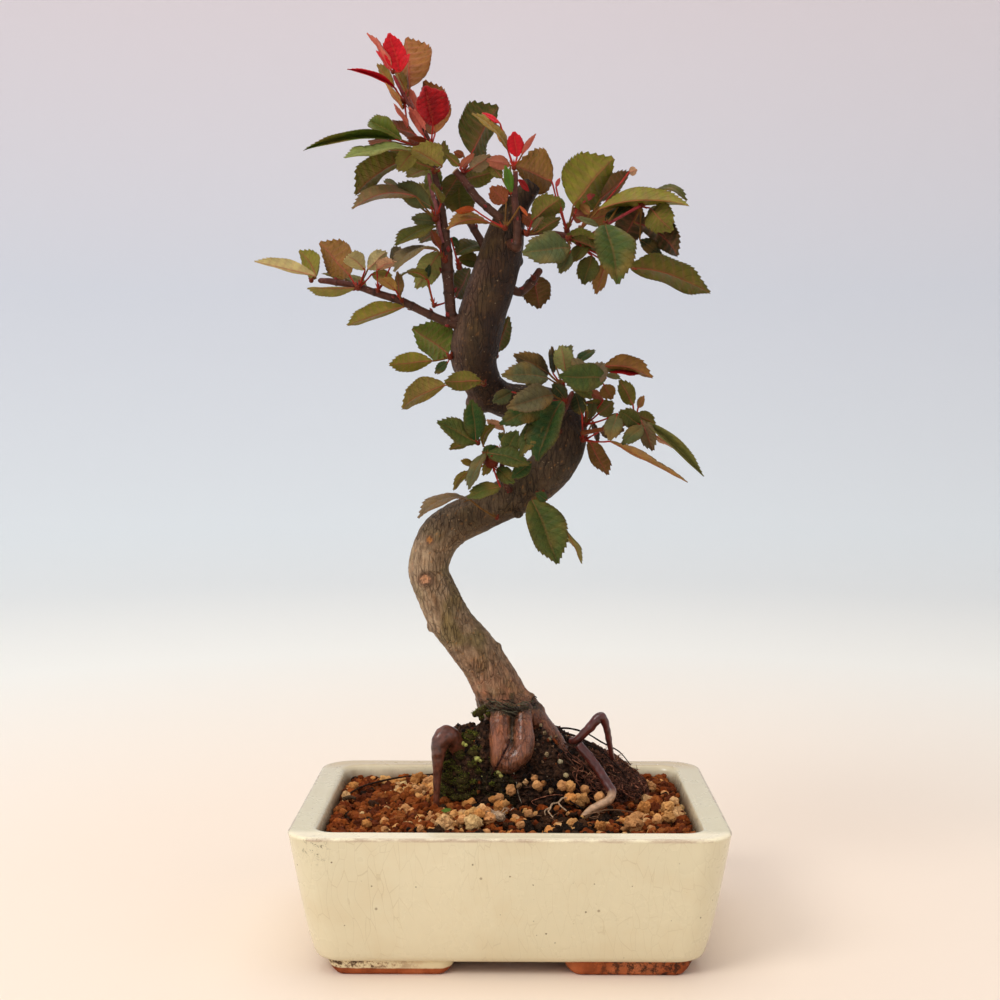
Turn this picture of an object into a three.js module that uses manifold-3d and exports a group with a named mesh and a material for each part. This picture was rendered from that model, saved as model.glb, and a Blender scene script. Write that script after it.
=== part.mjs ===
import * as THREE from 'three';
import * as BufferGeometryUtils from 'three/addons/utils/BufferGeometryUtils.js';
import Module from 'manifold-3d';

// Apple bonsai in a cream glazed pot. Millimetres, +Z up, front of the pot towards -Y.
// Everything is laid out about the pot's own centre (x = y = 0, table at z = 0) and
// moved at the end, so that the origin is at the bottom centre of the whole tree.

// ---- driving dimensions (mm) ----
const POT_L = 160;          // outer rim, left to right
const POT_W = 120;          // outer rim, front to back
const POT_H = 53;           // rim above the table, feet included
const FOOT_H = 5;           // height of the feet
const RIM_W = 10;           // width of the flat rim
const WALL_IN = 10;         // how far the outer wall slopes in at the bottom, each side
const FLOOR_Z = 12.5;       // top of the pot's floor
const DRAIN_R = 8;          // drain hole radius
const DRAIN_X = 38;         // drain holes left and right of the middle
const SOIL_Z = 48.4;        // soil surface
const GAP = 0.32;           // gap between neighbouring pieces
const LEAF_T = 0.8;         // leaf thickness at the midrib
const PETIOLE_R = 0.48;     // leaf stalk radius
const SCREEN = 21;          // drain screen edge length
const SCREEN_T = 1.0;       // drain screen thickness
const WIRE_R = 0.7;         // screen clip wire radius

const wasm = await Module();
wasm.setup();

// ---- helpers ----
const V = (x, y, z) => new THREE.Vector3(x, y, z);

function toSolid(positions) {
  const g0 = new THREE.BufferGeometry();
  g0.setAttribute('position', new THREE.Float32BufferAttribute(positions, 3));
  const g = BufferGeometryUtils.mergeVertices(g0, 1e-4);
  const p = g.attributes.position.array, idx = Uint32Array.from(g.index.array);
  let vol = 0;
  for (let i = 0; i < idx.length; i += 3) {
    const a = idx[i] * 3, b = idx[i + 1] * 3, c = idx[i + 2] * 3;
    vol += p[a] * (p[b + 1] * p[c + 2] - p[b + 2] * p[c + 1]) - p[a + 1] * (p[b] * p[c + 2] - p[b + 2] * p[c]) + p[a + 2] * (p[b] * p[c + 1] - p[b + 1] * p[c]);
  }
  if (vol < 0) for (let i = 0; i < idx.length; i += 3) { const t = idx[i]; idx[i] = idx[i + 1]; idx[i + 1] = t; }
  return new wasm.Manifold(new wasm.Mesh({ numProp: 3, vertProperties: Float32Array.from(p), triVerts: idx }));
}

// closed skin through rings of equal length; a ring of one point closes to a tip
function loft(rings) {
  const out = [];
  const tri = (a, b, c) => out.push(a.x, a.y, a.z, b.x, b.y, b.z, c.x, c.y, c.z);
  for (let k = 0; k + 1 < rings.length; k++) {
    const A = rings[k], B = rings[k + 1], n = Math.max(A.length, B.length);
    for (let i = 0; i < n; i++) {
      const j = (i + 1) % n;
      if (A.length === 1) tri(A[0], B[j], B[i]);
      else if (B.length === 1) tri(A[i], A[j], B[0]);
      else { tri(A[i], A[j], B[j]); tri(A[i], B[j], B[i]); }
    }
  }
  const cap = (R, flip) => {
    if (R.length === 1) return;
    const c = R.reduce((s, p) => s.add(p), V(0, 0, 0)).multiplyScalar(1 / R.length);
    for (let i = 0; i < R.length; i++) { const j = (i + 1) % R.length; flip ? tri(R[j], R[i], c) : tri(R[i], R[j], c); }
  };
  cap(rings[0], true); cap(rings[rings.length - 1], false);
  return toSolid(out);
}

// round stem or root through points [x, y, z, radius]
function tube(pts, sides, grow = 0) {
  const P = pts.map(p => V(p[0], p[1], p[2]));
  const rings = [];
  let u = null, last = null;
  for (let k = 0; k < P.length; k++) {
    const t = V(0, 0, 0);
    if (k > 0) t.add(P[k].clone().sub(P[k - 1]).normalize());
    if (k + 1 < P.length) t.add(P[k + 1].clone().sub(P[k]).normalize());
    t.normalize();
    if (!u) u = V(0, 1, 0).addScaledVector(t, -t.y).normalize();
    else u.applyQuaternion(new THREE.Quaternion().setFromUnitVectors(last, t)).addScaledVector(t, -u.dot(t)).normalize();
    last = t.clone();
    const w = t.clone().cross(u);
    const ext = k === 0 ? -grow : k === P.length - 1 ? grow : 0;
    const c = P[k].clone().addScaledVector(t, ext), r = pts[k][3] + grow;
    const ring = [];
    for (let i = 0; i < sides; i++) {
      const a = i / sides * Math.PI * 2;
      ring.push(c.clone().addScaledVector(u, r * Math.cos(a)).addScaledVector(w, r * Math.sin(a)));
    }
    rings.push(ring);
  }
  return loft(rings);
}

function ball(c, r, detail = 0, s = [1, 1, 1]) {
  const g = new THREE.IcosahedronGeometry(r, detail);
  g.scale(s[0], s[1], s[2]); g.translate(c[0], c[1], c[2]);
  g.deleteAttribute('normal'); g.deleteAttribute('uv');
  const m = g.index ? g.toNonIndexed() : g;
  return toSolid(m.attributes.position.array);
}

// rounded rectangle ring, half sizes a and b, corner radius r
function rrect(a, b, r, z, n = 4, cx = 0, cy = 0) {
  const out = [];
  const cs = [[a - r, b - r, 0], [-(a - r), b - r, 90], [-(a - r), -(b - r), 180], [a - r, -(b - r), 270]];
  for (const [x, y, d] of cs) for (let i = 0; i <= n; i++) {
    const t = (d + 90 * i / n) * Math.PI / 180;
    out.push(V(cx + x + r * Math.cos(t), cy + y + r * Math.sin(t), z));
  }
  return out;
}

function ellipse(cx, cy, a, b, z, n = 20, e = 2) {
  const out = [];
  for (let i = 0; i < n; i++) {
    const t = i / n * Math.PI * 2, c = Math.cos(t), s = Math.sin(t);
    out.push(V(cx + a * Math.sign(c) * Math.abs(c) ** (2 / e), cy + b * Math.sign(s) * Math.abs(s) ** (2 / e), z));
  }
  return out;
}

// leaf blade on its stalk, one closed body from the bud to the leaf tip
const BLADE = [[0, 0.10], [0.24, 0.80], [0.5, 1.0], [0.76, 0.68], [1, 0]];
const SMALL_BLADE = [[0, 0.10], [0.34, 0.95], [0.68, 0.85], [1, 0]];
function leaf(L, hub, grow = 0) {
  const [bx, by, bz, tx, ty, tz, lx, ly, lz, rx, ry, rz, ux, uy, uz, nx, ny, nz, h, arch] = L;
  const B = V(bx, by, bz), T = V(tx, ty, tz), dL = V(lx, ly, lz), dR = V(rx, ry, rz), bow = V(ux, uy, uz), N = V(nx, ny, nz);
  const len = B.distanceTo(T), H = V(...hub), rings = [];
  const side = dR.clone().sub(dL).normalize();
  const pr = PETIOLE_R + grow;
  const q = (c, r) => [c.clone().addScaledVector(side, -r), c.clone().addScaledVector(N, r), c.clone().addScaledVector(side, r), c.clone().addScaledVector(N, -r)];
  rings.push(q(H, pr));
  if (H.distanceTo(B) > 11) rings.push(q(H.clone().lerp(B, 0.5).addScaledVector(V(0, 0, 1), -0.03 * H.distanceTo(B)), pr));
  const th = LEAF_T / 2 + grow;
  for (const [t, w] of len < 11 ? SMALL_BLADE : BLADE) {
    const c = B.clone().lerp(T, t).addScaledVector(bow, arch * len * 4 * t * (1 - t));
    if (t === 1) { rings.push([c.addScaledVector(T.clone().sub(B).normalize(), grow)]); break; }
    const k = Math.max(h * w, PETIOLE_R) + grow;
    const e = t === 0 ? pr : th;
    rings.push([c.clone().addScaledVector(dL, k), c.clone().addScaledVector(N, e), c.clone().addScaledVector(dR, k), c.clone().addScaledVector(N, -e)]);
  }
  return loft(rings);
}

// welds vertices closer than WELD, so no sliver faces are left
const WELD = 0.09, APART = 0.05;
function tidy(s) {
  const m = s.getMesh(), k = m.numProp, p = m.vertProperties, t = m.triVerts, n = m.numVert;
  const c = new Float64Array(n * 3);
  for (let i = 0; i < n * 3; i++) c[i] = p[Math.floor(i / 3) * k + i % 3];
  const root = new Int32Array(n).map((_, i) => i);
  const find = i => { while (root[i] !== i) i = root[i] = root[root[i]]; return i; };
  for (let i = 0; i < t.length; i += 3) for (const [a, b] of [[t[i], t[i + 1]], [t[i + 1], t[i + 2]], [t[i + 2], t[i]]]) {
    const d = Math.hypot(c[a * 3] - c[b * 3], c[a * 3 + 1] - c[b * 3 + 1], c[a * 3 + 2] - c[b * 3 + 2]);
    if (d < WELD) root[find(a)] = find(b);
  }
  const faces = [], sum = new Float64Array(n * 4);
  for (let i = 0; i < t.length; i += 3) {
    const f = [find(t[i]), find(t[i + 1]), find(t[i + 2])];
    if (f[0] === f[1] || f[1] === f[2] || f[0] === f[2]) continue;
    faces.push(f);
    for (const a of f) { for (const b of f) for (let j = 0; j < 3; j++) sum[a * 4 + j] += c[b * 3 + j]; sum[a * 4 + 3] += 3; }
  }
  // corners that only touch are drawn apart
  const seen = new Map(), moved = c.slice();
  for (let i = 0; i < n; i++) {
    if (find(i) !== i || !sum[i * 4 + 3]) continue;
    const id = [0, 1, 2].map(j => Math.round(c[i * 3 + j] * 500)).join();
    if (seen.has(id)) for (const q of [i, seen.get(id)]) {
      const d = [0, 1, 2].map(j => sum[q * 4 + j] / sum[q * 4 + 3] - c[q * 3 + j]), l = Math.hypot(...d) || 1;
      for (let j = 0; j < 3; j++) moved[q * 3 + j] = c[q * 3 + j] + d[j] / l * APART;
    }
    seen.set(id, i);
  }
  // needle faces are turned into their neighbour
  const P = i => V(moved[i * 3], moved[i * 3 + 1], moved[i * 3 + 2]);
  for (let turn = 0; turn < 60; turn++) {
    const edge = new Map();
    faces.forEach((f, i) => { for (let j = 0; j < 3; j++) edge.set(f[j] + '_' + f[(j + 1) % 3], i); });
    let hit = false;
    for (let i = 0; i < faces.length && !hit; i++) {
      const q = faces[i].map(P), d = [0, 1, 2].map(j => q[j].distanceTo(q[(j + 1) % 3]));
      const area = q[1].clone().sub(q[0]).cross(q[2].clone().sub(q[0])).length(), j = d.indexOf(Math.max(...d));
      if (area / d[j] > 0.012) continue;
      const a = faces[i][j], b = faces[i][(j + 1) % 3], c0 = faces[i][(j + 2) % 3], k2 = edge.get(b + '_' + a);
      if (k2 === undefined) continue;
      const e = faces[k2].find(v => v !== a && v !== b);
      if (edge.has(c0 + '_' + e) || edge.has(e + '_' + c0) || e === c0) continue;
      const h = (x, y, z) => { const [A, B, D] = [x, y, z].map(P); return B.clone().sub(A).cross(D.clone().sub(A)).length() / Math.max(A.distanceTo(B), B.distanceTo(D), D.distanceTo(A)); };
      if (Math.min(h(a, e, c0), h(e, b, c0)) < Math.max(0.002, area / d[j])) continue;
      faces[i] = [a, e, c0]; faces[k2] = [e, b, c0]; hit = true;
    }
    if (!hit) break;
  }
  const out = [];
  for (const f of faces) for (const q of f) out.push(moved[q * 3], moved[q * 3 + 1], moved[q * 3 + 2]);
  try {
    const r = toSolid(out), parts = r.decompose();
    return parts.length === 1 && r.volume() > 0 ? r : s;
  } catch (e) { return s; }
}

// the outer skin of the biggest lump: crumbs are dropped and closed bubbles are filled
function largest(s) {
  for (let turn = 0; turn < 5; turn++) {
    const m = s.getMesh(), t = m.triVerts, p = m.vertProperties, k = m.numProp, out = [];
    for (const q of t) out.push(p[q * k], p[q * k + 1], p[q * k + 2]);
    s = toSolid(out);
    const parts = s.decompose();
    if (parts.length === 1) { s = parts[0]; break; }
    s = parts.reduce((a, b) => (b.volume() > a.volume() ? b : a));
  }
  return tidy(s);
}

// ---- stems, trunk and roots: [x, y, z, radius] along each one ----
const STEMS = {
  trunk: [[-0.95,20.5,59.05,12.57],[-0.95,20,68.59,12.14],[-2.16,19,84.73,10.49],[-8.59,17.5,99.22,9.25],[-14.97,16,108.75,8.82],[-23.32,15,119.77,8.59],[-28.04,14,130.33,8.17],[-31.61,14,139.13,7.97],[-31.19,14,145.93,8.16],[-27.99,14,153.52,8.35],[-22.01,14,158.71,8.15],[-14.04,13.5,162.73,8.14],[-4.91,13,167.14,7.93],[3.81,12,171.56,8.3],[11.69,11,177.15,8.68],[17.96,10,184.28,8.66],[21.48,10,192.14,8.45],[21.91,11.5,198.02,7.88],[19.6,14,203.14,7.51],[13.73,17,205.93,7.15],[5.79,19,207.14,6.98],[-2.19,19,207.94,6.98],[-8.14,17.5,211.1,7.16],[-12.05,15,216.58,7.92],[-14.36,13,223.61,9.07],[-13.54,12,231.4,9.44],[-11.16,11.5,241.15,9.22],[-8.01,11,250.85,9.21],[-5.25,10,259.31,8.79],[-2.9,9,268.1,7.99],[-0.95,8,275.7,6.61],[2.55,7.5,282.94,4.85],[6.03,7,287.85,4.07],[8.74,7,291.68,3.68]],
  stem_tall_left: [[-22.88,10,239.88,2.19],[-23.97,8.5,250.65,2.15],[-24.53,7.5,259.47,2.41],[-25.03,7,267.52,2.14],[-25.77,6.5,275.54,1.55],[-27.3,6.5,285.15,1.36],[-28.83,6.5,292.82,1.16],[-29.98,6.5,298.57,0.97],[-30.73,6.5,306.22,0.85],[-36.47,6,316.82,0.77],[-39.96,6.5,323.03,0.7],[-43.42,6.5,329.51,0.69],[-45.14,6.5,332.94,0.62]],
  stem_tall_second: [[-26.27,4.6,268.4,0.77],[-27.82,5,275.35,0.85],[-28.64,5.4,282.31,0.81],[-29.95,5.4,286.53,0.77],[-30.71,5.4,289.97,0.77],[-31.66,5.4,295.33,0.73]],
  stem_left_branch: [[-24.8,9,238.26,1.8],[-33.66,7,242.02,1.6],[-42.57,6.4,246.24,1.52],[-51.47,6,249.12,1.44],[-60.41,6,252.02,1.4],[-69.35,6,253.77,1.24],[-74.8,6,254.16,1.01]],
  stem_upper_left: [[-4,3,277.73,1.62],[-12.11,4,284.76,1.54],[-15.21,4.5,288.66,1.47],[-18.85,5,293.33,1.39],[-21.41,5.2,296.19,1.31]],
  stem_leader: [[2.56,-1.4,266.52,1.91],[2.55,-2.6,275.09,1.53],[1.59,-3.6,284.77,1.22],[1.78,-4.2,290.32,1.14],[1.97,-4.4,294.42,0.91]],
  stem_back_branch: [[-8.52,17.5,265.56,1.66],[-12.89,18.6,272.76,1.58],[-16.07,19,278.31,1.55],[-17.65,19,282.24,1.43]],
  stem_right: [[6.38,-1.2,271.47,1.07],[12.13,-0.6,271.73,1.03],[17.51,0,271.38,1.04],[21.34,0,270.46,1.3]],
  stem_right_outer: [[20.96,0,270.46,0.92],[24.01,-0.4,269.84,0.77],[29.74,-0.6,270.38,0.65],[35.82,-1,273.92,0.61],[42.68,-1,277.89,0.57],[49.95,-0.6,281.91,0.54]],
  stem_right_low: [[3.75,12.5,250.19,1.65],[7.68,14,253.44,1.57],[12,14,259.49,1.42]],
  stem_mid: [[17.64,-0.8,196.94,1.08],[19.9,-2.2,202.33,1],[21.79,-3,206.16,1],[24.05,-3.6,211.12,0.92]],
  stem_spur_low: [[-1.26,1.2,174.05,1.09],[-3.18,-1,180.34,1],[-2.94,-1.6,184.42,0.93]],
  root_left_knee: [[-19.13,8,72.45,3.97],[-24.12,4.6,78.37,3.86],[-27.17,2.6,79.39,3.69],[-30.04,1,76.75,3.29],[-30.81,0.6,72.88,2.74],[-30.03,0.4,66.98,2.19],[-29.52,0.2,61.08,1.96],[-29.45,0,55.18,1.72]],
  root_right_loop: [[24.01,6,73.4,1.82],[26.08,3.6,74.34,1.85],[30.9,2,79.26,1.88],[35.19,2,83.82,1.88],[37.64,3.4,79.97,1.89],[39.81,6,70.65,1.82]],
  root_right_low: [[26.77,1.2,72.89,1.8],[29.66,0,69.81,1.84],[34.26,-2,64.17,1.87],[37.65,-4.4,58.86,1.86],[39.46,-6.5,56.06,1.78],[37.55,-9.5,53.51,1.69],[31.41,-13,51.31,1.53],[28.04,-15,48.75,1.37]],
};

// ---- leaves, by the bud they grow from ----
// each leaf: base xyz, tip xyz, left half direction, right half direction, bow direction, blade normal, half width, bow
const SPRAYS = {
  leaf_bud_tall_tip: { hub: [-45.25,5.6,333.88], bud: 1.0, leaves: [
    [-46.06,6,334.35,-54.85,2,347.39,0.549,-0.828,0.116,-0.128,0.969,0.211,0.763,0.256,0.593,0.763,0.256,0.593,4.38,0.05],
    [-46.06,6,334.73,-52,8,342.45,0.334,-0.818,0.469,0.103,0.979,-0.174,0.793,0.293,0.535,0.793,0.293,0.535,2.68,0],
    [-42.51,5,333.73,-46.6,4,348.26,-0.917,-0.287,-0.278,0.933,-0.263,0.245,0.03,-0.998,-0.06,0.03,-0.998,-0.06,4.23,0],
    [-42.04,4,333.88,-38.42,2,339.82,-0.768,0.296,0.568,0.439,-0.735,-0.516,-0.596,-0.798,0.095,-0.596,-0.798,0.095,1.95,0.1],
  ] },
  leaf_spray_tall_top: { hub: [-41.17,8.7,323.42], bud: 1.4, leaves: [
    [-39.18,12,329.57,-41.56,24,352.18,-0.312,0.825,-0.471,0.979,-0.12,0.167,-0.656,-0.693,0.299,0.656,0.693,-0.299,10.43,0],
    [-44.79,9,328.54,-62.81,4,334.5,0.156,-0.936,-0.315,0.336,-0.907,0.255,0.277,0.136,0.951,0.258,-0.966,-0.031,5.3,0.12],
    [-45.25,10,329.15,-52.2,14,338.52,0.483,-0.618,0.621,-0.054,0.903,-0.425,0.778,0.519,0.355,0.778,0.519,0.355,3.33,0],
    [-40.74,12,327.65,-45.88,18,339.05,0.551,-0.61,0.569,-0.071,0.869,-0.49,0.871,0.47,0.145,0.871,0.47,0.145,3.74,0],
    [-35.05,8,318.75,-40.74,12,328.42,0.572,-0.582,0.578,-0.132,0.886,-0.444,0.798,0.552,0.242,0.798,0.552,0.242,3.22,0],
    [-41.63,8,320.29,-48.01,6,329.41,0.522,-0.833,0.182,-0.103,0.984,0.144,0.759,0.274,0.591,0.759,0.274,0.591,3.05,0],
    [-39.6,6.4,312.71,-44.19,-1,320.15,0.723,-0.658,-0.209,-0.315,0.763,0.565,0.74,0.19,0.645,0.74,0.19,0.645,3.09,0],
  ] },
  leaf_spray_tall_red: { hub: [-30.57,3.6,304.93], bud: 1.2, leaves: [
    [-29.58,-2,311.83,-32.6,-6,325.97,-0.253,-0.915,-0.313,0.946,0.196,0.258,0.693,-0.719,-0.055,0.693,-0.719,-0.055,9.28,0],
    [-29.47,12,311.84,-34.21,20,333.65,-0.385,0.836,-0.39,0.973,-0.044,0.227,-0.588,-0.793,0.163,0.588,0.793,-0.163,8.81,0],
    [-31.9,6.6,306.24,-39.15,0,307.7,0.592,-0.512,0.623,-0.681,0.722,-0.121,-0.163,0.381,0.91,-0.163,0.381,0.91,2.68,0],
  ] },
  leaf_spray_tall_left: { hub: [-33.16,8.2,306.15], bud: 1.2, leaves: [
    [-44.54,5,308.26,-78.54,-6,302.37,0.335,-0.916,-0.221,0.268,-0.941,0.207,-0.172,0.002,0.985,0.309,-0.951,-0.007,9.78,0.12],
    [-42.07,8,308.43,-55.63,20,318.1,-0.717,-0.676,-0.167,0.042,-0.598,0.801,-0.429,-0.809,0.402,-0.429,-0.809,0.402,5.54,0.05],
    [-37.29,12,311.48,-47.89,22,316.91,-0.141,-0.584,0.799,0.5,0.758,-0.419,0.651,0.315,0.69,0.651,0.315,0.69,4.2,0],
    [-45.5,12,308.41,-55.87,26,309.41,-0.714,-0.559,0.42,0.802,0.585,0.123,0.158,0.046,0.986,0.158,0.046,0.986,4.71,0],
    [-37.25,0,303.16,-61.7,-14,297.77,0.508,-0.858,-0.079,-0.496,0.641,0.585,-0.188,-0.049,0.981,0.022,-0.393,0.919,7.75,0.1],
    [-41.02,4,300.07,-59.18,0,286.16,-0.129,0.985,-0.115,-0.513,-0.368,0.775,-0.599,-0.06,0.799,-0.579,0.557,0.596,7.84,0.08],
  ] },
  leaf_spray_tall_second: { hub: [-29.44,3.6,295.41], bud: 1.1, leaves: [
    [-26.07,-2,296.75,-36.93,-10,301.75,-0.58,0.813,0.04,0.554,-0.258,0.791,-0.026,0.555,0.831,-0.026,0.555,0.831,6.57,0.05],
    [-29.85,4.15,297.03,-40.4,1,300.32,0.381,-0.411,0.829,-0.381,0.809,-0.448,-0,0.723,0.691,-0,0.723,0.691,3.1,0],
    [-32.13,10,298.01,-41.06,20,296.16,-0.637,-0.454,0.623,0.751,0.649,-0.121,0.208,0.354,0.912,0.208,0.354,0.912,3.66,0],
  ] },
  leaf_spray_tall_mid: { hub: [-28.8,3.05,277.51], bud: 1.56, leaves: [
    [-36.16,0,285.36,-59.04,-12,278.8,-0.422,0.892,-0.16,-0.506,0.665,0.549,-0.242,-0.068,0.968,-0.501,0.84,0.21,7.2,0.2],
    [-43.23,12,290.62,-50.02,18,293.9,-0.071,-0.539,0.84,0.434,0.758,-0.488,0.659,0.397,0.639,0.659,0.397,0.639,2.6,0],
    [-29.83,10,282.18,-36.18,18,293.09,0.512,-0.523,0.682,-0.039,0.795,-0.606,0.859,0.494,0.138,0.859,0.494,0.138,4.03,0],
    [-26.77,3.7,283.6,-29.29,-6,289.34,0.891,-0.379,-0.249,-0.545,0.528,0.651,0.628,0.27,0.73,0.628,0.27,0.73,3.12,0],
    [-28.74,4,274.84,-43.26,-8,266.01,0.647,-0.762,-0.028,-0.711,0.49,0.503,-0.358,-0.232,0.904,-0.117,-0.493,0.862,5.62,0.1],
    [-28.46,6.15,276.65,-38.22,7,278.32,-0.179,-0.158,-0.971,0.122,-0.387,0.914,-0.104,-0.989,-0.104,-0.104,-0.989,-0.104,2.72,0.1],
    [-28.72,10.8,274.16,-35.72,22,270.43,-0.843,-0.411,0.348,0.806,0.564,0.181,-0.067,0.277,0.958,-0.067,0.277,0.958,3.7,0],
  ] },
  leaf_spray_tall_node: { hub: [-25.24,3,261.7], bud: 1.4, leaves: [
    [-27.21,4,266.03,-30.44,0,272.81,0.883,-0.44,0.161,-0.603,0.779,0.172,0.508,0.614,0.604,0.508,0.614,0.604,2.3,0],
    [-28.27,2,265.42,-43.51,-10,255.86,0.588,-0.806,0.074,-0.709,0.573,0.411,-0.378,-0.233,0.896,-0.22,-0.422,0.88,5.84,0.3],
    [-27.42,7.9,265.31,-37.22,14,251.92,-0.761,0.157,0.629,0.824,0.357,-0.441,0.113,0.933,0.342,0.113,0.933,0.342,4.77,0],
  ] },
  leaf_pair_left_inner: { hub: [-29.62,4.6,244.16], bud: 0.9, leaves: [
    [-31.77,2,253.94,-41.18,-6,254.73,0.578,-0.629,0.521,-0.647,0.762,0.009,-0.126,0.243,0.962,-0.126,0.243,0.962,3.34,0.2],
    [-32.15,2,253.94,-31.6,6,260.09,-0.93,0.34,-0.138,0.599,-0.695,0.398,-0.601,-0.644,0.473,-0.601,-0.644,0.473,1.99,0],
    [-21.52,15.4,248.49,-16.44,30,260.91,0.326,0.544,-0.773,-0.759,-0.248,0.602,0.785,-0.537,0.31,-0.785,0.537,-0.31,5.35,0],
  ] },
  leaf_spray_tall_right: { hub: [-20.03,10,259.63], bud: 1.35, leaves: [
    [-21.38,12.7,264.66,-10.68,26,269.67,-0.662,0.269,0.7,0.798,-0.55,-0.245,0.247,-0.51,0.824,0.247,-0.51,0.824,4.8,0.1],
    [-23.13,8.2,270.74,-20.25,14,267.92,0.442,0.204,0.873,0.048,-0.456,-0.889,0.889,-0.456,-0.028,0.889,-0.456,-0.028,1.91,0],
  ] },
  leaf_spray_upper_left: { hub: [-18.04,8.2,296.14], bud: 1.4, leaves: [
    [-20.6,14,293.61,-19.74,22,281.86,0.977,-0.204,-0.067,-0.937,-0.252,-0.24,-0.071,0.827,0.558,0.071,-0.827,-0.558,6.52,0],
    [-14.59,10,303.75,-2.99,18,324.2,-0.778,-0.293,0.556,0.025,0.926,-0.376,-0.753,0.633,0.179,-0.753,0.633,0.179,10.78,0.03],
    [-18.16,12,302.95,-22.15,14,304.85,0.472,0.106,0.875,-0.231,0.389,-0.892,0.437,0.899,-0.03,0.437,0.899,-0.03,1.56,0],
    [-17.31,9.4,293.26,-4.96,18,298.5,0.124,0.381,-0.916,-0.434,0.075,0.898,-0.562,0.827,-0.033,-0.562,0.827,-0.033,4.31,0.2],
    [-19.12,-4,295.65,-13.74,-6,300.55,0.395,0.917,-0.06,-0.642,-0.619,0.453,-0.447,0.54,0.713,-0.447,0.54,0.713,2.04,0],
    [-19.27,0,297.08,-24.72,2,301.98,0.568,-0.315,0.76,-0.268,0.75,-0.604,0.544,0.79,0.283,0.544,0.79,0.283,2.05,0],
  ] },
  leaf_spray_leader_tip: { hub: [1.4,-3,295.78], bud: 1.1, leaves: [
    [-0.9,-2,302.73,-14.42,-8,314.9,0.095,-0.931,-0.353,0.291,0.689,0.663,0.701,-0.438,0.563,0.701,-0.438,0.563,5.17,0.1],
    [-3.94,-2,312.71,-10.75,-4,316.26,0.068,-0.92,-0.387,0.212,0.62,0.755,0.509,-0.543,0.668,0.509,-0.543,0.668,2.14,0],
    [-1.69,2,306.1,-4.78,4,311.04,0.864,0.167,0.474,-0.723,0.351,-0.595,-0.257,-0.941,0.22,0.257,0.941,-0.22,1.73,0],
    [2.53,-4,299.74,1.39,-6,308.93,-0.953,-0.249,-0.173,0.956,-0.289,0.056,-0.005,0.977,0.212,0.005,-0.977,-0.212,3.22,0],
    [4.36,-4,300.49,9.56,-6,307.83,0.15,0.976,0.159,-0.558,-0.812,0.174,-0.739,0.298,0.605,-0.739,0.298,0.605,2.49,0],
  ] },
  leaf_spray_leader_mid: { hub: [0.25,-1.6,286.58], bud: 1.2, leaves: [
    [0.27,-6,285.92,-1.99,-8,295.7,-0.38,-0.885,-0.269,0.798,0.527,0.292,0.759,-0.65,0.042,0.759,-0.65,0.042,2.77,0],
    [-0.16,4,298.09,-9.1,8,300.7,0.317,0.094,0.944,-0.085,0.404,-0.911,0.422,0.905,0.06,0.422,0.905,0.06,2.74,0],
    [-3.28,8,293.78,-8.75,10,300.27,0.779,0.173,0.603,-0.655,0.361,-0.664,0.224,0.968,-0.11,0.224,0.968,-0.11,2.35,0],
    [2.92,-2.5,291.34,7.15,2,287.86,0.342,0.351,0.871,0.094,-0.663,-0.743,0.792,-0.565,0.233,0.792,-0.565,0.233,1.91,0],
  ] },
  leaf_spray_leader_low: { hub: [-2.01,-4.4,272.98], bud: 1.2, leaves: [
    [-7.8,0,275.44,-23.45,-10,271.55,-0.493,0.848,-0.196,-0.511,0.539,0.67,-0.199,-0.069,0.978,-0.565,0.781,0.267,5.12,0.2],
    [-13.44,-4,279.83,-20.51,-8,278.92,0.248,-0.61,0.753,-0.441,0.848,-0.294,-0.351,0.431,0.831,-0.351,0.431,0.831,2.21,0],
    [-1.68,2,283.31,-7.48,4,289.72,0.756,0.178,0.629,-0.635,0.356,-0.686,0.221,0.97,-0.103,0.221,0.97,-0.103,2.89,0],
    [3.68,-6,281.03,6.33,-8,277,0.747,0.642,0.171,-0.405,-0.896,0.179,0.62,-0.461,0.635,0.62,-0.461,0.635,1.41,0],
  ] },
  leaf_spray_stump: { hub: [6.36,-4,270.75], bud: 1.2, leaves: [
    [8.66,-2,275.91,19.59,-6,283.26,-0.533,0.09,0.842,0.55,0.718,-0.427,0.019,0.889,0.457,0.019,0.889,0.457,4.66,0.05],
    [10.18,-2.7,271.66,18.85,-6,276.5,0.536,0.687,-0.491,-0.541,-0.235,0.808,-0.009,0.819,0.574,-0.009,0.819,0.574,2.82,0],
    [8.66,-2.8,272.03,12.41,-6,276.89,0.799,0.544,-0.258,-0.816,-0.09,0.571,-0.032,0.823,0.567,-0.032,0.823,0.567,1.87,0],
  ] },
  leaf_spray_right_top: { hub: [21.84,3.6,272.81], bud: 1.3, leaves: [
    [16.51,8,291.83,3.32,14,298.22,0.121,0.836,-0.536,0.447,0.031,0.894,0.518,0.791,0.327,0.518,0.791,0.327,9.55,0],
    [25.22,2,282.89,40.95,6,301.59,-0.772,0.133,0.621,0.27,0.869,-0.413,-0.44,0.879,0.182,-0.44,0.879,0.182,10.21,0.03],
    [17.52,2,289.37,19.05,2,292.78,0.511,0.829,-0.228,-0.834,-0.406,0.373,-0.587,0.766,0.262,-0.587,0.766,0.262,1.01,0],
    [26.15,6,282.69,32.92,10,287.48,-0.154,0.855,-0.496,-0.219,-0.574,0.789,-0.677,0.509,0.531,-0.677,0.509,0.531,2.49,0],
  ] },
  leaf_spray_right_high: { hub: [25.62,1.6,271.79], bud: 1.1, leaves: [
    [34.76,8,285.26,46.79,14,296.97,0.04,0.872,-0.488,-0.425,-0.551,0.719,-0.697,0.583,0.418,-0.697,0.583,0.418,4.81,0],
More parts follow.
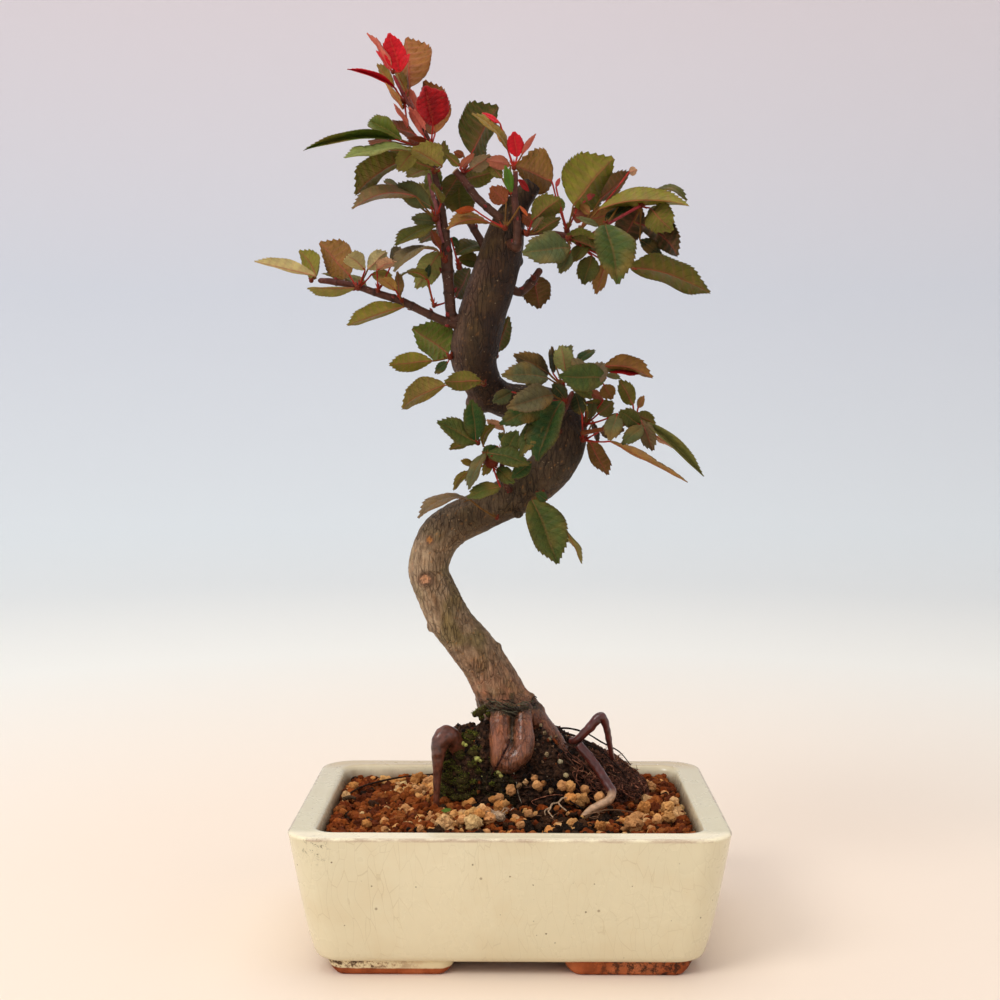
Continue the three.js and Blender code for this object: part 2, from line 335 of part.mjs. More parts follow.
    [46.1,10,296.32,49.37,12,297.41,0.084,0.369,-0.926,-0.371,0.101,0.923,-0.521,0.853,-0.004,-0.521,0.853,-0.004,1.75,0],
    [33.56,0,280.69,64.4,-8,282.15,0.151,0.709,0.689,0.252,0.967,-0.028,-0.03,0.064,0.997,0.219,0.908,0.358,8.61,0.15],
    [30.7,4,279.34,26.92,6,283.45,0.761,0.132,0.636,-0.58,0.382,-0.72,-0.328,-0.932,0.152,0.328,0.932,-0.152,1.74,0],
  ] },
  leaf_spray_right_inner: { hub: [22.37,-3.4,268.53], bud: 1.3, leaves: [
    [22.6,-8,265.36,4.8,-14,263.59,0.284,-0.629,-0.723,-0.151,0.158,0.976,0.243,-0.855,0.458,0.243,-0.855,0.458,5.09,0.05],
    [22.6,-8,263.49,18.72,-12,255.22,0.919,-0.238,-0.316,-0.816,-0.267,0.512,0.185,-0.916,0.356,0.185,-0.916,0.356,2.69,0],
    [21.27,-2,270.22,33.28,-6,268.21,0.114,0.696,-0.709,0.079,-0.248,0.966,0.349,0.813,0.466,0.349,0.813,0.466,3.46,0.05],
    [22.8,-2,269.46,34.16,-4,264.67,0.057,0.962,-0.266,0.169,-0.7,0.694,0.411,0.476,0.777,0.411,0.476,0.777,3.37,0],
  ] },
  leaf_spray_right_front: { hub: [36.31,-5.6,274.27], bud: 1.1, leaves: [
    [35.67,-10,273.33,39.8,-20,250.38,0.923,-0.263,0.281,-0.71,-0.684,0.17,0.199,-0.885,0.421,0.199,-0.885,0.421,8.76,0.06],
    [36.64,0,275.76,47.02,6,283.42,-0.684,0.462,0.564,0.574,-0.805,-0.147,-0.199,-0.622,0.757,-0.199,-0.622,0.757,3.84,0],
    [33.75,-4,273.73,25.21,-8,276.23,0.278,-0.86,-0.427,-0.026,0.569,0.822,0.457,-0.528,0.716,0.457,-0.528,0.716,2.63,0],
    [41.86,4,282.76,50.72,4,283.13,-0.003,0.997,0.075,-0.019,-0.885,0.464,-0.041,0.203,0.978,-0.041,0.203,0.978,2.39,0],
  ] },
  leaf_spray_right_end: { hub: [50.14,1.6,282.03], bud: 1.1, leaves: [
    [56.83,8,289.45,67.64,4,284.25,0.516,0.598,0.613,-0.41,-0.898,-0.162,0.193,-0.543,0.818,0.193,-0.543,0.818,3.41,0.3],
    [53.81,4,281.6,61.71,-2,272.05,-0.569,0.397,-0.72,0.794,0.091,0.6,-0.41,-0.886,0.218,0.41,0.886,-0.218,4.6,0.25],
    [47.67,4,276.26,63.46,-4,262.37,0.581,-0.216,0.785,0.067,0.896,-0.44,0.648,0.68,0.345,0.648,0.68,0.345,7.04,0.2],
    [50.19,6,269.61,58.73,10,264.66,0.567,-0.233,0.79,-0.381,-0.278,-0.882,-0.337,0.927,0.166,0.337,-0.927,-0.166,2.88,0],
  ] },
  leaf_spray_right_low: { hub: [25.9,-1,267.67], bud: 1.2, leaves: [
    [46.06,2,259.22,75.41,-8,247.84,0.188,0.926,-0.328,0.062,-0.665,0.744,0.344,-0.057,0.937,0.454,0.473,0.755,8.92,0.06],
    [31.33,0,262.84,27.92,-4,251.82,0.942,-0.277,-0.19,-0.898,-0.244,0.366,0.079,-0.945,0.318,0.079,-0.945,0.318,4.21,0],
    [37.06,6,261.17,33.34,8,249.2,-0.928,-0.286,0.241,0.664,0.743,-0.082,-0.478,0.83,0.287,-0.478,0.83,0.287,3.43,0],
  ] },
  leaf_single_right_back: { hub: [9.23,11.8,255.58], bud: 1.2, leaves: [
    [9.67,15.4,257.09,12.19,24,244.97,-0.967,0.255,-0.021,0.922,0.198,0.333,-0.081,0.821,0.566,-0.081,0.821,0.566,5.37,0],
  ] },
  leaf_pair_left_tip: { hub: [-77.31,5.3,254.02], bud: 1.0, leaves: [
    [-75.57,6,255.51,-97.87,-2,259.74,-0.331,0.943,0.04,-0.072,0.615,0.786,-0.222,0.861,0.457,-0.222,0.861,0.457,6.5,0.03],
    [-75.75,7.3,255.64,-83.87,18,266.88,0.697,-0.196,0.69,-0.301,0.573,-0.762,0.718,0.684,-0.132,0.718,0.684,-0.132,4.73,0.1],
  ] },
  leaf_spray_left_outer: { hub: [-58.95,3.2,251.01], bud: 1.3, leaves: [
    [-62.72,6,255.89,-75.38,14,268.77,-0.203,0.73,-0.652,0.758,0.195,0.623,0.514,0.857,-0.027,0.514,0.857,-0.027,7.98,0],
    [-56.28,4,258,-61.48,-8,262.09,-0.916,0.308,-0.259,0.49,0.084,0.868,-0.507,0.467,0.725,-0.507,0.467,0.725,3.91,0.1],
    [-55.32,6,258.58,-48.99,14,266.01,0.499,0.344,-0.795,-0.798,0.076,0.598,0.542,-0.761,0.358,-0.542,0.761,-0.358,3.52,0.1],
    [-56.94,14,252.33,-74.93,22,258.2,-0.394,-0.918,0.043,0.482,0.739,0.471,0.16,-0.325,0.932,0.16,-0.325,0.932,5.55,0.05],
    [-60.21,4.15,251.09,-76.63,-9,246.96,-0.401,0.69,-0.603,-0.638,0.762,0.108,0.561,-0.784,0.267,-0.561,0.784,-0.267,5.79,0.08],
  ] },
  leaf_pair_left_mid: { hub: [-51.28,4,249.91], bud: 1.0, leaves: [
    [-51.44,2,257.8,-42.9,-8,259.44,0.765,0.634,-0.117,-0.643,-0.447,0.622,0.221,0.338,0.915,0.221,0.338,0.915,3.58,0.1],
    [-46.31,10,261.29,-43.55,20,268.24,0.215,0.516,-0.829,-0.686,-0.277,0.673,0.855,-0.434,0.284,-0.855,0.434,-0.284,3.37,0],
  ] },
  leaf_spray_left_low: { hub: [-41.99,4,246.05], bud: 1.0, leaves: [
    [-44.14,2,249.74,-49.94,-6,253.61,0.773,-0.288,0.565,-0.826,0.557,-0.086,-0.095,0.488,0.867,-0.095,0.488,0.867,2.87,0.1],
    [-42.6,2,247.82,-43.89,4,257.21,0.876,-0.433,0.212,-0.498,0.832,-0.245,0.687,0.724,-0.06,0.687,0.724,-0.06,2.62,0],
    [-41.22,4,243.74,-61.63,-8,235.89,-0.425,0.875,-0.233,-0.555,0.516,0.652,-0.298,-0.114,0.948,-0.559,0.794,0.239,6.73,0.06],
  ] },
  leaf_spray_trunk_left: { hub: [-23.6,8,224.59], bud: 1.4, leaves: [
    [-23.69,10,226.23,-37.15,18,236.87,-0.068,0.754,-0.653,0.672,0.173,0.72,0.545,0.836,0.06,0.545,0.836,0.06,8.46,0],
    [-30.42,4,222.88,-46.45,-4,221.22,-0.253,0.656,-0.711,-0.29,0.399,0.87,-0.454,0.881,0.133,-0.454,0.881,0.133,4.86,0.04],
    [-24.48,10,222.72,-29.82,14,218.53,0.191,-0.576,-0.795,-0.538,0.149,0.829,-0.63,-0.774,0.063,-0.63,-0.774,0.063,2.13,0],
  ] },
  leaf_pair_trunk_front: { hub: [-10.19,2.2,213.93], bud: 1.2, leaves: [
    [-25.39,4,213.98,-41.21,-8,205.74,-0.32,0.786,-0.529,-0.356,-0.162,0.92,-0.677,0.624,0.391,-0.677,0.624,0.391,6.28,0.1],
    [-11.15,-6,214.9,-24.71,-10,214.43,-0.057,0.075,0.996,-0.1,0.443,-0.891,-0.284,0.94,0.19,-0.284,0.94,0.19,3.82,0.08],
  ] },
  leaf_spray_mid_left: { hub: [-12.43,-1.6,191.17], bud: 1.1, leaves: [
    [-13.19,-2,191.94,-14.85,-4,207.68,-0.849,-0.505,-0.154,0.995,-0.024,0.102,0.264,-0.96,-0.094,0.264,-0.96,-0.094,4.31,0],
    [-12.81,-2,191.56,-27.69,-8,200.04,0.041,-0.848,-0.528,0.268,0.5,0.824,0.56,-0.632,0.536,0.56,-0.632,0.536,4.9,0.05],
    [-15.69,4,192.23,-23.67,8,188.44,-0.557,-0.45,0.698,0.532,0.801,-0.274,-0.046,0.637,0.769,-0.046,0.637,0.769,2.62,0],
  ] },
  leaf_spray_mid_upper: { hub: [-2.81,0,187.66], bud: 1.1, leaves: [
    [-10.63,4,189.9,-5.23,8,198.04,0.139,0.849,-0.509,-0.567,-0.525,0.634,-0.777,0.588,0.227,-0.777,0.588,0.227,2.85,0.25],
    [-2.5,9.1,196.08,-9.11,6,200,0.601,-0.414,0.684,-0.541,0.791,-0.286,0.109,0.683,0.722,0.109,0.683,0.722,2.24,0],
    [-1.98,-6,186.66,2.6,-2,195.79,-0.816,-0.252,0.52,0.904,-0.261,-0.339,0.159,-0.931,0.328,0.159,-0.931,0.328,3.84,0],
    [-0.87,0,191.14,-4.4,4,194.96,-0.824,-0.234,-0.516,0.604,-0.203,0.771,-0.399,-0.792,0.462,-0.399,-0.792,0.462,1.77,0],
    [7.98,-5,183.95,0.71,-9,177.97,0.697,-0.282,-0.659,-0.542,-0.225,0.81,0.281,-0.92,0.273,0.281,-0.92,0.273,2.76,0],
  ] },
  leaf_spray_mid_front: { hub: [-7.24,-4.89,184.34], bud: 3.15, leaves: [
    [-8.87,-6,187.42,7.06,-10,183.12,0.332,0.404,0.852,-0.334,-0.811,-0.481,-0.003,-0.738,0.674,-0.003,-0.738,0.674,4.58,0.05],
    [-14.42,0,183.01,-18.98,-2,184.43,-0.164,-0.292,-0.942,0.374,-0.216,0.902,0.381,-0.922,-0.073,0.381,-0.922,-0.073,1.4,0],
    [-9.64,-6,187.42,-15.36,-12,173.92,0.431,-0.878,0.208,-0.804,0.59,0.078,-0.676,-0.523,0.519,-0.676,-0.523,0.519,4.28,0.05],
    [-5.88,-1.3,186.15,-10.46,-4,178.91,-0.753,-0.296,0.587,0.419,0.732,-0.538,-0.607,0.79,0.089,-0.607,0.79,0.089,2.42,0],
    [-15.64,2,180.23,-21.7,-2,173.03,-0.444,-0.57,0.691,0.02,0.866,-0.499,-0.768,0.537,0.349,-0.768,0.537,0.349,2.76,0.1],
    [-3.88,-8,174.49,-15.97,-12,170.5,0.416,-0.762,-0.496,-0.395,0.342,0.853,0.038,-0.762,0.647,0.038,-0.762,0.647,3.6,0.08],
  ] },
  leaf_single_elbow: { hub: [-5.16,2.2,161.92], bud: 1.0, leaves: [
    [-15.53,-2,169.17,-34.73,-10,162.55,0.364,-0.929,0.066,-0.471,0.76,0.448,-0.301,-0.065,0.951,-0.194,-0.307,0.932,5.89,0.35],
  ] },
  leaf_spray_hanging: { hub: [11.9,-3,170.52], bud: 1.78, leaves: [
    [8.77,-4,169.3,17.89,-10,145.39,0.903,-0.182,0.39,-0.64,-0.767,-0.051,0.252,-0.911,0.325,0.252,-0.911,0.325,8.6,0.04],
    [14.12,-5.85,169.41,9.83,-11,172.36,-0.348,-0.231,-0.909,0.683,-0.16,0.712,-0.608,0.71,0.356,0.608,-0.71,-0.356,1.98,0],
    [21.96,10,156.27,28.09,14,143.2,-0.096,0.964,0.25,0.563,-0.827,0.011,0.846,0.248,0.473,0.846,0.248,0.473,4.04,0.1],
  ] },
  leaf_spray_bend_upper: { hub: [20.3,-1,213.09], bud: 1.1, leaves: [
    [14.97,2,217.78,1.43,-2,224.94,-0.208,-0.633,-0.746,0.428,0.149,0.892,0.399,-0.878,0.264,0.399,-0.878,0.264,4.27,0.05],
    [14.46,-4,216.46,-3.07,-12,218.14,0.3,-0.774,-0.558,-0.096,0.402,0.911,0.369,-0.675,0.639,0.369,-0.675,0.639,5.22,0.05],
    [21.34,-4,218.37,19.46,-2,228.37,0.963,0.233,0.134,-0.922,0.307,-0.234,-0.074,-0.98,0.182,0.074,0.98,-0.182,3.83,0.2],
    [16.61,6,218.28,16.25,8,228.46,-0.447,-0.881,0.157,0.853,0.518,-0.071,0.736,-0.659,0.156,0.736,-0.659,0.156,2.8,0],
  ] },
  leaf_spray_bend_top: { hub: [34.38,-3.4,216.47], bud: 1.3, shoot: [[25.16,-4.6,211.87,0.92],[29.75,-4.4,214.16,0.84],[34.38,-3.4,216.47,0.84]], leaves: [
    [36.28,-10,215.92,18.26,-18,216.46,0.07,-0.224,-0.972,0.152,-0.279,0.948,0.404,-0.914,-0.043,0.404,-0.914,-0.043,5.32,0.06],
    [30.14,-12,213.24,35.24,-8,221.65,-0.782,-0.225,0.581,0.874,-0.286,-0.394,0.166,-0.926,0.34,0.166,-0.926,0.34,3.79,0.1],
    [29.57,-8,215.97,23.62,-4,223.71,-0.717,-0.665,-0.208,0.825,0.223,0.519,0.195,-0.802,0.565,0.195,-0.802,0.565,2.85,0.05],
    [25.7,0,221.56,32.7,4,226.91,-0.69,0.455,0.563,0.575,-0.804,-0.152,-0.209,-0.633,0.746,-0.209,-0.633,0.746,2.61,0.1],
    [36.1,0,220.79,54.23,-4,216.07,0.195,-0.239,0.951,0.143,0.955,-0.259,0.252,0.003,0.968,0.321,0.681,0.658,5.87,0.15],
    [37.11,4,219.76,50.13,2,217.77,0.208,0.548,0.81,-0.198,-0.901,-0.387,0.019,-0.64,0.768,0.019,-0.64,0.768,3.6,0.05],
    [36.64,-4,217.6,41.72,-8,215.59,0.593,0.404,0.696,-0.658,-0.713,-0.244,-0.116,-0.56,0.82,-0.116,-0.56,0.82,1.83,0],
    [36.12,0,213.49,39.49,4,208.15,-0.893,0.291,-0.344,0.77,0.173,0.614,-0.223,0.842,0.491,-0.223,0.842,0.491,3.1,0],
  ] },
  leaf_spray_bend_front: { hub: [21.33,-5.2,206.9], bud: 1.2, leaves: [
    [0.66,0,210.81,-6.6,-4,206.92,0.555,-0.232,-0.799,-0.338,-0.263,0.903,0.393,-0.9,0.19,0.393,-0.9,0.19,2.88,0],
    [16.28,-8,209.53,-1.14,-18,204.54,0.514,-0.582,-0.63,-0.103,-0.295,0.95,0.403,-0.86,0.314,0.403,-0.86,0.314,5.59,0.08],
    [19.71,-8,207.26,10.53,-14,184.61,0.366,-0.926,0.097,-0.924,0.208,0.32,-0.558,-0.717,0.416,-0.558,-0.717,0.416,9.27,0.05],
    [11.38,-6,203.85,0.7,-10,200.8,0.425,-0.672,-0.607,-0.343,0.221,0.913,0.148,-0.818,0.555,0.148,-0.818,0.555,3.19,0.05],
    [21.36,-4.1,207.68,16.37,-4,213.79,-0.753,-0.244,-0.611,0.735,-0.307,0.605,-0.033,-0.999,-0.011,-0.033,-0.999,-0.011,2.87,0],
  ] },
  leaf_spray_bend_outer: { hub: [48.01,-1.6,199.64], bud: 1.3, shoot: [[27.3,-0.4,195.01,0.93],[37.66,-1.2,196.94,0.85],[48.01,-1.6,199.64,0.85]], leaves: [
    [47.17,-2,205.78,42.56,4,215.51,0.887,-0.059,0.457,-0.61,0.512,-0.605,-0.503,-0.822,0.268,0.503,0.822,-0.268,3.33,0],
    [49.68,-4.7,198.12,41.63,-10,203.45,-0.446,-0.2,-0.872,0.652,-0.283,0.703,-0.374,0.875,0.306,0.374,-0.875,-0.306,3.43,0.05],
    [49.26,0,204.64,51.72,2,209.29,0.642,0.52,-0.564,-0.878,-0.029,0.477,0.428,-0.89,0.157,-0.428,0.89,-0.157,1.52,0],
    [50.72,-6,197.75,42.59,-8,190.91,0.654,-0.329,-0.681,-0.598,-0.212,0.773,0.102,-0.981,0.166,0.102,-0.981,0.166,2.92,0.2],
    [50.28,-2,200.02,54.77,-4,188.54,-0.686,0.623,-0.377,0.917,-0.122,0.38,0.419,0.908,0.006,0.419,0.908,0.006,3.37,0],
    [52.38,0,199.25,74.31,-6,179.03,0.151,-0.891,0.428,-0.275,-0.961,-0.013,0.659,-0.104,0.745,-0.065,-0.974,0.218,8.22,0.15],
    [56.83,6,193.77,65.91,14,188.13,-0.548,0.798,0.249,0.723,-0.644,0.25,0.316,0.28,0.906,0.316,0.28,0.906,3.61,0],
  ] },
  leaf_spray_bend_inner: { hub: [29,3.2,198.23], bud: 1.35, leaves: [
    [33.97,2,202.33,40.14,8,207.03,0.474,0.186,-0.861,-0.728,0.25,0.638,0.461,-0.79,0.403,-0.461,0.79,-0.403,3.5,0],
    [29.9,-2,203.1,26.51,0,207.72,0.507,-0.592,0.627,-0.082,0.892,-0.445,0.771,0.544,0.33,0.771,0.544,0.33,1.64,0],
    [29.31,2,206.97,36.12,6,205.84,-0.518,0.791,-0.324,0.413,-0.486,0.77,-0.191,0.554,0.81,-0.191,0.554,0.81,2.15,0],
    [40.64,-8,202.32,37.58,-12,192.5,0.934,-0.318,-0.161,-0.911,-0.194,0.363,0.041,-0.93,0.366,0.041,-0.93,0.366,3.41,0],
    [36,4,207.77,30.35,8,211.32,0.39,-0.241,0.889,-0.03,0.64,-0.768,0.653,0.725,0.22,0.653,0.725,0.22,2.1,0],
  ] },
  leaf_spray_bend_low: { hub: [28.19,2,192.27], bud: 1.2, leaves: [
    [38.78,-2,191.95,67.18,-10,177.1,0.266,0.964,-0.01,0.005,-0.876,0.482,0.492,0.159,0.856,0.492,0.159,0.856,8.92,0.06],
    [30.23,4,192.24,37.32,8,178.66,-0.613,0.785,-0.089,0.865,-0.366,0.344,0.457,0.76,0.462,0.457,0.76,0.462,4.28,0],
    [32.66,14,199.59,34.49,18,190.82,-0.231,0.902,0.363,0.702,-0.692,-0.169,0.854,0.382,0.353,0.854,0.382,0.353,2.65,0],
    [27.6,-2,201.94,24.96,0,210.42,-0.944,-0.228,-0.24,0.885,-0.309,0.348,-0.107,-0.975,0.197,-0.107,-0.975,0.197,3.08,0],
  ] },
  leaf_single_trunk_back: { hub: [-5.82,22.4,225.56], bud: 1.3, leaves: [
    [-5.44,24,227.22,-0.65,28,241.46,0.552,0.736,-0.392,-0.879,-0.292,0.378,-0.593,0.805,-0.027,-0.593,0.805,-0.027,4.2,0],
  ] },
};

// ---- colours of the pieces ----
const FINISH = {
  glaze: [0xe2d0a8, 0.35], bark: [0x6e5a40, 0.85], root: [0x7a5548, 0.7], stem: [0x5a3a34, 0.7],
  soil: [0x4a3020, 0.95], soil_ball: [0x38281c, 0.95], moss: [0x3c5a1c, 0.95], screen: [0x222222, 0.6], wire: [0xb0b0b4, 0.35],
  leaf: [0x5f6f2e, 0.6], leaf_red: [0x9c1f26, 0.5],
};

const solids = new Map();      // name -> { solid, cutter, finish }
const overlapBox = (a, b) => {
  const A = a.boundingBox(), B = b.boundingBox();
  for (let i = 0; i < 3; i++) if (A.min[i] > B.max[i] || B.min[i] > A.max[i]) return false;
  return true;
};
function place(name, solid, cutter, finish, against = [...solids.keys()]) {
  let s = solid;
  for (const other of against) {
    const o = solids.get(other);
    if (o && o.cutter && overlapBox(s, o.cutter)) s = s.subtract(o.cutter);
  }
  s = largest(s);
  solids.set(name, { solid: s, cutter, finish });
}

// ---- trunk: one grown piece, with its root lobes, right root flare and cut stump ----
function trunk(grow) {
  let s = tube(STEMS.trunk, 12, grow);
  const lobes = [
    [[-0.6, 13.5, 86, 5.0], [-2.4, 10.5, 79, 5.0], [-3.0, 8.4, 71, 4.8], [-2.2, 7.0, 62, 5.2], [-2.0, 7.5, 54, 4.4]],
    [[4.2, 13.0, 85, 4.6], [5.6, 10.5, 78, 4.8], [6.0, 8.6, 70, 4.8], [6.4, 7.4, 62, 5.0], [6.0, 8.0, 54, 4.2]],
    [[8.0, 17.0, 90, 5.2], [13.5, 14.5, 85, 4.8], [19.5, 12.6, 78.5, 4.4], [23.0, 12.5, 71, 4.0], [24.5, 13.5, 62, 3.4]],
  ];
  for (const l of lobes) s = s.add(tube(l, 8, grow));
  s = s.add(ball([-11.6, 17, 207], 5.4 + grow, 1, [1.25, 1.1, 0.85]));       // healed collar under the upper trunk
  return s;
}
place('trunk', trunk(0), trunk(GAP), 'bark');

// ---- pot: one fired piece with its feet, two drain holes ----
function potSolid() {
  const a = POT_L / 2, b = POT_W / 2, zb = FOOT_H;
  const outer = loft([
    rrect(a - WALL_IN - 3, b - WALL_IN - 3, 8, zb), rrect(a - WALL_IN, b - WALL_IN, 10, zb + 3.5),
    rrect(a - WALL_IN * 0.72, b - WALL_IN * 0.72, 11, zb + 14), rrect(a - 1.6, b - 1.6, 12.5, POT_H - 6),
    rrect(a, b, 13, POT_H - 2.2), rrect(a - 1.2, b - 1.2, 12, POT_H),
  ]);
  const inner = loft([
    rrect(a - 21, b - 20, 6, FLOOR_Z), rrect(a - 17, b - 16, 8, FLOOR_Z + 6), rrect(a - RIM_W - 1.5, b - RIM_W - 1.5, 8, POT_H - 3),
    rrect(a - RIM_W, b - RIM_W, 8, POT_H + 1),
  ]);
  let s = outer.subtract(inner);
  for (const sx of [-1, 1]) for (const sy of [-1, 1]) {
    const x1 = sx * (a - WALL_IN - 1.0), y1 = sy * (b - WALL_IN - 1.0);
    const foot = (dx, dy, wx, wy) => loft([
      rrect(wx / 2 - 3.2, wy / 2 - 1.6, 1.2, 0, 2, x1 - sx * wx / 2 - sx * dx, y1 - sy * wy / 2 - sy * dy),
      rrect(wx / 2, wy / 2, 1.6, FOOT_H + 2.2, 2, x1 - sx * wx / 2 - sx * dx, y1 - sy * wy / 2 - sy * dy)]);
    s = s.add(foot(0, 0, sx < 0 ? 48 : 46, 13)).add(foot(0, 0, 15, 36));
  }
  for (const sx of [-1, 1]) {
    const rings = [ellipse(sx * DRAIN_X, 0, DRAIN_R, DRAIN_R, -1, 16), ellipse(sx * DRAIN_X, 0, DRAIN_R, DRAIN_R, FLOOR_Z + 4, 16)];
    s = s.subtract(loft(rings));
  }
  return s;
}
place('pot', potSolid(), null, 'glaze', []);

// ---- drain screens and the wire clips that hold them ----
for (const [tag, sx] of [['left', -1], ['right', 1]]) {
  const x = sx * DRAIN_X, z0 = FLOOR_Z + GAP, top = z0 + SCREEN_T + 1.1, low = FOOT_H - 1.1;
  const path = [[x - 11, 0, low], [x - 4.2, 0, low], [x - 3.2, 0, low + 1.2], [x - 3.2, 0, top - 1], [x - 2.4, 0, top], [x + 2.4, 0, top], [x + 3.2, 0, top - 1], [x + 3.2, 0, low + 1.2], [x + 4.2, 0, low], [x + 11, 0, low]];
  place(`screen_clip_${tag}`, tube(path.map(p => [...p, WIRE_R]), 8), tube(path.map(p => [...p, WIRE_R]), 8, GAP), 'wire', []);
  const h = SCREEN / 2;
  const plate = g => loft([rrect(h + g, h + g, 1.2, z0 - g, 2, x), rrect(h + g, h + g, 1.2, z0 + SCREEN_T + g, 2, x)]);
  place(`drain_screen_${tag}`, plate(0), plate(GAP), 'screen', [`screen_clip_${tag}`]);
}

// ---- surface roots ----
place('root_left_knee', tube(STEMS.root_left_knee, 10), tube(STEMS.root_left_knee, 10, GAP), 'root', ['trunk']);
const loopRoot = g => tube(STEMS.root_right_loop, 8, g).add(tube(STEMS.root_right_low, 8, g));
place('root_right_loop', loopRoot(0), loopRoot(GAP), 'root', ['trunk']);

// ---- root ball: the mound of soil and fine roots under the trunk ----
function rootBall(g) {
  const R = [[12, 20, 30, 17, 22], [12, 20, 38, 21, 34], [12, 21.5, 42.5, 23.5, 46], [12, 21.8, 42.6, 23.6, 52], [11.5, 21.6, 40.5, 22.6, 58.5],
    [10.5, 21.4, 35.5, 20.4, 65], [9.6, 21, 30, 17.5, 69.5], [9, 20.6, 24, 14, 73], [8, 20.5, 14, 8, 75.6]];
  return loft(R.map(([x, y, a, b, z], i) => ellipse(x, y, a + g, b + g, i === 0 ? z - g : i === R.length - 1 ? z + g : z + g * i / R.length, 18, 2.15)));
}
place('root_ball', rootBall(0), rootBall(GAP), 'soil_ball', ['trunk', 'root_left_knee', 'root_right_loop']);

// ---- soil filling the pot ----
{
  const a = POT_L / 2, b = POT_W / 2, g = GAP;
  const bed = loft([
    rrect(a - 17.6 - g, b - 16.6 - g, 7, FLOOR_Z + 5), rrect(a - 17 - g, b - 16 - g, 8, FLOOR_Z + 6),
    rrect(a - RIM_W - 1.9 - g, b - RIM_W - 1.9 - g, 8, SOIL_Z - 1.2), rrect(a - RIM_W - 2.9 - g, b - RIM_W - 2.9 - g, 8, SOIL_Z),
  ]);
  const low = loft([rrect(a - 20.6 - g, b - 19.6 - g, 6, FLOOR_Z + g), rrect(a - 17.7 - g, b - 16.7 - g, 7, FLOOR_Z + 5.2)]);
  place('soil_bed', bed.add(low), null, 'soil', ['trunk', 'root_left_knee', 'root_right_loop', 'root_ball', 'drain_screen_left', 'drain_screen_right', 'screen_clip_left', 'screen_clip_right']);
}

// ---- moss cushion on the left and front of the mound ----
{
  const blob = ball([-15, 8.5, 64], 15, 2, [1.1, 1.15, 0.95]).intersect(rootBall(2.4)).subtract(rootBall(GAP));
  place('moss_cushion', blob, null, 'moss', ['trunk', 'root_left_knee', 'root_right_loop']);
}

// ---- woody shoots ----
const joined = {
  stem_tall_left: ['stem_tall_left', 'stem_tall_second'], stem_left_branch: ['stem_left_branch'], stem_upper_left: ['stem_upper_left'],
  stem_leader: ['stem_leader'], stem_back_branch: ['stem_back_branch'], stem_right: ['stem_right', 'stem_right_outer'],
  stem_right_low: ['stem_right_low'], stem_mid: ['stem_mid'], stem_spur_low: ['stem_spur_low'],
};
const woody = ['trunk'];
for (const [name, parts] of Object.entries(joined)) {
  const make = g => parts.map(p => tube(STEMS[p], 8, g)).reduce((s, t) => s.add(t));
  place(name, make(0), make(GAP), 'stem', woody);
  woody.push(name);
}

// ---- leaf sprays: each bud with its leaves, one body ----
const placed = [...woody];
for (const [name, spray] of Object.entries(SPRAYS)) {
  const make = g => {
    const s = spray.leaves.map(l => leaf(l, spray.hub, g)).reduce((a, b) => a.add(b), ball(spray.hub, spray.bud + g, 0));
    return spray.shoot ? s.add(tube(spray.shoot, 6, g)) : s;
  };
  place(name, make(0), make(GAP * 0.9), name.includes('tall_t') || name.includes('tall_red') ? 'leaf_red' : 'leaf', placed);
  placed.push(name);
}

// ---- scene graph ----
const bonsai = new THREE.Group();
bonsai.name = 'apple_bonsai';
const tree = new THREE.Group();
for (const [name, { solid, finish }] of solids) {
  const m = solid.getMesh();
  const g = new THREE.BufferGeometry();
  const p = new Float32Array(m.numVert * 3);
  for (let i = 0; i < m.numVert; i++) for (let k = 0; k < 3; k++) p[i * 3 + k] = m.vertProperties[i * m.numProp + k];
  g.setAttribute('position', new THREE.BufferAttribute(p, 3));
  g.setIndex(new THREE.BufferAttribute(Uint32Array.from(m.triVerts), 1));
  const [color, roughness] = FINISH[finish];
  const mesh = new THREE.Mesh(g, new THREE.MeshStandardMaterial({ color, roughness, metalness: finish === 'wire' ? 0.9 : 0, flatShading: true }));
  mesh.name = name;
  tree.add(mesh);
}
const box = new THREE.Box3().setFromObject(tree);
tree.position.set(-(box.min.x + box.max.x) / 2, -(box.min.y + box.max.y) / 2, -box.min.z);
bonsai.add(tree);
bonsai.updateMatrixWorld(true);

export default bonsai;
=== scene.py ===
import bpy, math, random
import numpy as np
from mathutils import Vector, Matrix, noise
from mathutils.kdtree import KDTree


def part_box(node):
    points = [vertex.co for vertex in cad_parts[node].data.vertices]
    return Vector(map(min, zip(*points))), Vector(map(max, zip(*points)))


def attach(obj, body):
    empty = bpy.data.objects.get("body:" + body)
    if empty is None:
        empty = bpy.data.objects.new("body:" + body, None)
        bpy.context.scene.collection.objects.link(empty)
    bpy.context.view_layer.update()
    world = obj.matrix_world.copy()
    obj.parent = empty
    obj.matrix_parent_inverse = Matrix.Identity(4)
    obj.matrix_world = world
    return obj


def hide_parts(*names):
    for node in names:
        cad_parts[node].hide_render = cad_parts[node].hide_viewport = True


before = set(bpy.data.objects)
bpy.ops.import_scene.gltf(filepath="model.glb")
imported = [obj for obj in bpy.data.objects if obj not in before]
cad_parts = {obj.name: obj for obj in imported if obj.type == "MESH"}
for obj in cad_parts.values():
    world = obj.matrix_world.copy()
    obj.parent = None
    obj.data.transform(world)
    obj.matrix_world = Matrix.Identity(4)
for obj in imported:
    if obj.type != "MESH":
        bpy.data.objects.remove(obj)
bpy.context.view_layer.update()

P0, P1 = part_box("pot")
OX, OY = (P0[0] + P1[0]) / 2, (P0[1] + P1[1]) / 2      # the pot's middle in the frame
RNG = random.Random(20817)
NRNG = np.random.default_rng(20817)


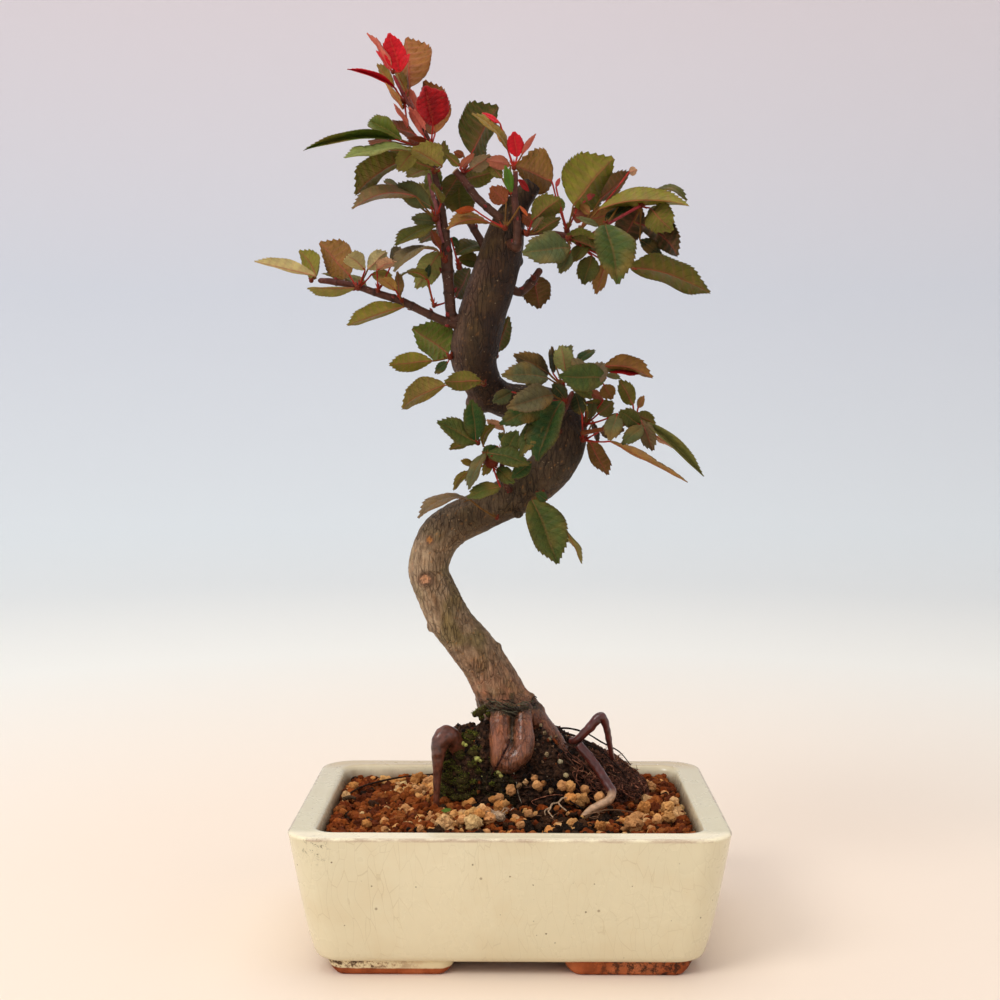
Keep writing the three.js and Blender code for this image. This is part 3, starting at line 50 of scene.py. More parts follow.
def lin(rgb):
    return tuple((c / 255 / 12.92) if c / 255 <= 0.04045 else ((c / 255 + 0.055) / 1.055) ** 2.4 for c in rgb)


def to_m(P):
    P = np.asarray(P, float)
    return P / 1000.0 + np.array([OX, OY, 0.0])


# ---------------------------------------------------------------- mesh helpers
class Geo:
    """Collects vertices (mm, pot frame), faces, colours (linear) and uvs of one piece."""
    def __init__(self):
        self.v, self.f, self.c, self.uv, self.m, self.n = [], [], [], [], [], 0

    def add(self, V, F, C, UV=None, mat=0):
        V = np.asarray(V, float).reshape(-1, 3)
        k = len(V)
        C = np.asarray(C, float)
        if C.ndim == 1:
            C = np.tile(C, (k, 1))
        if UV is None:
            UV = np.zeros((k, 2))
        self.v.append(V); self.c.append(C[:, :3]); self.uv.append(UV)
        for f in F:
            self.f.append(tuple(int(i) + self.n for i in f))
            self.m.append(mat)
        self.n += k

    def build(self, name, mats, smooth=True):
        V = to_m(np.concatenate(self.v)); C = np.concatenate(self.c); UV = np.concatenate(self.uv)
        me = bpy.data.meshes.new(name)
        me.from_pydata(V.tolist(), [], self.f)
        me.update()
        col = me.color_attributes.new("Col", "FLOAT_COLOR", "POINT")
        buf = np.ones((len(V), 4), np.float32); buf[:, :3] = np.clip(C, 0, 1)
        col.data.foreach_set("color", buf.ravel())
        uvl = me.uv_layers.new(name="UVMap")
        li = np.zeros(len(me.loops), np.int32); me.loops.foreach_get("vertex_index", li)
        uvl.data.foreach_set("uv", UV[li].astype(np.float32).ravel())
        for m in mats:
            me.materials.append(m)
        me.polygons.foreach_set("material_index", np.array(self.m, np.int32))
        me.polygons.foreach_set("use_smooth", np.full(len(me.polygons), smooth))
        me.update()
        o = bpy.data.objects.new(name, me)
        bpy.context.scene.collection.objects.link(o)
        return o


def show(o, slot, *nodes):
    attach(o, "root")
    if nodes:
        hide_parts(*nodes)
    return o


def spline(P, step):
    """Centripetal curve through points [x, y, z, r], resampled every step mm."""
    P = np.asarray(P, float)
    if len(P) < 3:
        n = max(2, int(np.linalg.norm(P[-1, :3] - P[0, :3]) / step) + 1)
        return np.linspace(P[0], P[-1], n)
    Q = np.vstack([2 * P[0] - P[1], P, 2 * P[-1] - P[-2]])
    out = []
    for i in range(1, len(Q) - 2):
        a, b, c, d = Q[i - 1], Q[i], Q[i + 1], Q[i + 2]
        n = max(1, int(round(np.linalg.norm(c[:3] - b[:3]) / step)))
        for k in range(n):
            t = k / n
            out.append(0.5 * (2 * b + (c - a) * t + (2 * a - 5 * b + 4 * c - d) * t * t + (3 * b - a - 3 * c + d) * t ** 3))
    out.append(Q[-2])
    return np.array(out)


def frames(P):
    T = np.gradient(P[:, :3], axis=0); T /= np.linalg.norm(T, axis=1)[:, None] + 1e-12
    U = np.zeros_like(T); u = np.array([0.0, 1.0, 0.0]); u -= u.dot(T[0]) * T[0]
    if np.linalg.norm(u) < 0.1:
        u = np.array([1.0, 0, 0]) - T[0][0] * T[0]
    u /= np.linalg.norm(u)
    for i in range(len(T)):
        u = u - u.dot(T[i]) * T[i]; u /= np.linalg.norm(u); U[i] = u
    return T, U, np.cross(T, U)


def tube(geo, pts, col, sides=12, step=0.8, bump=0.0, seed=0, radial=None, colfn=None, cap=None, mat=0, taper_end=False):
    """Round stem or root. colfn(s, point, angle) gives its colour, radial(s, angle) scales its radius."""
    P = spline(pts, step); T, U, W = frames(P); n = len(P)
    if taper_end:
        P = P.copy(); P[-1, 3] *= 0.35; P[-2, 3] *= 0.8
    V, C, UV = [], [], []
    for i in range(n):
        s = i / (n - 1)
        for k in range(sides):
            a = 2 * math.pi * k / sides
            d = U[i] * math.cos(a) + W[i] * math.sin(a)
            r = P[i, 3]
            if bump:
                q = P[i, :3] + d * r
                r *= 1 + bump * noise.noise(Vector((q[0] * .45 + seed * 7.1, q[1] * .45, q[2] * .45)))
            if radial:
                r *= radial(s, a)
            q = P[i, :3] + d * r
            V.append(q); C.append(colfn(s, q, a) if colfn else col); UV.append((k / sides, s))
    F = []
    for i in range(n - 1):
        for k in range(sides):
            j = (k + 1) % sides
            F.append((i * sides + k, i * sides + j, (i + 1) * sides + j, (i + 1) * sides + k))
    V.append(P[0, :3]); C.append(C[0]); UV.append((.5, 0)); V.append(P[-1, :3] + T[-1] * P[-1, 3] * (0.1 if cap is None else 0.0)); C.append(cap if cap is not None else C[-2]); UV.append((.5, 1))
    a0, a1 = n * sides, n * sides + 1
    for k in range(sides):
        j = (k + 1) % sides
        F.append((j, k, a0)); F.append(((n - 1) * sides + k, (n - 1) * sides + j, a1))
    if cap is not None:
        for k in range(sides):
            C[(n - 1) * sides + k] = cap
    geo.add(V, F, np.array([c[:3] for c in C]), np.array(UV), mat)
    return P


def ico(sub):
    t = (1 + 5 ** .5) / 2
    v = [np.array(p, float) for p in [(-1, t, 0), (1, t, 0), (-1, -t, 0), (1, -t, 0), (0, -1, t), (0, 1, t), (0, -1, -t), (0, 1, -t), (t, 0, -1), (t, 0, 1), (-t, 0, -1), (-t, 0, 1)]]
    v = [p / np.linalg.norm(p) for p in v]
    f = [(0, 11, 5), (0, 5, 1), (0, 1, 7), (0, 7, 10), (0, 10, 11), (1, 5, 9), (5, 11, 4), (11, 10, 2), (10, 7, 6), (7, 1, 8), (3, 9, 4), (3, 4, 2), (3, 2, 6), (3, 6, 8), (3, 8, 9), (4, 9, 5), (2, 4, 11), (6, 2, 10), (8, 6, 7), (9, 8, 1)]
    for _ in range(sub):
        mid, g = {}, []
        def m(a, b):
            k = (min(a, b), max(a, b))
            if k not in mid:
                p = v[a] + v[b]; v.append(p / np.linalg.norm(p)); mid[k] = len(v) - 1
            return mid[k]
        for a, b, c in f:
            x, y, z = m(a, b), m(b, c), m(c, a)
            g += [(a, x, z), (b, y, x), (c, z, y), (x, y, z)]
        f = g
    return np.array(v), f


ICO1, ICO1F = ico(1)
ICO2, ICO2F = ico(2)
ICO3, ICO3F = ico(4)


def rot_random(rng):
    q = rng.normal(size=4); q /= np.linalg.norm(q); w, x, y, z = q
    return np.array([[1 - 2 * (y * y + z * z), 2 * (x * y - z * w), 2 * (x * z + y * w)], [2 * (x * y + z * w), 1 - 2 * (x * x + z * z), 2 * (y * z - x * w)], [2 * (x * z - y * w), 2 * (y * z + x * w), 1 - 2 * (x * x + y * y)]])


# ---------------------------------------------------------------- material helpers
class Mat:
    def __init__(self, name):
        self.m = bpy.data.materials.new(name); self.m.use_nodes = True
        self.t = self.m.node_tree; self.t.nodes.clear()
        self.out = self.t.nodes.new("ShaderNodeOutputMaterial")
        self.b = self.t.nodes.new("ShaderNodeBsdfPrincipled")
        self.t.links.new(self.b.outputs[0], self.out.inputs[0])

    def node(self, kind, **kw):
        n = self.t.nodes.new(kind)
        for k, v in kw.items():
            if k.startswith("i_"):
                n.inputs[k[2:].replace("_", " ")].default_value = v
            else:
                setattr(n, k, v)
        return n

    def link(self, a, b):
        self.t.links.new(a, b)

    def coord(self):
        return self.node("ShaderNodeTexCoord").outputs["Object"]

    def mapping(self, src, scale, loc=(0, 0, 0)):
        n = self.node("ShaderNodeMapping"); n.inputs["Scale"].default_value = scale; n.inputs["Location"].default_value = loc
        self.link(src, n.inputs["Vector"]); return n.outputs[0]

    def noise(self, vec, scale, detail=4, rough=.55, dist=0.0):
        n = self.node("ShaderNodeTexNoise"); n.inputs["Scale"].default_value = scale; n.inputs["Detail"].default_value = detail
        n.inputs["Roughness"].default_value = rough; n.inputs["Distortion"].default_value = dist
        self.link(vec, n.inputs["Vector"]); return n.outputs["Fac"]

    def voronoi(self, vec, scale, feature="F1", rand=1.0):
        n = self.node("ShaderNodeTexVoronoi", feature=feature); n.inputs["Scale"].default_value = scale; n.inputs["Randomness"].default_value = rand
        self.link(vec, n.inputs["Vector"]); return n.outputs["Distance"]

    def ramp(self, fac, stops, interp="LINEAR"):
        lo, hi = stops[0][0], stops[-1][0]
        if hi - lo < 0.1:                                 # a narrow band is stretched over the whole ramp
            fac = self.math("MULTIPLY", self.math("SUBTRACT", fac, lo), 1 / (hi - lo), clamp=True)
            stops = [((p - lo) / (hi - lo), c) for p, c in stops]
        n = self.node("ShaderNodeValToRGB"); e = n.color_ramp; e.interpolation = interp
        while len(e.elements) < len(stops):
            e.elements.new(0.5)
        for el, (p, c) in zip(e.elements, stops):
            el.position = p; el.color = (c, c, c, 1) if isinstance(c, (int, float)) else (*c[:3], 1)
        self.link(fac, n.inputs[0]); return n.outputs["Color"]

    def mix(self, fac, a, b, mode="MIX"):
        n = self.node("ShaderNodeMix", data_type="RGBA", blend_type=mode)
        for s, x in ((n.inputs[0], fac), (n.inputs[6], a), (n.inputs[7], b)):
            if hasattr(x, "is_output"):
                self.link(x, s)
            elif isinstance(x, (int, float)):
                s.default_value = x if s.type == "VALUE" else (x, x, x, 1)
            else:
                s.default_value = (*x[:3], 1)
        return n.outputs[2]

    def math(self, op, a, b=0.0, c=None, clamp=False):
        n = self.node("ShaderNodeMath", operation=op, use_clamp=clamp)
        for s, x in zip(n.inputs, (a, b, c)):
            if x is None:
                continue
            if hasattr(x, "is_output"):
                self.link(x, s)
            else:
                s.default_value = x
        return n.outputs[0]

    def xyz(self, vec):
        n = self.node("ShaderNodeSeparateXYZ"); self.link(vec, n.inputs[0]); return n.outputs

    def attr(self, name="Col"):
        n = self.node("ShaderNodeVertexColor", layer_name=name); return n.outputs["Color"]

    def bump(self, height, strength=.5, dist=.001, normal=None):
        n = self.node("ShaderNodeBump"); n.inputs["Strength"].default_value = strength; n.inputs["Distance"].default_value = dist
        self.link(height, n.inputs["Height"])
        if normal is not None:
            self.link(normal, n.inputs["Normal"])
        return n.outputs[0]

    def set(self, **kw):
        for k, v in kw.items():
            s = self.b.inputs[k.replace("_", " ")]
            if hasattr(v, "is_output"):
                self.link(v, s)
            elif isinstance(v, tuple) and len(v) == 3 and s.type == "RGBA":
                s.default_value = (*v, 1)
            else:
                s.default_value = v
        return self



# ---------------------------------------------------------------- the tree in millimetres about the pot: [x, y, z, radius] along each stem
STEMS = {
    "trunk": [[-0.95, 20.5, 59.05, 12.57], [-0.95, 20, 68.59, 12.14], [-2.16, 19, 84.73, 10.49], [-8.59, 17.5, 99.22, 9.25], [-14.97, 16, 108.75, 8.82], [-23.32, 15, 119.77, 8.59], [-28.04, 14, 130.33, 8.17], [-31.61, 14, 139.13, 7.97], [-31.19, 14, 145.93, 8.16], [-27.99, 14, 153.52, 8.35], [-22.01, 14, 158.71, 8.15], [-14.04, 13.5, 162.73, 8.14], [-4.91, 13, 167.14, 7.93], [3.81, 12, 171.56, 8.3], [11.69, 11, 177.15, 8.68], [17.96, 10, 184.28, 8.66], [21.48, 10, 192.14, 8.45], [21.91, 11.5, 198.02, 7.88], [19.6, 14, 203.14, 7.51], [13.73, 17, 205.93, 7.15], [5.79, 19, 207.14, 6.98], [-2.19, 19, 207.94, 6.98], [-8.14, 17.5, 211.1, 7.16], [-12.05, 15, 216.58, 7.92], [-14.36, 13, 223.61, 9.07], [-13.54, 12, 231.4, 9.44], [-11.16, 11.5, 241.15, 9.22], [-8.01, 11, 250.85, 9.21], [-5.25, 10, 259.31, 8.79], [-2.9, 9, 268.1, 7.99], [-0.95, 8, 275.7, 6.61], [2.55, 7.5, 282.94, 4.85], [6.03, 7, 287.85, 4.07], [8.74, 7, 291.68, 3.68]],
    "stem_tall_left": [[-22.88, 10, 239.88, 2.19], [-23.97, 8.5, 250.65, 2.15], [-24.53, 7.5, 259.47, 2.41], [-25.03, 7, 267.52, 2.14], [-25.77, 6.5, 275.54, 1.55], [-27.3, 6.5, 285.15, 1.36], [-28.83, 6.5, 292.82, 1.16], [-29.98, 6.5, 298.57, 0.97], [-30.73, 6.5, 306.22, 0.85], [-36.47, 6, 316.82, 0.77], [-39.96, 6.5, 323.03, 0.7], [-43.42, 6.5, 329.51, 0.69], [-45.14, 6.5, 332.94, 0.62]],
    "stem_tall_second": [[-26.27, 4.6, 268.4, 0.77], [-27.82, 5, 275.35, 0.85], [-28.64, 5.4, 282.31, 0.81], [-29.95, 5.4, 286.53, 0.77], [-30.71, 5.4, 289.97, 0.77], [-31.66, 5.4, 295.33, 0.73]],
    "stem_left_branch": [[-24.8, 9, 238.26, 1.8], [-33.66, 7, 242.02, 1.6], [-42.57, 6.4, 246.24, 1.52], [-51.47, 6, 249.12, 1.44], [-60.41, 6, 252.02, 1.4], [-69.35, 6, 253.77, 1.24], [-74.8, 6, 254.16, 1.01]],
    "stem_upper_left": [[-4, 3, 277.73, 1.62], [-12.11, 4, 284.76, 1.54], [-15.21, 4.5, 288.66, 1.47], [-18.85, 5, 293.33, 1.39], [-21.41, 5.2, 296.19, 1.31]],
    "stem_leader": [[2.56, -1.4, 266.52, 1.91], [2.55, -2.6, 275.09, 1.53], [1.59, -3.6, 284.77, 1.22], [1.78, -4.2, 290.32, 1.14], [1.97, -4.4, 294.42, 0.91]],
    "stem_back_branch": [[-8.52, 17.5, 265.56, 1.66], [-12.89, 18.6, 272.76, 1.58], [-16.07, 19, 278.31, 1.55], [-17.65, 19, 282.24, 1.43]],
    "stem_right": [[6.38, -1.2, 271.47, 1.07], [12.13, -0.6, 271.73, 1.03], [17.51, 0, 271.38, 1.04], [21.34, 0, 270.46, 1.3]],
    "stem_right_outer": [[20.96, 0, 270.46, 0.92], [24.01, -0.4, 269.84, 0.77], [29.74, -0.6, 270.38, 0.65], [35.82, -1, 273.92, 0.61], [42.68, -1, 277.89, 0.57], [49.95, -0.6, 281.91, 0.54]],
    "stem_right_low": [[3.75, 12.5, 250.19, 1.65], [7.68, 14, 253.44, 1.57], [12, 14, 259.49, 1.42]],
    "stem_mid": [[17.64, -0.8, 196.94, 1.08], [19.9, -2.2, 202.33, 1], [21.79, -3, 206.16, 1], [24.05, -3.6, 211.12, 0.92]],
    "stem_spur_low": [[-1.26, 1.2, 174.05, 1.09], [-3.18, -1, 180.34, 1], [-2.94, -1.6, 184.42, 0.93]],
    "root_left_knee": [[-19.13, 8, 72.45, 3.97], [-24.12, 4.6, 78.37, 3.86], [-27.17, 2.6, 79.39, 3.69], [-30.04, 1, 76.75, 3.29], [-30.81, 0.6, 72.88, 2.74], [-30.03, 0.4, 66.98, 2.19], [-29.52, 0.2, 61.08, 1.96], [-29.45, 0, 55.18, 1.72]],
    "root_right_loop": [[24.01, 6, 73.4, 1.82], [26.08, 3.6, 74.34, 1.85], [30.9, 2, 79.26, 1.88], [35.19, 2, 83.82, 1.88], [37.64, 3.4, 79.97, 1.89], [39.81, 6, 70.65, 1.82]],
    "root_right_low": [[26.77, 1.2, 72.89, 1.8], [29.66, 0, 69.81, 1.84], [34.26, -2, 64.17, 1.87], [37.65, -4.4, 58.86, 1.86], [39.46, -6.5, 56.06, 1.78], [37.55, -9.5, 53.51, 1.69], [31.41, -13, 51.31, 1.53], [28.04, -15, 48.75, 1.37]],
}

# each spray: bud, its radius, a shoot if it has one, and its leaves: base, tip, left and right half directions, bow direction, blade normal, half width, bow, colour, side in view
SPRAYS = {
    "leaf_bud_tall_tip": ((-45.25, 5.6, 333.88), 1, [], [
        ((-46.06, 6, 334.35), (-54.85, 2, 347.39), (0.549, -0.828, 0.116), (-0.128, 0.969, 0.211), (0.763, 0.256, 0.593), (0.763, 0.256, 0.593), 4.38, 0.05, "pinkish", "U"),
        ((-46.06, 6, 334.73), (-52, 8, 342.45), (0.334, -0.818, 0.469), (0.103, 0.979, -0.174), (0.793, 0.293, 0.535), (0.793, 0.293, 0.535), 2.68, 0, "crimson", "U"),
        ((-42.51, 5, 333.73), (-46.6, 4, 348.26), (-0.917, -0.287, -0.278), (0.933, -0.263, 0.245), (0.03, -0.998, -0.06), (0.03, -0.998, -0.06), 4.23, 0, "crimson", "T"),
        ((-42.04, 4, 333.88), (-38.42, 2, 339.82), (-0.768, 0.296, 0.568), (0.439, -0.735, -0.516), (-0.596, -0.798, 0.095), (-0.596, -0.798, 0.095), 1.95, 0.1, "crimson", "T"),
    ]),
    "leaf_spray_tall_top": ((-41.17, 8.7, 323.42), 1.4, [], [
        ((-39.18, 12, 329.57), (-41.56, 24, 351.38), (-0.312, 0.825, -0.471), (0.979, -0.12, 0.167), (-0.656, -0.693, 0.299), (0.656, 0.693, -0.299), 10.43, 0, "bronze", "U"),
        ((-44.79, 9, 328.54), (-62.81, 4, 334.5), (0.156, -0.936, -0.315), (0.336, -0.907, 0.255), (0.277, 0.136, 0.951), (0.258, -0.966, -0.031), 3.816, 0.06, "crimson", "T"),
        ((-45.25, 10, 329.15), (-52.2, 14, 338.52), (0.483, -0.618, 0.621), (-0.054, 0.903, -0.425), (0.778, 0.519, 0.355), (0.778, 0.519, 0.355), 3.33, 0, "yellowolive", "U"),
        ((-40.74, 12, 327.65), (-45.88, 18, 339.05), (0.551, -0.61, 0.569), (-0.071, 0.869, -0.49), (0.871, 0.47, 0.145), (0.871, 0.47, 0.145), 3.74, 0, "yellowolive", "U"),
        ((-35.05, 8, 318.75), (-40.74, 12, 328.42), (0.572, -0.582, 0.578), (-0.132, 0.886, -0.444), (0.798, 0.552, 0.242), (0.798, 0.552, 0.242), 3.22, 0, "dustypink", "U"),
        ((-41.63, 8, 320.29), (-48.01, 6, 329.41), (0.522, -0.833, 0.182), (-0.103, 0.984, 0.144), (0.759, 0.274, 0.591), (0.759, 0.274, 0.591), 3.05, 0, "tan", "U"),
        ((-39.6, 6.4, 312.71), (-44.19, -1, 320.15), (0.723, -0.658, -0.209), (-0.315, 0.763, 0.565), (0.74, 0.19, 0.645), (0.74, 0.19, 0.645), 3.09, 0, "pinkish", "U"),
    ]),
    "leaf_spray_tall_red": ((-30.57, 3.6, 304.93), 1.2, [], [
        ((-29.58, -2, 311.83), (-32.6, -6, 325.97), (-0.253, -0.915, -0.313), (0.946, 0.196, 0.258), (0.693, -0.719, -0.055), (0.693, -0.719, -0.055), 9.28, 0, "deepred", "T"),
        ((-29.47, 12, 311.84), (-34.21, 20, 333.65), (-0.385, 0.836, -0.39), (0.973, -0.044, 0.227), (-0.588, -0.793, 0.163), (0.588, 0.793, -0.163), 8.81, 0, "bronze", "U"),
        ((-31.9, 6.6, 306.24), (-39.15, 0, 307.7), (0.592, -0.512, 0.623), (-0.681, 0.722, -0.121), (-0.163, 0.381, 0.91), (-0.163, 0.381, 0.91), 2.68, 0, "rust", "U"),
        ((-33.4, 6, 309.57), (-38.87, 2, 319.44), (0.881, -0.295, 0.369), (-0.648, 0.76, -0.051), (0.383, 0.762, 0.522), (0.383, 0.762, 0.522), 2.6, 0.0757207, "pinkish", "U"),
    ]),
    "leaf_spray_tall_left": ((-33.16, 8.2, 306.15), 1.2, [], [
        ((-44.54, 5, 308.08), (-78.54, -6, 301.87), (0.335, -0.916, -0.221), (0.268, -0.941, 0.207), (-0.172, 0.002, 0.985), (0.309, -0.951, -0.007), 8.313, 0.07, "grassolive", "T"),
        ((-42.07, 8, 308.43), (-55.63, 20, 318.1), (-0.717, -0.676, -0.167), (0.042, -0.598, 0.801), (-0.429, -0.809, 0.402), (-0.429, -0.809, 0.402), 5.54, 0.05, "grassolive", "T"),
        ((-37.29, 12, 311.48), (-47.89, 22, 316.91), (-0.141, -0.584, 0.799), (0.5, 0.758, -0.419), (0.651, 0.315, 0.69), (0.651, 0.315, 0.69), 4.2, 0, "rust", "U"),
        ((-45.5, 12, 308.41), (-55.87, 26, 309.41), (-0.714, -0.559, 0.42), (0.802, 0.585, 0.123), (0.158, 0.046, 0.986), (0.158, 0.046, 0.986), 4.71, 0, "rust", "U"),
        ((-37.25, 0, 303.16), (-61.7, -14, 297.77), (0.508, -0.858, -0.079), (-0.496, 0.641, 0.585), (-0.188, -0.049, 0.981), (0.022, -0.393, 0.919), 7.75, 0.04, "sage", "T"),
        ((-41.02, 4, 300.07), (-59.18, 0, 286.16), (-0.129, 0.985, -0.115), (-0.513, -0.368, 0.775), (-0.599, -0.06, 0.799), (-0.579, 0.557, 0.596), 8.4672, 0.08, "olive", "U"),
        ((-29.01, 10, 298), (-26.06, 14, 309.12), (0.97, -0.09, -0.225), (-0.785, 0.619, -0.015), (0.303, 0.868, -0.393), (0.303, 0.868, -0.393), 3, 0.0678332, "olive", "U"),
        ((-38.97, 8, 304.59), (-51.2, 14, 301.42), (-0.485, -0.756, 0.44), (0.405, 0.902, 0.146), (-0.131, 0.241, 0.962), (-0.131, 0.241, 0.962), 4, 0.0313746, "olive", "U"),
        ((-35.34, 0, 303.92), (-42.71, -4, 294.95), (-0.722, -0.172, 0.67), (0.388, 0.68, -0.622), (-0.548, 0.833, 0.079), (-0.548, 0.833, 0.079), 4, 0.089784, "khaki", "U"),
    ]),
    "leaf_spray_tall_second": ((-29.44, 3.6, 295.41), 1.1, [], [
        ((-26.07, -2, 296.75), (-36.93, -10, 301.75), (-0.58, 0.813, 0.04), (0.554, -0.258, 0.791), (-0.026, 0.555, 0.831), (-0.026, 0.555, 0.831), 6.57, 0.05, "khaki", "U"),
        ((-29.85, 4.15, 297.03), (-40.4, 1, 300.32), (0.381, -0.411, 0.829), (-0.381, 0.809, -0.448), (-0, 0.723, 0.691), (-0, 0.723, 0.691), 3.1, 0, "olive", "U"),
        ((-32.13, 10, 298.01), (-41.06, 20, 296.16), (-0.637, -0.454, 0.623), (0.751, 0.649, -0.121), (0.208, 0.354, 0.912), (0.208, 0.354, 0.912), 3.66, 0, "khaki", "U"),
        ((-27.24, 6, 296.57), (-33.32, 10, 290.3), (-0.539, 0.369, 0.757), (0.762, 0.182, -0.622), (0.365, 0.904, 0.223), (0.365, 0.904, 0.223), 3.4, 0.0626712, "sage", "U"),
    ]),
    "leaf_spray_tall_mid": ((-28.8, 3.05, 277.51), 1.56, [], [
        ((-36.16, 0, 285.47), (-59.04, -12, 279.1), (-0.422, 0.892, -0.16), (-0.506, 0.665, 0.549), (-0.242, -0.068, 0.968), (-0.501, 0.84, 0.21), 7.2, 0.13, "mauvetan", "U"),
        ((-43.23, 12, 290.62), (-50.02, 18, 293.9), (-0.071, -0.539, 0.84), (0.434, 0.758, -0.488), (0.659, 0.397, 0.639), (0.659, 0.397, 0.639), 2.6, 0, "greygreen", "U"),
        ((-29.83, 10, 282.18), (-36.18, 18, 293.09), (0.512, -0.523, 0.682), (-0.039, 0.795, -0.606), (0.859, 0.494, 0.138), (0.859, 0.494, 0.138), 4.03, 0, "khaki", "U"),
        ((-26.77, 3.7, 283.6), (-29.29, -6, 289.34), (0.891, -0.379, -0.249), (-0.545, 0.528, 0.651), (0.628, 0.27, 0.73), (0.628, 0.27, 0.73), 3.12, 0, "olive", "U"),
        ((-28.74, 4, 274.84), (-43.26, -8, 266.01), (0.647, -0.762, -0.028), (-0.711, 0.49, 0.503), (-0.358, -0.232, 0.904), (-0.117, -0.493, 0.862), 5.62, 0.05, "darkolive", "T"),
        ((-28.46, 6.15, 276.65), (-38.22, 7, 278.32), (-0.179, -0.158, -0.971), (0.122, -0.387, 0.914), (-0.104, -0.989, -0.104), (-0.104, -0.989, -0.104), 2.72, 0.1, "greygreen", "T"),
        ((-28.72, 10.8, 274.16), (-35.72, 22, 270.43), (-0.843, -0.411, 0.348), (0.806, 0.564, 0.181), (-0.067, 0.277, 0.958), (-0.067, 0.277, 0.958), 3.7, 0, "greygreen", "U"),
        ((-30.65, 4, 282.12), (-43.84, 10, 291.86), (-0.648, -0.264, -0.714), (0.471, -0.308, 0.827), (-0.291, -0.939, 0.184), (-0.291, -0.939, 0.184), 4.3, 0.0766191, "greygreen", "T"),
    ]),
    "leaf_spray_tall_node": ((-25.24, 3, 261.7), 1.4, [], [
        ((-27.21, 4, 266.03), (-30.44, 0, 272.81), (0.883, -0.44, 0.161), (-0.603, 0.779, 0.172), (0.508, 0.614, 0.604), (0.508, 0.614, 0.604), 2.3, 0, "rust", "U"),
        ((-28.27, 2, 265.42), (-43.51, -10, 255.86), (0.588, -0.806, 0.074), (-0.709, 0.573, 0.411), (-0.378, -0.233, 0.896), (-0.22, -0.422, 0.88), 5.84, 0.18, "mauve", "T"),
        ((-27.42, 7.9, 265.31), (-37.22, 14, 251.92), (-0.761, 0.157, 0.629), (0.824, 0.357, -0.441), (0.113, 0.933, 0.342), (0.113, 0.933, 0.342), 4.77, 0, "sage", "U"),
    ]),
    "leaf_pair_left_inner": ((-29.62, 4.6, 244.16), 0.9, [], [
        ((-31.77, 2, 253.94), (-41.18, -6, 254.73), (0.578, -0.629, 0.521), (-0.647, 0.762, 0.009), (-0.126, 0.243, 0.962), (-0.126, 0.243, 0.962), 3.34, 0.2, "olive", "U"),
        ((-32.15, 2, 253.94), (-31.6, 6, 260.09), (-0.93, 0.34, -0.138), (0.599, -0.695, 0.398), (-0.601, -0.644, 0.473), (-0.601, -0.644, 0.473), 1.99, 0, "deepgreen", "T"),
        ((-21.52, 15.4, 248.49), (-16.44, 30, 260.91), (0.326, 0.544, -0.773), (-0.759, -0.248, 0.602), (0.785, -0.537, 0.31), (-0.785, 0.537, -0.31), 5.35, 0, "darkolive", "U"),
    ]),
    "leaf_spray_tall_right": ((-20.03, 10, 259.63), 1.35, [], [
        ((-21.38, 12.7, 264.66), (-10.68, 26, 269.67), (-0.662, 0.269, 0.7), (0.798, -0.55, -0.245), (0.247, -0.51, 0.824), (0.247, -0.51, 0.824), 4.8, 0.1, "darkolive", "T"),
        ((-23.13, 8.2, 270.74), (-20.25, 14, 267.92), (0.442, 0.204, 0.873), (0.048, -0.456, -0.889), (0.889, -0.456, -0.028), (0.889, -0.456, -0.028), 1.91, 0, "deepgreen", "T"),
        ((-20.65, 14, 263.24), (-12.14, 20, 262.68), (0.137, -0.102, 0.985), (0.215, -0.388, -0.896), (0.577, -0.804, 0.146), (0.577, -0.804, 0.146), 3.2, 0.0683844, "darkolive", "T"),
    ]),
    "leaf_spray_upper_left": ((-18.04, 8.2, 296.14), 1.4, [], [
        ((-20.6, 14, 293.61), (-19.74, 22, 281.86), (0.977, -0.204, -0.067), (-0.937, -0.252, -0.24), (-0.071, 0.827, 0.558), (0.071, -0.827, -0.558), 6.52, 0, "darkolive", "T"),
        ((-15.25, 10, 303.4), (-4.89, 18, 323.2), (-0.778, -0.293, 0.556), (0.025, 0.926, -0.376), (-0.753, 0.633, 0.179), (-0.753, 0.633, 0.179), 12.0736, 0.03, "darkolive", "U"),
        ((-18.16, 12, 302.95), (-22.15, 14, 304.85), (0.472, 0.106, 0.875), (-0.231, 0.389, -0.892), (0.437, 0.899, -0.03), (0.437, 0.899, -0.03), 1.56, 0, "rust", "U"),
        ((-17.31, 9.4, 293.26), (-4.96, 18, 298.5), (0.124, 0.381, -0.916), (-0.434, 0.075, 0.898), (-0.562, 0.827, -0.033), (-0.562, 0.827, -0.033), 4.31, 0.2, "olive", "U"),
        ((-19.12, -4, 295.65), (-13.74, -6, 300.55), (0.395, 0.917, -0.06), (-0.642, -0.619, 0.453), (-0.447, 0.54, 0.713), (-0.447, 0.54, 0.713), 2.04, 0, "dustypink", "U"),
        ((-19.27, 0, 297.08), (-24.72, 2, 301.98), (0.568, -0.315, 0.76), (-0.268, 0.75, -0.604), (0.544, 0.79, 0.283), (0.544, 0.79, 0.283), 2.05, 0, "olive", "U"),
        ((-19.58, 8, 295.35), (-25.62, 12, 287.11), (-0.785, -0.533, 0.316), (0.473, 0.877, 0.079), (-0.511, 0.565, 0.648), (-0.511, 0.565, 0.648), 5.2, 0.0233672, "darkolive", "U"),
        ((-15.61, 5, 296.38), (-7.95, 9, 302.79), (0.552, 0.228, -0.802), (-0.702, 0.337, 0.628), (-0.245, 0.926, -0.286), (-0.245, 0.926, -0.286), 3.3, 0.0692947, "mauvetan", "U"),
    ]),
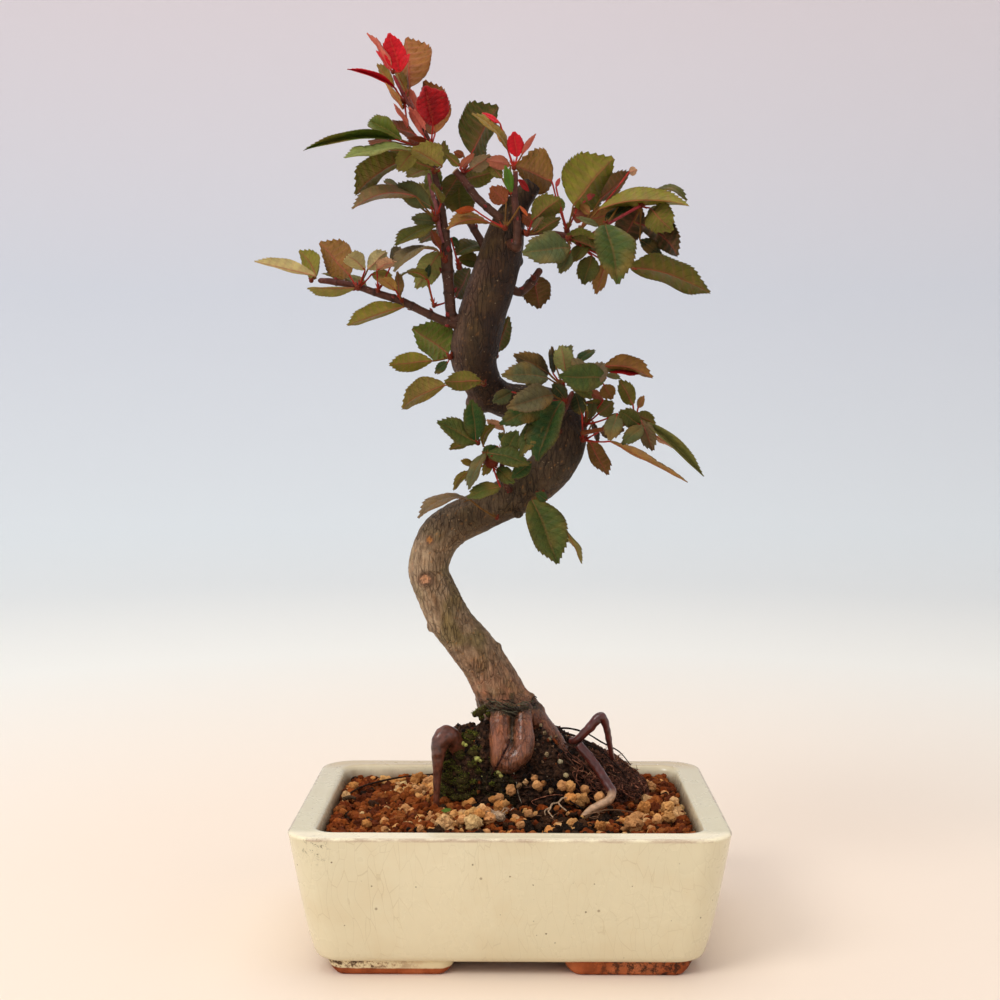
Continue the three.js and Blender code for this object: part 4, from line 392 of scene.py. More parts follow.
    "leaf_spray_leader_tip": ((1.4, -3, 295.78), 1.1, [], [
        ((-0.9, -2, 302.73), (-14.42, -8, 314.9), (0.095, -0.931, -0.353), (0.291, 0.689, 0.663), (0.701, -0.438, 0.563), (0.701, -0.438, 0.563), 5.17, 0.1, "yellowolive", "T"),
        ((-3.94, -2, 312.71), (-10.75, -4, 316.26), (0.068, -0.92, -0.387), (0.212, 0.62, 0.755), (0.509, -0.543, 0.668), (0.509, -0.543, 0.668), 2.14, 0, "crimson", "T"),
        ((-1.69, 2, 306.1), (-4.78, 4, 311.04), (0.864, 0.167, 0.474), (-0.723, 0.351, -0.595), (-0.257, -0.941, 0.22), (0.257, 0.941, -0.22), 1.73, 0, "tan", "U"),
        ((2.53, -4, 299.74), (1.39, -6, 308.93), (-0.953, -0.249, -0.173), (0.956, -0.289, 0.056), (-0.005, 0.977, 0.212), (0.005, -0.977, -0.212), 3.22, 0, "crimson", "T"),
        ((4.36, -4, 300.49), (9.56, -6, 307.83), (0.15, 0.976, 0.159), (-0.558, -0.812, 0.174), (-0.739, 0.298, 0.605), (-0.739, 0.298, 0.605), 2.49, 0, "pinkish", "U"),
    ]),
    "leaf_spray_leader_mid": ((0.25, -1.6, 286.58), 1.2, [], [
        ((0.27, -6, 285.92), (-1.99, -8, 295.7), (-0.38, -0.885, -0.269), (0.798, 0.527, 0.292), (0.759, -0.65, 0.042), (0.759, -0.65, 0.042), 2.77, 0, "vivid", "T"),
        ((-0.16, 4, 298.09), (-9.1, 8, 300.7), (0.317, 0.094, 0.944), (-0.085, 0.404, -0.911), (0.422, 0.905, 0.06), (0.422, 0.905, 0.06), 2.74, 0, "dustypink", "U"),
        ((-3.28, 8, 293.78), (-8.75, 10, 300.27), (0.779, 0.173, 0.603), (-0.655, 0.361, -0.664), (0.224, 0.968, -0.11), (0.224, 0.968, -0.11), 2.35, 0, "olive", "U"),
        ((2.92, -2.5, 291.34), (7.15, 2, 287.86), (0.342, 0.351, 0.871), (0.094, -0.663, -0.743), (0.792, -0.565, 0.233), (0.792, -0.565, 0.233), 1.91, 0, "deepred", "T"),
    ]),
    "leaf_spray_leader_low": ((-2.01, -4.4, 272.98), 1.2, [], [
        ((-7.8, 0, 275.44), (-23.45, -10, 271.55), (-0.493, 0.848, -0.196), (-0.511, 0.539, 0.67), (-0.199, -0.069, 0.978), (-0.565, 0.781, 0.267), 5.12, 0.14, "bronze", "U"),
        ((-13.44, -4, 279.83), (-20.51, -8, 278.92), (0.248, -0.61, 0.753), (-0.441, 0.848, -0.294), (-0.351, 0.431, 0.831), (-0.351, 0.431, 0.831), 2.21, 0, "orange", "U"),
        ((-1.68, 2, 283.31), (-7.48, 4, 289.72), (0.756, 0.178, 0.629), (-0.635, 0.356, -0.686), (0.221, 0.97, -0.103), (0.221, 0.97, -0.103), 3.757, 0, "rust", "U"),
        ((3.68, -6, 281.03), (6.33, -8, 277), (0.747, 0.642, 0.171), (-0.405, -0.896, 0.179), (0.62, -0.461, 0.635), (0.62, -0.461, 0.635), 1.41, 0, "orange", "T"),
    ]),
    "leaf_spray_stump": ((6.36, -4, 270.75), 1.2, [], [
        ((8.38, -2, 276.09), (18.79, -6, 283.76), (-0.533, 0.09, 0.842), (0.55, 0.718, -0.427), (0.019, 0.889, 0.457), (0.019, 0.889, 0.457), 5.592, 0.05, "olive", "U"),
        ((10.18, -2.7, 271.66), (18.85, -6, 276.5), (0.536, 0.687, -0.491), (-0.541, -0.235, 0.808), (-0.009, 0.819, 0.574), (-0.009, 0.819, 0.574), 2.82, 0, "darkolive", "U"),
        ((8.66, -2.8, 272.03), (12.41, -6, 276.89), (0.799, 0.544, -0.258), (-0.816, -0.09, 0.571), (-0.032, 0.823, 0.567), (-0.032, 0.823, 0.567), 1.87, 0, "greybrown", "U"),
        ((10.24, 2, 274.91), (4.09, 4, 279.38), (0.619, 0.416, 0.666), (-0.543, 0.168, -0.822), (0.125, 0.958, -0.257), (0.125, 0.958, -0.257), 2.6, 0.0682131, "rust", "U"),
    ]),
    "leaf_spray_right_top": ((21.84, 3.6, 272.81), 1.3, [], [
        ((16.02, 8, 292.32), (1.92, 14, 299.62), (0.121, 0.836, -0.536), (0.447, 0.031, 0.894), (0.518, 0.791, 0.327), (0.518, 0.791, 0.327), 10.123, 0, "bronze", "U"),
        ((24.31, 2, 282.5), (39.75, 6, 300.99), (-0.772, 0.133, 0.621), (0.27, 0.869, -0.413), (-0.44, 0.879, 0.182), (-0.44, 0.879, 0.182), 12.8646, 0.03, "yellowolive", "U"),
        ((17.52, 2, 289.37), (19.05, 2, 292.78), (0.511, 0.829, -0.228), (-0.834, -0.406, 0.373), (-0.587, 0.766, 0.262), (-0.587, 0.766, 0.262), 1.01, 0, "rose", "U"),
        ((26.15, 6, 282.69), (32.92, 10, 287.48), (-0.154, 0.855, -0.496), (-0.219, -0.574, 0.789), (-0.677, 0.509, 0.531), (-0.677, 0.509, 0.531), 2.49, 0, "rose", "U"),
        ((19.97, 6, 280.4), (14.62, 10, 287.13), (0.824, 0.34, 0.452), (-0.701, 0.211, -0.682), (0.203, 0.904, -0.376), (0.203, 0.904, -0.376), 3.6, 0.0760577, "grassolive", "U"),
        ((23.76, 4, 279.35), (30.12, 8, 279.89), (-0.132, 0.334, -0.933), (-0.194, 0.18, 0.964), (-0.535, 0.843, 0.051), (-0.535, 0.843, 0.051), 3.4, 0.0506423, "dustypink", "U"),
    ]),
    "leaf_spray_right_high": ((25.62, 1.6, 271.79), 1.1, [], [
        ((34.76, 8, 285.26), (46.79, 14, 296.97), (0.04, 0.872, -0.488), (-0.425, -0.551, 0.719), (-0.697, 0.583, 0.418), (-0.697, 0.583, 0.418), 4.81, 0, "brown", "U"),
        ((46.1, 10, 296.32), (49.37, 12, 297.41), (0.084, 0.369, -0.926), (-0.371, 0.101, 0.923), (-0.521, 0.853, -0.004), (-0.521, 0.853, -0.004), 1.75, 0, "palepink", "U"),
        ((33.77, 0, 280.41), (67.6, -8, 280.55), (0.151, 0.709, 0.689), (0.252, 0.967, -0.028), (-0.03, 0.064, 0.997), (0.219, 0.908, 0.358), 8.61, 0.09, "yellowolive", "U"),
        ((30.7, 4, 279.34), (26.92, 6, 283.45), (0.761, 0.132, 0.636), (-0.58, 0.382, -0.72), (-0.328, -0.932, 0.152), (0.328, 0.932, -0.152), 1.74, 0, "bronze", "U"),
        ((28.4, 4, 276.29), (51.61, 10, 283.21), (0.025, 0.712, -0.702), (-0.233, -0.197, 0.952), (-0.341, 0.845, 0.411), (-0.341, 0.845, 0.411), 4.2, 0.0575314, "bronze", "U"),
    ]),
    "leaf_spray_right_inner": ((22.37, -3.4, 268.53), 1.3, [], [
        ((22.6, -8, 264.87), (4.8, -14, 262.19), (0.284, -0.629, -0.723), (-0.151, 0.158, 0.976), (0.243, -0.855, 0.458), (0.243, -0.855, 0.458), 7.0242, 0.05, "greygreen", "T"),
        ((22.6, -8, 263.49), (18.72, -12, 255.22), (0.919, -0.238, -0.316), (-0.816, -0.267, 0.512), (0.185, -0.916, 0.356), (0.185, -0.916, 0.356), 2.69, 0, "greygreen", "T"),
        ((21.27, -2, 270.22), (33.28, -6, 268.21), (0.114, 0.696, -0.709), (0.079, -0.248, 0.966), (0.349, 0.813, 0.466), (0.349, 0.813, 0.466), 3.46, 0.05, "olive", "U"),
        ((22.8, -2, 269.46), (34.16, -4, 264.67), (0.057, 0.962, -0.266), (0.169, -0.7, 0.694), (0.411, 0.476, 0.777), (0.411, 0.476, 0.777), 3.37, 0, "darkolive", "U"),
        ((21.41, 2, 270.7), (14.57, 6, 267.35), (-0.273, 0.299, 0.914), (0.537, 0.241, -0.808), (0.433, 0.885, 0.174), (0.433, 0.885, 0.174), 3, 0.0772423, "olive", "U"),
    ]),
    "leaf_spray_right_front": ((36.31, -5.6, 274.27), 1.1, [], [
        ((35.67, -10, 273.33), (39.8, -20, 250.38), (0.923, -0.263, 0.281), (-0.71, -0.684, 0.17), (0.199, -0.885, 0.421), (0.199, -0.885, 0.421), 8.76, 0.06, "green", "T"),
        ((36.64, 0, 275.76), (47.02, 6, 283.42), (-0.684, 0.462, 0.564), (0.574, -0.805, -0.147), (-0.199, -0.622, 0.757), (-0.199, -0.622, 0.757), 3.84, 0, "blackgreen", "T"),
        ((33.75, -4, 273.73), (25.21, -8, 276.23), (0.278, -0.86, -0.427), (-0.026, 0.569, 0.822), (0.457, -0.528, 0.716), (0.457, -0.528, 0.716), 2.63, 0, "greygreen", "T"),
        ((41.86, 4, 282.76), (50.72, 4, 283.13), (-0.003, 0.997, 0.075), (-0.019, -0.885, 0.464), (-0.041, 0.203, 0.978), (-0.041, 0.203, 0.978), 2.39, 0, "pinkish", "U"),
    ]),
    "leaf_spray_right_end": ((50.14, 1.6, 282.03), 1.1, [], [
        ((56.83, 8, 289.45), (67.64, 4, 284.25), (0.516, 0.598, 0.613), (-0.41, -0.898, -0.162), (0.193, -0.543, 0.818), (0.193, -0.543, 0.818), 3.41, 0.2, "darkolive", "T"),
        ((53.81, 4, 281.6), (61.71, -2, 272.05), (-0.569, 0.397, -0.72), (0.794, 0.091, 0.6), (-0.41, -0.886, 0.218), (0.41, 0.886, -0.218), 5.75, 0.25, "olive", "U"),
        ((47.67, 4, 276.26), (63.46, -4, 262.37), (0.581, -0.216, 0.785), (0.067, 0.896, -0.44), (0.648, 0.68, 0.345), (0.648, 0.68, 0.345), 7.04, 0.2, "darkbrown", "U"),
        ((50.19, 6, 269.61), (58.73, 10, 264.66), (0.567, -0.233, 0.79), (-0.381, -0.278, -0.882), (-0.337, 0.927, 0.166), (0.337, -0.927, -0.166), 2.88, 0, "blackgreen", "T"),
        ((50.5, 6, 282.27), (41.71, 12, 265.67), (-0.872, 0.064, 0.485), (0.827, 0.499, -0.258), (-0.073, 0.925, 0.373), (-0.073, 0.925, 0.373), 5.6, 0.0720241, "darkbrown", "U"),
    ]),
    "leaf_spray_right_low": ((25.9, -1, 267.67), 1.2, [], [
        ((46.06, 2, 258.66), (75.41, -8, 248.14), (0.188, 0.926, -0.328), (0.062, -0.665, 0.744), (0.344, -0.057, 0.937), (0.454, 0.473, 0.755), 9.2768, 0.06, "olive", "U"),
        ((31.33, 0, 262.84), (27.92, -4, 251.82), (0.942, -0.277, -0.19), (-0.898, -0.244, 0.366), (0.079, -0.945, 0.318), (0.079, -0.945, 0.318), 4.21, 0, "darkolive", "T"),
        ((37.06, 6, 261.17), (33.34, 8, 249.2), (-0.928, -0.286, 0.241), (0.664, 0.743, -0.082), (-0.478, 0.83, 0.287), (-0.478, 0.83, 0.287), 3.43, 0, "bronze", "U"),
        ((30.16, 0, 267.03), (23.17, -3, 259.87), (0.596, -0.759, -0.264), (-0.743, 0.278, 0.609), (-0.241, -0.788, 0.566), (-0.241, -0.788, 0.566), 3.4, 0.0875235, "darkolive", "T"),
        ((36.81, 2, 263.81), (44.42, 6, 261.16), (-0.503, 0.48, -0.719), (0.306, 0.048, 0.951), (-0.323, 0.867, 0.381), (-0.323, 0.867, 0.381), 3.4, 0.0448921, "olive", "U"),
    ]),
    "leaf_single_right_back": ((9.23, 11.8, 255.58), 1.2, [], [
        ((9.39, 15.4, 256.98), (11.39, 24, 244.67), (-0.967, 0.255, -0.021), (0.922, 0.198, 0.333), (-0.081, 0.821, 0.566), (-0.081, 0.821, 0.566), 5.907, 0, "brown", "U"),
    ]),
    "leaf_pair_left_tip": ((-77.31, 5.3, 254.02), 1, [], [
        ((-75.57, 6, 255.79), (-97.87, -2, 260.54), (-0.331, 0.943, 0.04), (-0.072, 0.615, 0.786), (-0.222, 0.861, 0.457), (-0.222, 0.861, 0.457), 5.2, 0.03, "straw", "U"),
        ((-75.75, 7.3, 255.64), (-83.87, 18, 266.88), (0.697, -0.196, 0.69), (-0.301, 0.573, -0.762), (0.718, 0.684, -0.132), (0.718, 0.684, -0.132), 4.73, 0.1, "yellowolive", "U"),
    ]),
    "leaf_spray_left_outer": ((-58.95, 3.2, 251.01), 1.3, [], [
        ((-62.62, 6, 256.2), (-75.08, 14, 269.67), (-0.203, 0.73, -0.652), (0.758, 0.195, 0.623), (0.514, 0.857, -0.027), (0.514, 0.857, -0.027), 7.98, 0, "bronze", "U"),
        ((-56.28, 4, 258), (-61.48, -8, 262.09), (-0.916, 0.308, -0.259), (0.49, 0.084, 0.868), (-0.507, 0.467, 0.725), (-0.507, 0.467, 0.725), 3.91, 0.1, "cream", "U"),
        ((-55.32, 6, 258.58), (-48.99, 14, 266.01), (0.499, 0.344, -0.795), (-0.798, 0.076, 0.598), (0.542, -0.761, 0.358), (-0.542, 0.761, -0.358), 3.52, 0.1, "cream", "U"),
        ((-56.94, 14, 252.33), (-74.93, 22, 258.2), (-0.394, -0.918, 0.043), (0.482, 0.739, 0.471), (0.16, -0.325, 0.932), (0.16, -0.325, 0.932), 5.55, 0.05, "khaki", "T"),
        ((-60.21, 4.15, 251.09), (-76.63, -9, 249.96), (-0.401, 0.69, -0.603), (-0.638, 0.762, 0.108), (0.561, -0.784, 0.267), (-0.561, 0.784, -0.267), 5.3268, 0, "khaki", "U"),
        ((-53.77, 6, 256.65), (-45.95, 10, 254.3), (-0.508, 0.697, -0.506), (0.389, -0.239, 0.89), (-0.196, 0.752, 0.63), (-0.196, 0.752, 0.63), 3, 0.0845043, "khaki", "U"),
    ]),
    "leaf_pair_left_mid": ((-51.28, 4, 249.91), 1, [], [
        ((-51.44, 2, 257.8), (-42.9, -8, 259.44), (0.765, 0.634, -0.117), (-0.643, -0.447, 0.622), (0.221, 0.338, 0.915), (0.221, 0.338, 0.915), 3.58, 0.1, "palepink", "U"),
        ((-46.31, 10, 261.29), (-43.55, 20, 268.24), (0.215, 0.516, -0.829), (-0.686, -0.277, 0.673), (0.855, -0.434, 0.284), (-0.855, 0.434, -0.284), 3.37, 0, "greybrown", "U"),
    ]),
    "leaf_spray_left_low": ((-41.99, 4, 246.05), 1, [], [
        ((-44.14, 2, 249.74), (-49.94, -6, 253.61), (0.773, -0.288, 0.565), (-0.826, 0.557, -0.086), (-0.095, 0.488, 0.867), (-0.095, 0.488, 0.867), 2.87, 0.1, "tan", "U"),
        ((-42.6, 2, 247.82), (-43.89, 4, 257.21), (0.876, -0.433, 0.212), (-0.498, 0.832, -0.245), (0.687, 0.724, -0.06), (0.687, 0.724, -0.06), 2.62, 0, "brown", "U"),
        ((-41.22, 4, 243.74), (-61.63, -8, 235.89), (-0.425, 0.875, -0.233), (-0.555, 0.516, 0.652), (-0.298, -0.114, 0.948), (-0.559, 0.794, 0.239), 6.73, 0.02, "yellowolive", "U"),
    ]),
    "leaf_spray_trunk_left": ((-23.6, 8, 224.59), 1.4, [], [
        ((-24.32, 10, 226.05), (-38.95, 18, 236.37), (-0.068, 0.754, -0.653), (0.672, 0.173, 0.72), (0.545, 0.836, 0.06), (0.545, 0.836, 0.06), 8.9676, 0, "grassolive", "U"),
        ((-30.28, 4, 222.88), (-46.05, -4, 221.22), (-0.253, 0.656, -0.711), (-0.29, 0.399, 0.87), (-0.454, 0.881, 0.133), (-0.454, 0.881, 0.133), 4.4712, 0.04, "yellowolive", "U"),
        ((-24.48, 10, 222.72), (-29.82, 14, 218.53), (0.191, -0.576, -0.795), (-0.538, 0.149, 0.829), (-0.63, -0.774, 0.063), (-0.63, -0.774, 0.063), 2.13, 0, "deepgreen", "T"),
    ]),
    "leaf_pair_trunk_front": ((-10.19, 2.2, 213.93), 1.2, [], [
        ((-25.29, 4, 213.52), (-40.91, -8, 204.44), (-0.32, 0.786, -0.529), (-0.356, -0.162, 0.92), (-0.677, 0.624, 0.391), (-0.677, 0.624, 0.391), 6.28, 0.1, "khaki", "U"),
        ((-11.15, -6, 214.9), (-24.71, -10, 214.43), (-0.057, 0.075, 0.996), (-0.1, 0.443, -0.891), (-0.284, 0.94, 0.19), (-0.284, 0.94, 0.19), 3.82, 0.08, "olive", "U"),
    ]),
    "leaf_spray_mid_left": ((-12.43, -1.6, 191.17), 1.1, [], [
        ((-13.19, -2, 191.94), (-14.85, -4, 207.68), (-0.849, -0.505, -0.154), (0.995, -0.024, 0.102), (0.264, -0.96, -0.094), (0.264, -0.96, -0.094), 4.31, 0, "deepgreen", "T"),
        ((-12.81, -2, 191.28), (-27.69, -8, 199.24), (0.041, -0.848, -0.528), (0.268, 0.5, 0.824), (0.56, -0.632, 0.536), (0.56, -0.632, 0.536), 5.635, 0, "green", "T"),
        ((-15.69, 4, 192.23), (-23.67, 8, 188.44), (-0.557, -0.45, 0.698), (0.532, 0.801, -0.274), (-0.046, 0.637, 0.769), (-0.046, 0.637, 0.769), 2.62, 0, "olive", "U"),
    ]),
    "leaf_spray_mid_upper": ((-2.81, 0, 187.66), 1.1, [], [
        ((-10.63, 4, 189.9), (-5.23, 8, 198.04), (0.139, 0.849, -0.509), (-0.567, -0.525, 0.634), (-0.777, 0.588, 0.227), (-0.777, 0.588, 0.227), 2.85, 0.25, "yellowolive", "U"),
        ((-2.5, 9.1, 196.08), (-9.11, 6, 200), (0.601, -0.414, 0.684), (-0.541, 0.791, -0.286), (0.109, 0.683, 0.722), (0.109, 0.683, 0.722), 2.24, 0, "palepink", "U"),
        ((-1.98, -6, 186.66), (2.6, -2, 195.79), (-0.816, -0.252, 0.52), (0.904, -0.261, -0.339), (0.159, -0.931, 0.328), (0.159, -0.931, 0.328), 3.84, 0, "green", "T"),
        ((-0.87, 0, 191.14), (-4.4, 4, 194.96), (-0.824, -0.234, -0.516), (0.604, -0.203, 0.771), (-0.399, -0.792, 0.462), (-0.399, -0.792, 0.462), 1.77, 0, "deepgreen", "T"),
        ((7.98, -5, 183.95), (0.71, -9, 177.97), (0.697, -0.282, -0.659), (-0.542, -0.225, 0.81), (0.281, -0.92, 0.273), (0.281, -0.92, 0.273), 2.76, 0, "deepgreen", "T"),
        ((-5.13, 0, 189.98), (-10.07, -4, 183.91), (0.827, -0.29, -0.482), (-0.662, -0.252, 0.706), (0.27, -0.89, 0.367), (0.27, -0.89, 0.367), 3.4, 0.0285431, "deepgreen", "T"),
    ]),
    "leaf_spray_mid_front": ((-7.24, -4.89, 184.34), 3.15, [], [
        ((-8.87, -6, 187.42), (7.06, -10, 183.12), (0.332, 0.404, 0.852), (-0.334, -0.811, -0.481), (-0.003, -0.738, 0.674), (-0.003, -0.738, 0.674), 4.58, 0.05, "green", "T"),
        ((-14.42, 0, 183.01), (-18.98, -2, 184.43), (-0.164, -0.292, -0.942), (0.374, -0.216, 0.902), (0.381, -0.922, -0.073), (0.381, -0.922, -0.073), 1.4, 0, "olive", "T"),
        ((-9.64, -6, 187.42), (-15.36, -12, 173.92), (0.431, -0.878, 0.208), (-0.804, 0.59, 0.078), (-0.676, -0.523, 0.519), (-0.676, -0.523, 0.519), 4.28, 0.05, "greygreen", "T"),
        ((-5.88, -1.3, 186.15), (-10.46, -4, 178.91), (-0.753, -0.296, 0.587), (0.419, 0.732, -0.538), (-0.607, 0.79, 0.089), (-0.607, 0.79, 0.089), 2.42, 0, "khaki", "U"),
        ((-15.64, 2, 180.23), (-21.7, -2, 173.03), (-0.444, -0.57, 0.691), (0.02, 0.866, -0.499), (-0.768, 0.537, 0.349), (-0.768, 0.537, 0.349), 2.76, 0.1, "khaki", "U"),
        ((-3.88, -8, 174.49), (-15.97, -12, 170.5), (0.416, -0.762, -0.496), (-0.395, 0.342, 0.853), (0.038, -0.762, 0.647), (0.038, -0.762, 0.647), 3.6, 0.08, "green", "T"),
        ((-5.1, -2, 181.54), (1.47, -6, 175.93), (0.55, -0.225, 0.804), (-0.721, -0.327, -0.611), (-0.28, -0.906, 0.318), (-0.28, -0.906, 0.318), 3, 0.0265203, "green", "T"),
    ]),
    "leaf_single_elbow": ((-5.16, 2.2, 161.92), 1, [], [
        ((-15.53, -2, 169.17), (-34.73, -10, 162.55), (0.364, -0.929, 0.066), (-0.471, 0.76, 0.448), (-0.301, -0.065, 0.951), (-0.194, -0.307, 0.932), 5.89, 0.17, "mauve", "T"),
    ]),
    "leaf_spray_hanging": ((11.9, -3, 170.52), 1.78, [], [
        ((8.31, -4, 169.3), (17.99, -10, 145.39), (0.903, -0.182, 0.39), (-0.64, -0.767, -0.051), (0.252, -0.911, 0.325), (0.252, -0.911, 0.325), 8.6, 0.04, "green", "T"),
        ((14.12, -5.85, 169.41), (9.83, -11, 172.36), (-0.348, -0.231, -0.909), (0.683, -0.16, 0.712), (-0.608, 0.71, 0.356), (0.608, -0.71, -0.356), 1.98, 0, "deepgreen", "T"),
        ((21.96, 10, 156.27), (28.09, 14, 143.2), (-0.096, 0.964, 0.25), (0.563, -0.827, 0.011), (0.846, 0.248, 0.473), (0.846, 0.248, 0.473), 4.04, 0.03, "khaki", "U"),
    ]),
    "leaf_spray_bend_upper": ((20.3, -1, 213.09), 1.1, [], [
        ((14.97, 2, 217.78), (1.43, -2, 224.94), (-0.208, -0.633, -0.746), (0.428, 0.149, 0.892), (0.399, -0.878, 0.264), (0.399, -0.878, 0.264), 4.27, 0.05, "darkbrown", "T"),
        ((14.46, -4, 215.97), (-3.07, -12, 216.74), (0.3, -0.774, -0.558), (-0.096, 0.402, 0.911), (0.369, -0.675, 0.639), (0.369, -0.675, 0.639), 5.481, 0.05, "greygreen", "T"),
        ((21.34, -4, 218.37), (19.46, -2, 228.37), (0.963, 0.233, 0.134), (-0.922, 0.307, -0.234), (-0.074, -0.98, 0.182), (0.074, 0.98, -0.182), 3.83, 0.2, "sage", "U"),
        ((16.61, 6, 218.28), (16.25, 8, 228.46), (-0.447, -0.881, 0.157), (0.853, 0.518, -0.071), (0.736, -0.659, 0.156), (0.736, -0.659, 0.156), 2.8, 0, "blackgreen", "T"),
        ((17.67, 2, 220.86), (23.9, 4, 228.66), (-0.79, 0.148, 0.595), (0.645, -0.683, -0.341), (-0.238, -0.878, 0.416), (-0.238, -0.878, 0.416), 3, 0.0426447, "greygreen", "T"),
        ((14.66, 6, 218.67), (6.11, 8, 214.06), (0.304, -0.53, -0.792), (-0.483, -0.047, 0.874), (-0.294, -0.946, 0.135), (-0.294, -0.946, 0.135), 3.6, 0.041889, "greygreen", "T"),
    ]),
    "leaf_spray_bend_top": ((34.38, -3.4, 216.47), 1.3, [[25.16, -4.6, 211.87, 0.92], [29.75, -4.4, 214.16, 0.84], [34.38, -3.4, 216.47, 0.84]], [
        ((36.28, -10, 215.92), (18.26, -18, 216.46), (0.07, -0.224, -0.972), (0.152, -0.279, 0.948), (0.404, -0.914, -0.043), (0.404, -0.914, -0.043), 5.32, 0.06, "green", "T"),
        ((30.14, -12, 213.24), (35.24, -8, 221.65), (-0.782, -0.225, 0.581), (0.874, -0.286, -0.394), (0.166, -0.926, 0.34), (0.166, -0.926, 0.34), 3.79, 0.1, "mauve", "T"),
        ((29.57, -8, 215.97), (23.62, -4, 223.71), (-0.717, -0.665, -0.208), (0.825, 0.223, 0.519), (0.195, -0.802, 0.565), (0.195, -0.802, 0.565), 2.85, 0.05, "mauve", "T"),
        ((25.7, 0, 221.56), (32.7, 4, 226.91), (-0.69, 0.455, 0.563), (0.575, -0.804, -0.152), (-0.209, -0.633, 0.746), (-0.209, -0.633, 0.746), 2.61, 0.1, "deepgreen", "T"),
        ((36.1, 0, 220.79), (54.23, -4, 216.07), (0.195, -0.239, 0.951), (0.143, 0.955, -0.259), (0.252, 0.003, 0.968), (0.321, 0.681, 0.658), 5.283, 0.09, "bronze", "U"),
        ((37.11, 4, 219.76), (50.13, 2, 217.77), (0.208, 0.548, 0.81), (-0.198, -0.901, -0.387), (0.019, -0.64, 0.768), (0.019, -0.64, 0.768), 3.6, 0.05, "deepred", "T"),
        ((36.64, -4, 217.6), (41.72, -8, 215.59), (0.593, 0.404, 0.696), (-0.658, -0.713, -0.244), (-0.116, -0.56, 0.82), (-0.116, -0.56, 0.82), 1.83, 0, "greygreen", "T"),
        ((36.12, 0, 213.49), (39.49, 4, 208.15), (-0.893, 0.291, -0.344), (0.77, 0.173, 0.614), (-0.223, 0.842, 0.491), (-0.223, 0.842, 0.491), 3.1, 0, "bronze", "U"),
        ((24.1, -2, 213.83), (30.83, -6, 208.04), (0.719, 0.298, 0.628), (-0.632, -0.743, -0.221), (0.142, -0.73, 0.669), (0.142, -0.73, 0.669), 3.4, 0.055459, "darkolive", "T"),
        ((37.38, 2, 218.54), (43.44, 6, 222.54), (-0.638, 0.233, 0.734), (0.66, -0.68, -0.32), (0.036, -0.733, 0.679), (0.036, -0.733, 0.679), 2.6, 0.048708, "darkolive", "T"),
    ]),
    "leaf_spray_bend_front": ((21.33, -5.2, 206.9), 1.2, [], [
        ((0.66, 0, 210.81), (-6.6, -4, 206.92), (0.555, -0.232, -0.799), (-0.338, -0.263, 0.903), (0.393, -0.9, 0.19), (0.393, -0.9, 0.19), 2.88, 0, "greygreen", "T"),
        ((16.28, -8, 209.53), (-1.14, -18, 204.54), (0.514, -0.582, -0.63), (-0.103, -0.295, 0.95), (0.403, -0.86, 0.314), (0.403, -0.86, 0.314), 5.59, 0.08, "greybrown", "T"),
        ((19.71, -8, 207.26), (10.53, -14, 184.61), (0.366, -0.926, 0.097), (-0.924, 0.208, 0.32), (-0.558, -0.717, 0.416), (-0.558, -0.717, 0.416), 9.27, 0.05, "deepgreen", "T"),
        ((11.38, -6, 203.85), (0.7, -10, 200.8), (0.425, -0.672, -0.607), (-0.343, 0.221, 0.913), (0.148, -0.818, 0.555), (0.148, -0.818, 0.555), 3.19, 0.05, "green", "T"),
        ((21.36, -4.1, 207.68), (16.37, -4, 213.79), (-0.753, -0.244, -0.611), (0.735, -0.307, 0.605), (-0.033, -0.999, -0.011), (-0.033, -0.999, -0.011), 2.87, 0, "blackgreen", "T"),
        ((14.81, -6, 206.13), (-3.84, -11, 198.53), (0.438, -0.519, -0.734), (-0.364, -0.054, 0.93), (0.121, -0.939, 0.321), (0.121, -0.939, 0.321), 4.8, 0.0800141, "deepgreen", "T"),
        ((13.67, -6, 203.47), (4.12, -12, 186.44), (0.626, -0.776, -0.078), (-0.872, 0.307, 0.381), (-0.403, -0.769, 0.497), (-0.403, -0.769, 0.497), 4.4, 0.0396147, "green", "T"),
    ]),
    "leaf_spray_bend_outer": ((48.01, -1.6, 199.64), 1.3, [[27.3, -0.4, 195.01, 0.93], [37.66, -1.2, 196.94, 0.85], [48.01, -1.6, 199.64, 0.85]], [
        ((47.17, -2, 205.78), (42.56, 4, 215.51), (0.887, -0.059, 0.457), (-0.61, 0.512, -0.605), (-0.503, -0.822, 0.268), (0.503, 0.822, -0.268), 3.33, 0, "olive", "U"),
        ((49.68, -4.7, 198.12), (41.63, -10, 203.45), (-0.446, -0.2, -0.872), (0.652, -0.283, 0.703), (-0.374, 0.875, 0.306), (0.374, -0.875, -0.306), 3.43, 0.05, "darkolive", "T"),
        ((49.26, 0, 204.64), (51.72, 2, 209.29), (0.642, 0.52, -0.564), (-0.878, -0.029, 0.477), (0.428, -0.89, 0.157), (-0.428, 0.89, -0.157), 1.52, 0, "bronze", "U"),
        ((50.72, -6, 197.75), (42.59, -8, 190.91), (0.654, -0.329, -0.681), (-0.598, -0.212, 0.773), (0.102, -0.981, 0.166), (0.102, -0.981, 0.166), 2.92, 0.2, "greygreen", "T"),
        ((50.28, -2, 200.02), (54.77, -4, 188.54), (-0.686, 0.623, -0.377), (0.917, -0.122, 0.38), (0.419, 0.908, 0.006), (0.419, 0.908, 0.006), 3.37, 0, "mauvetan", "U"),
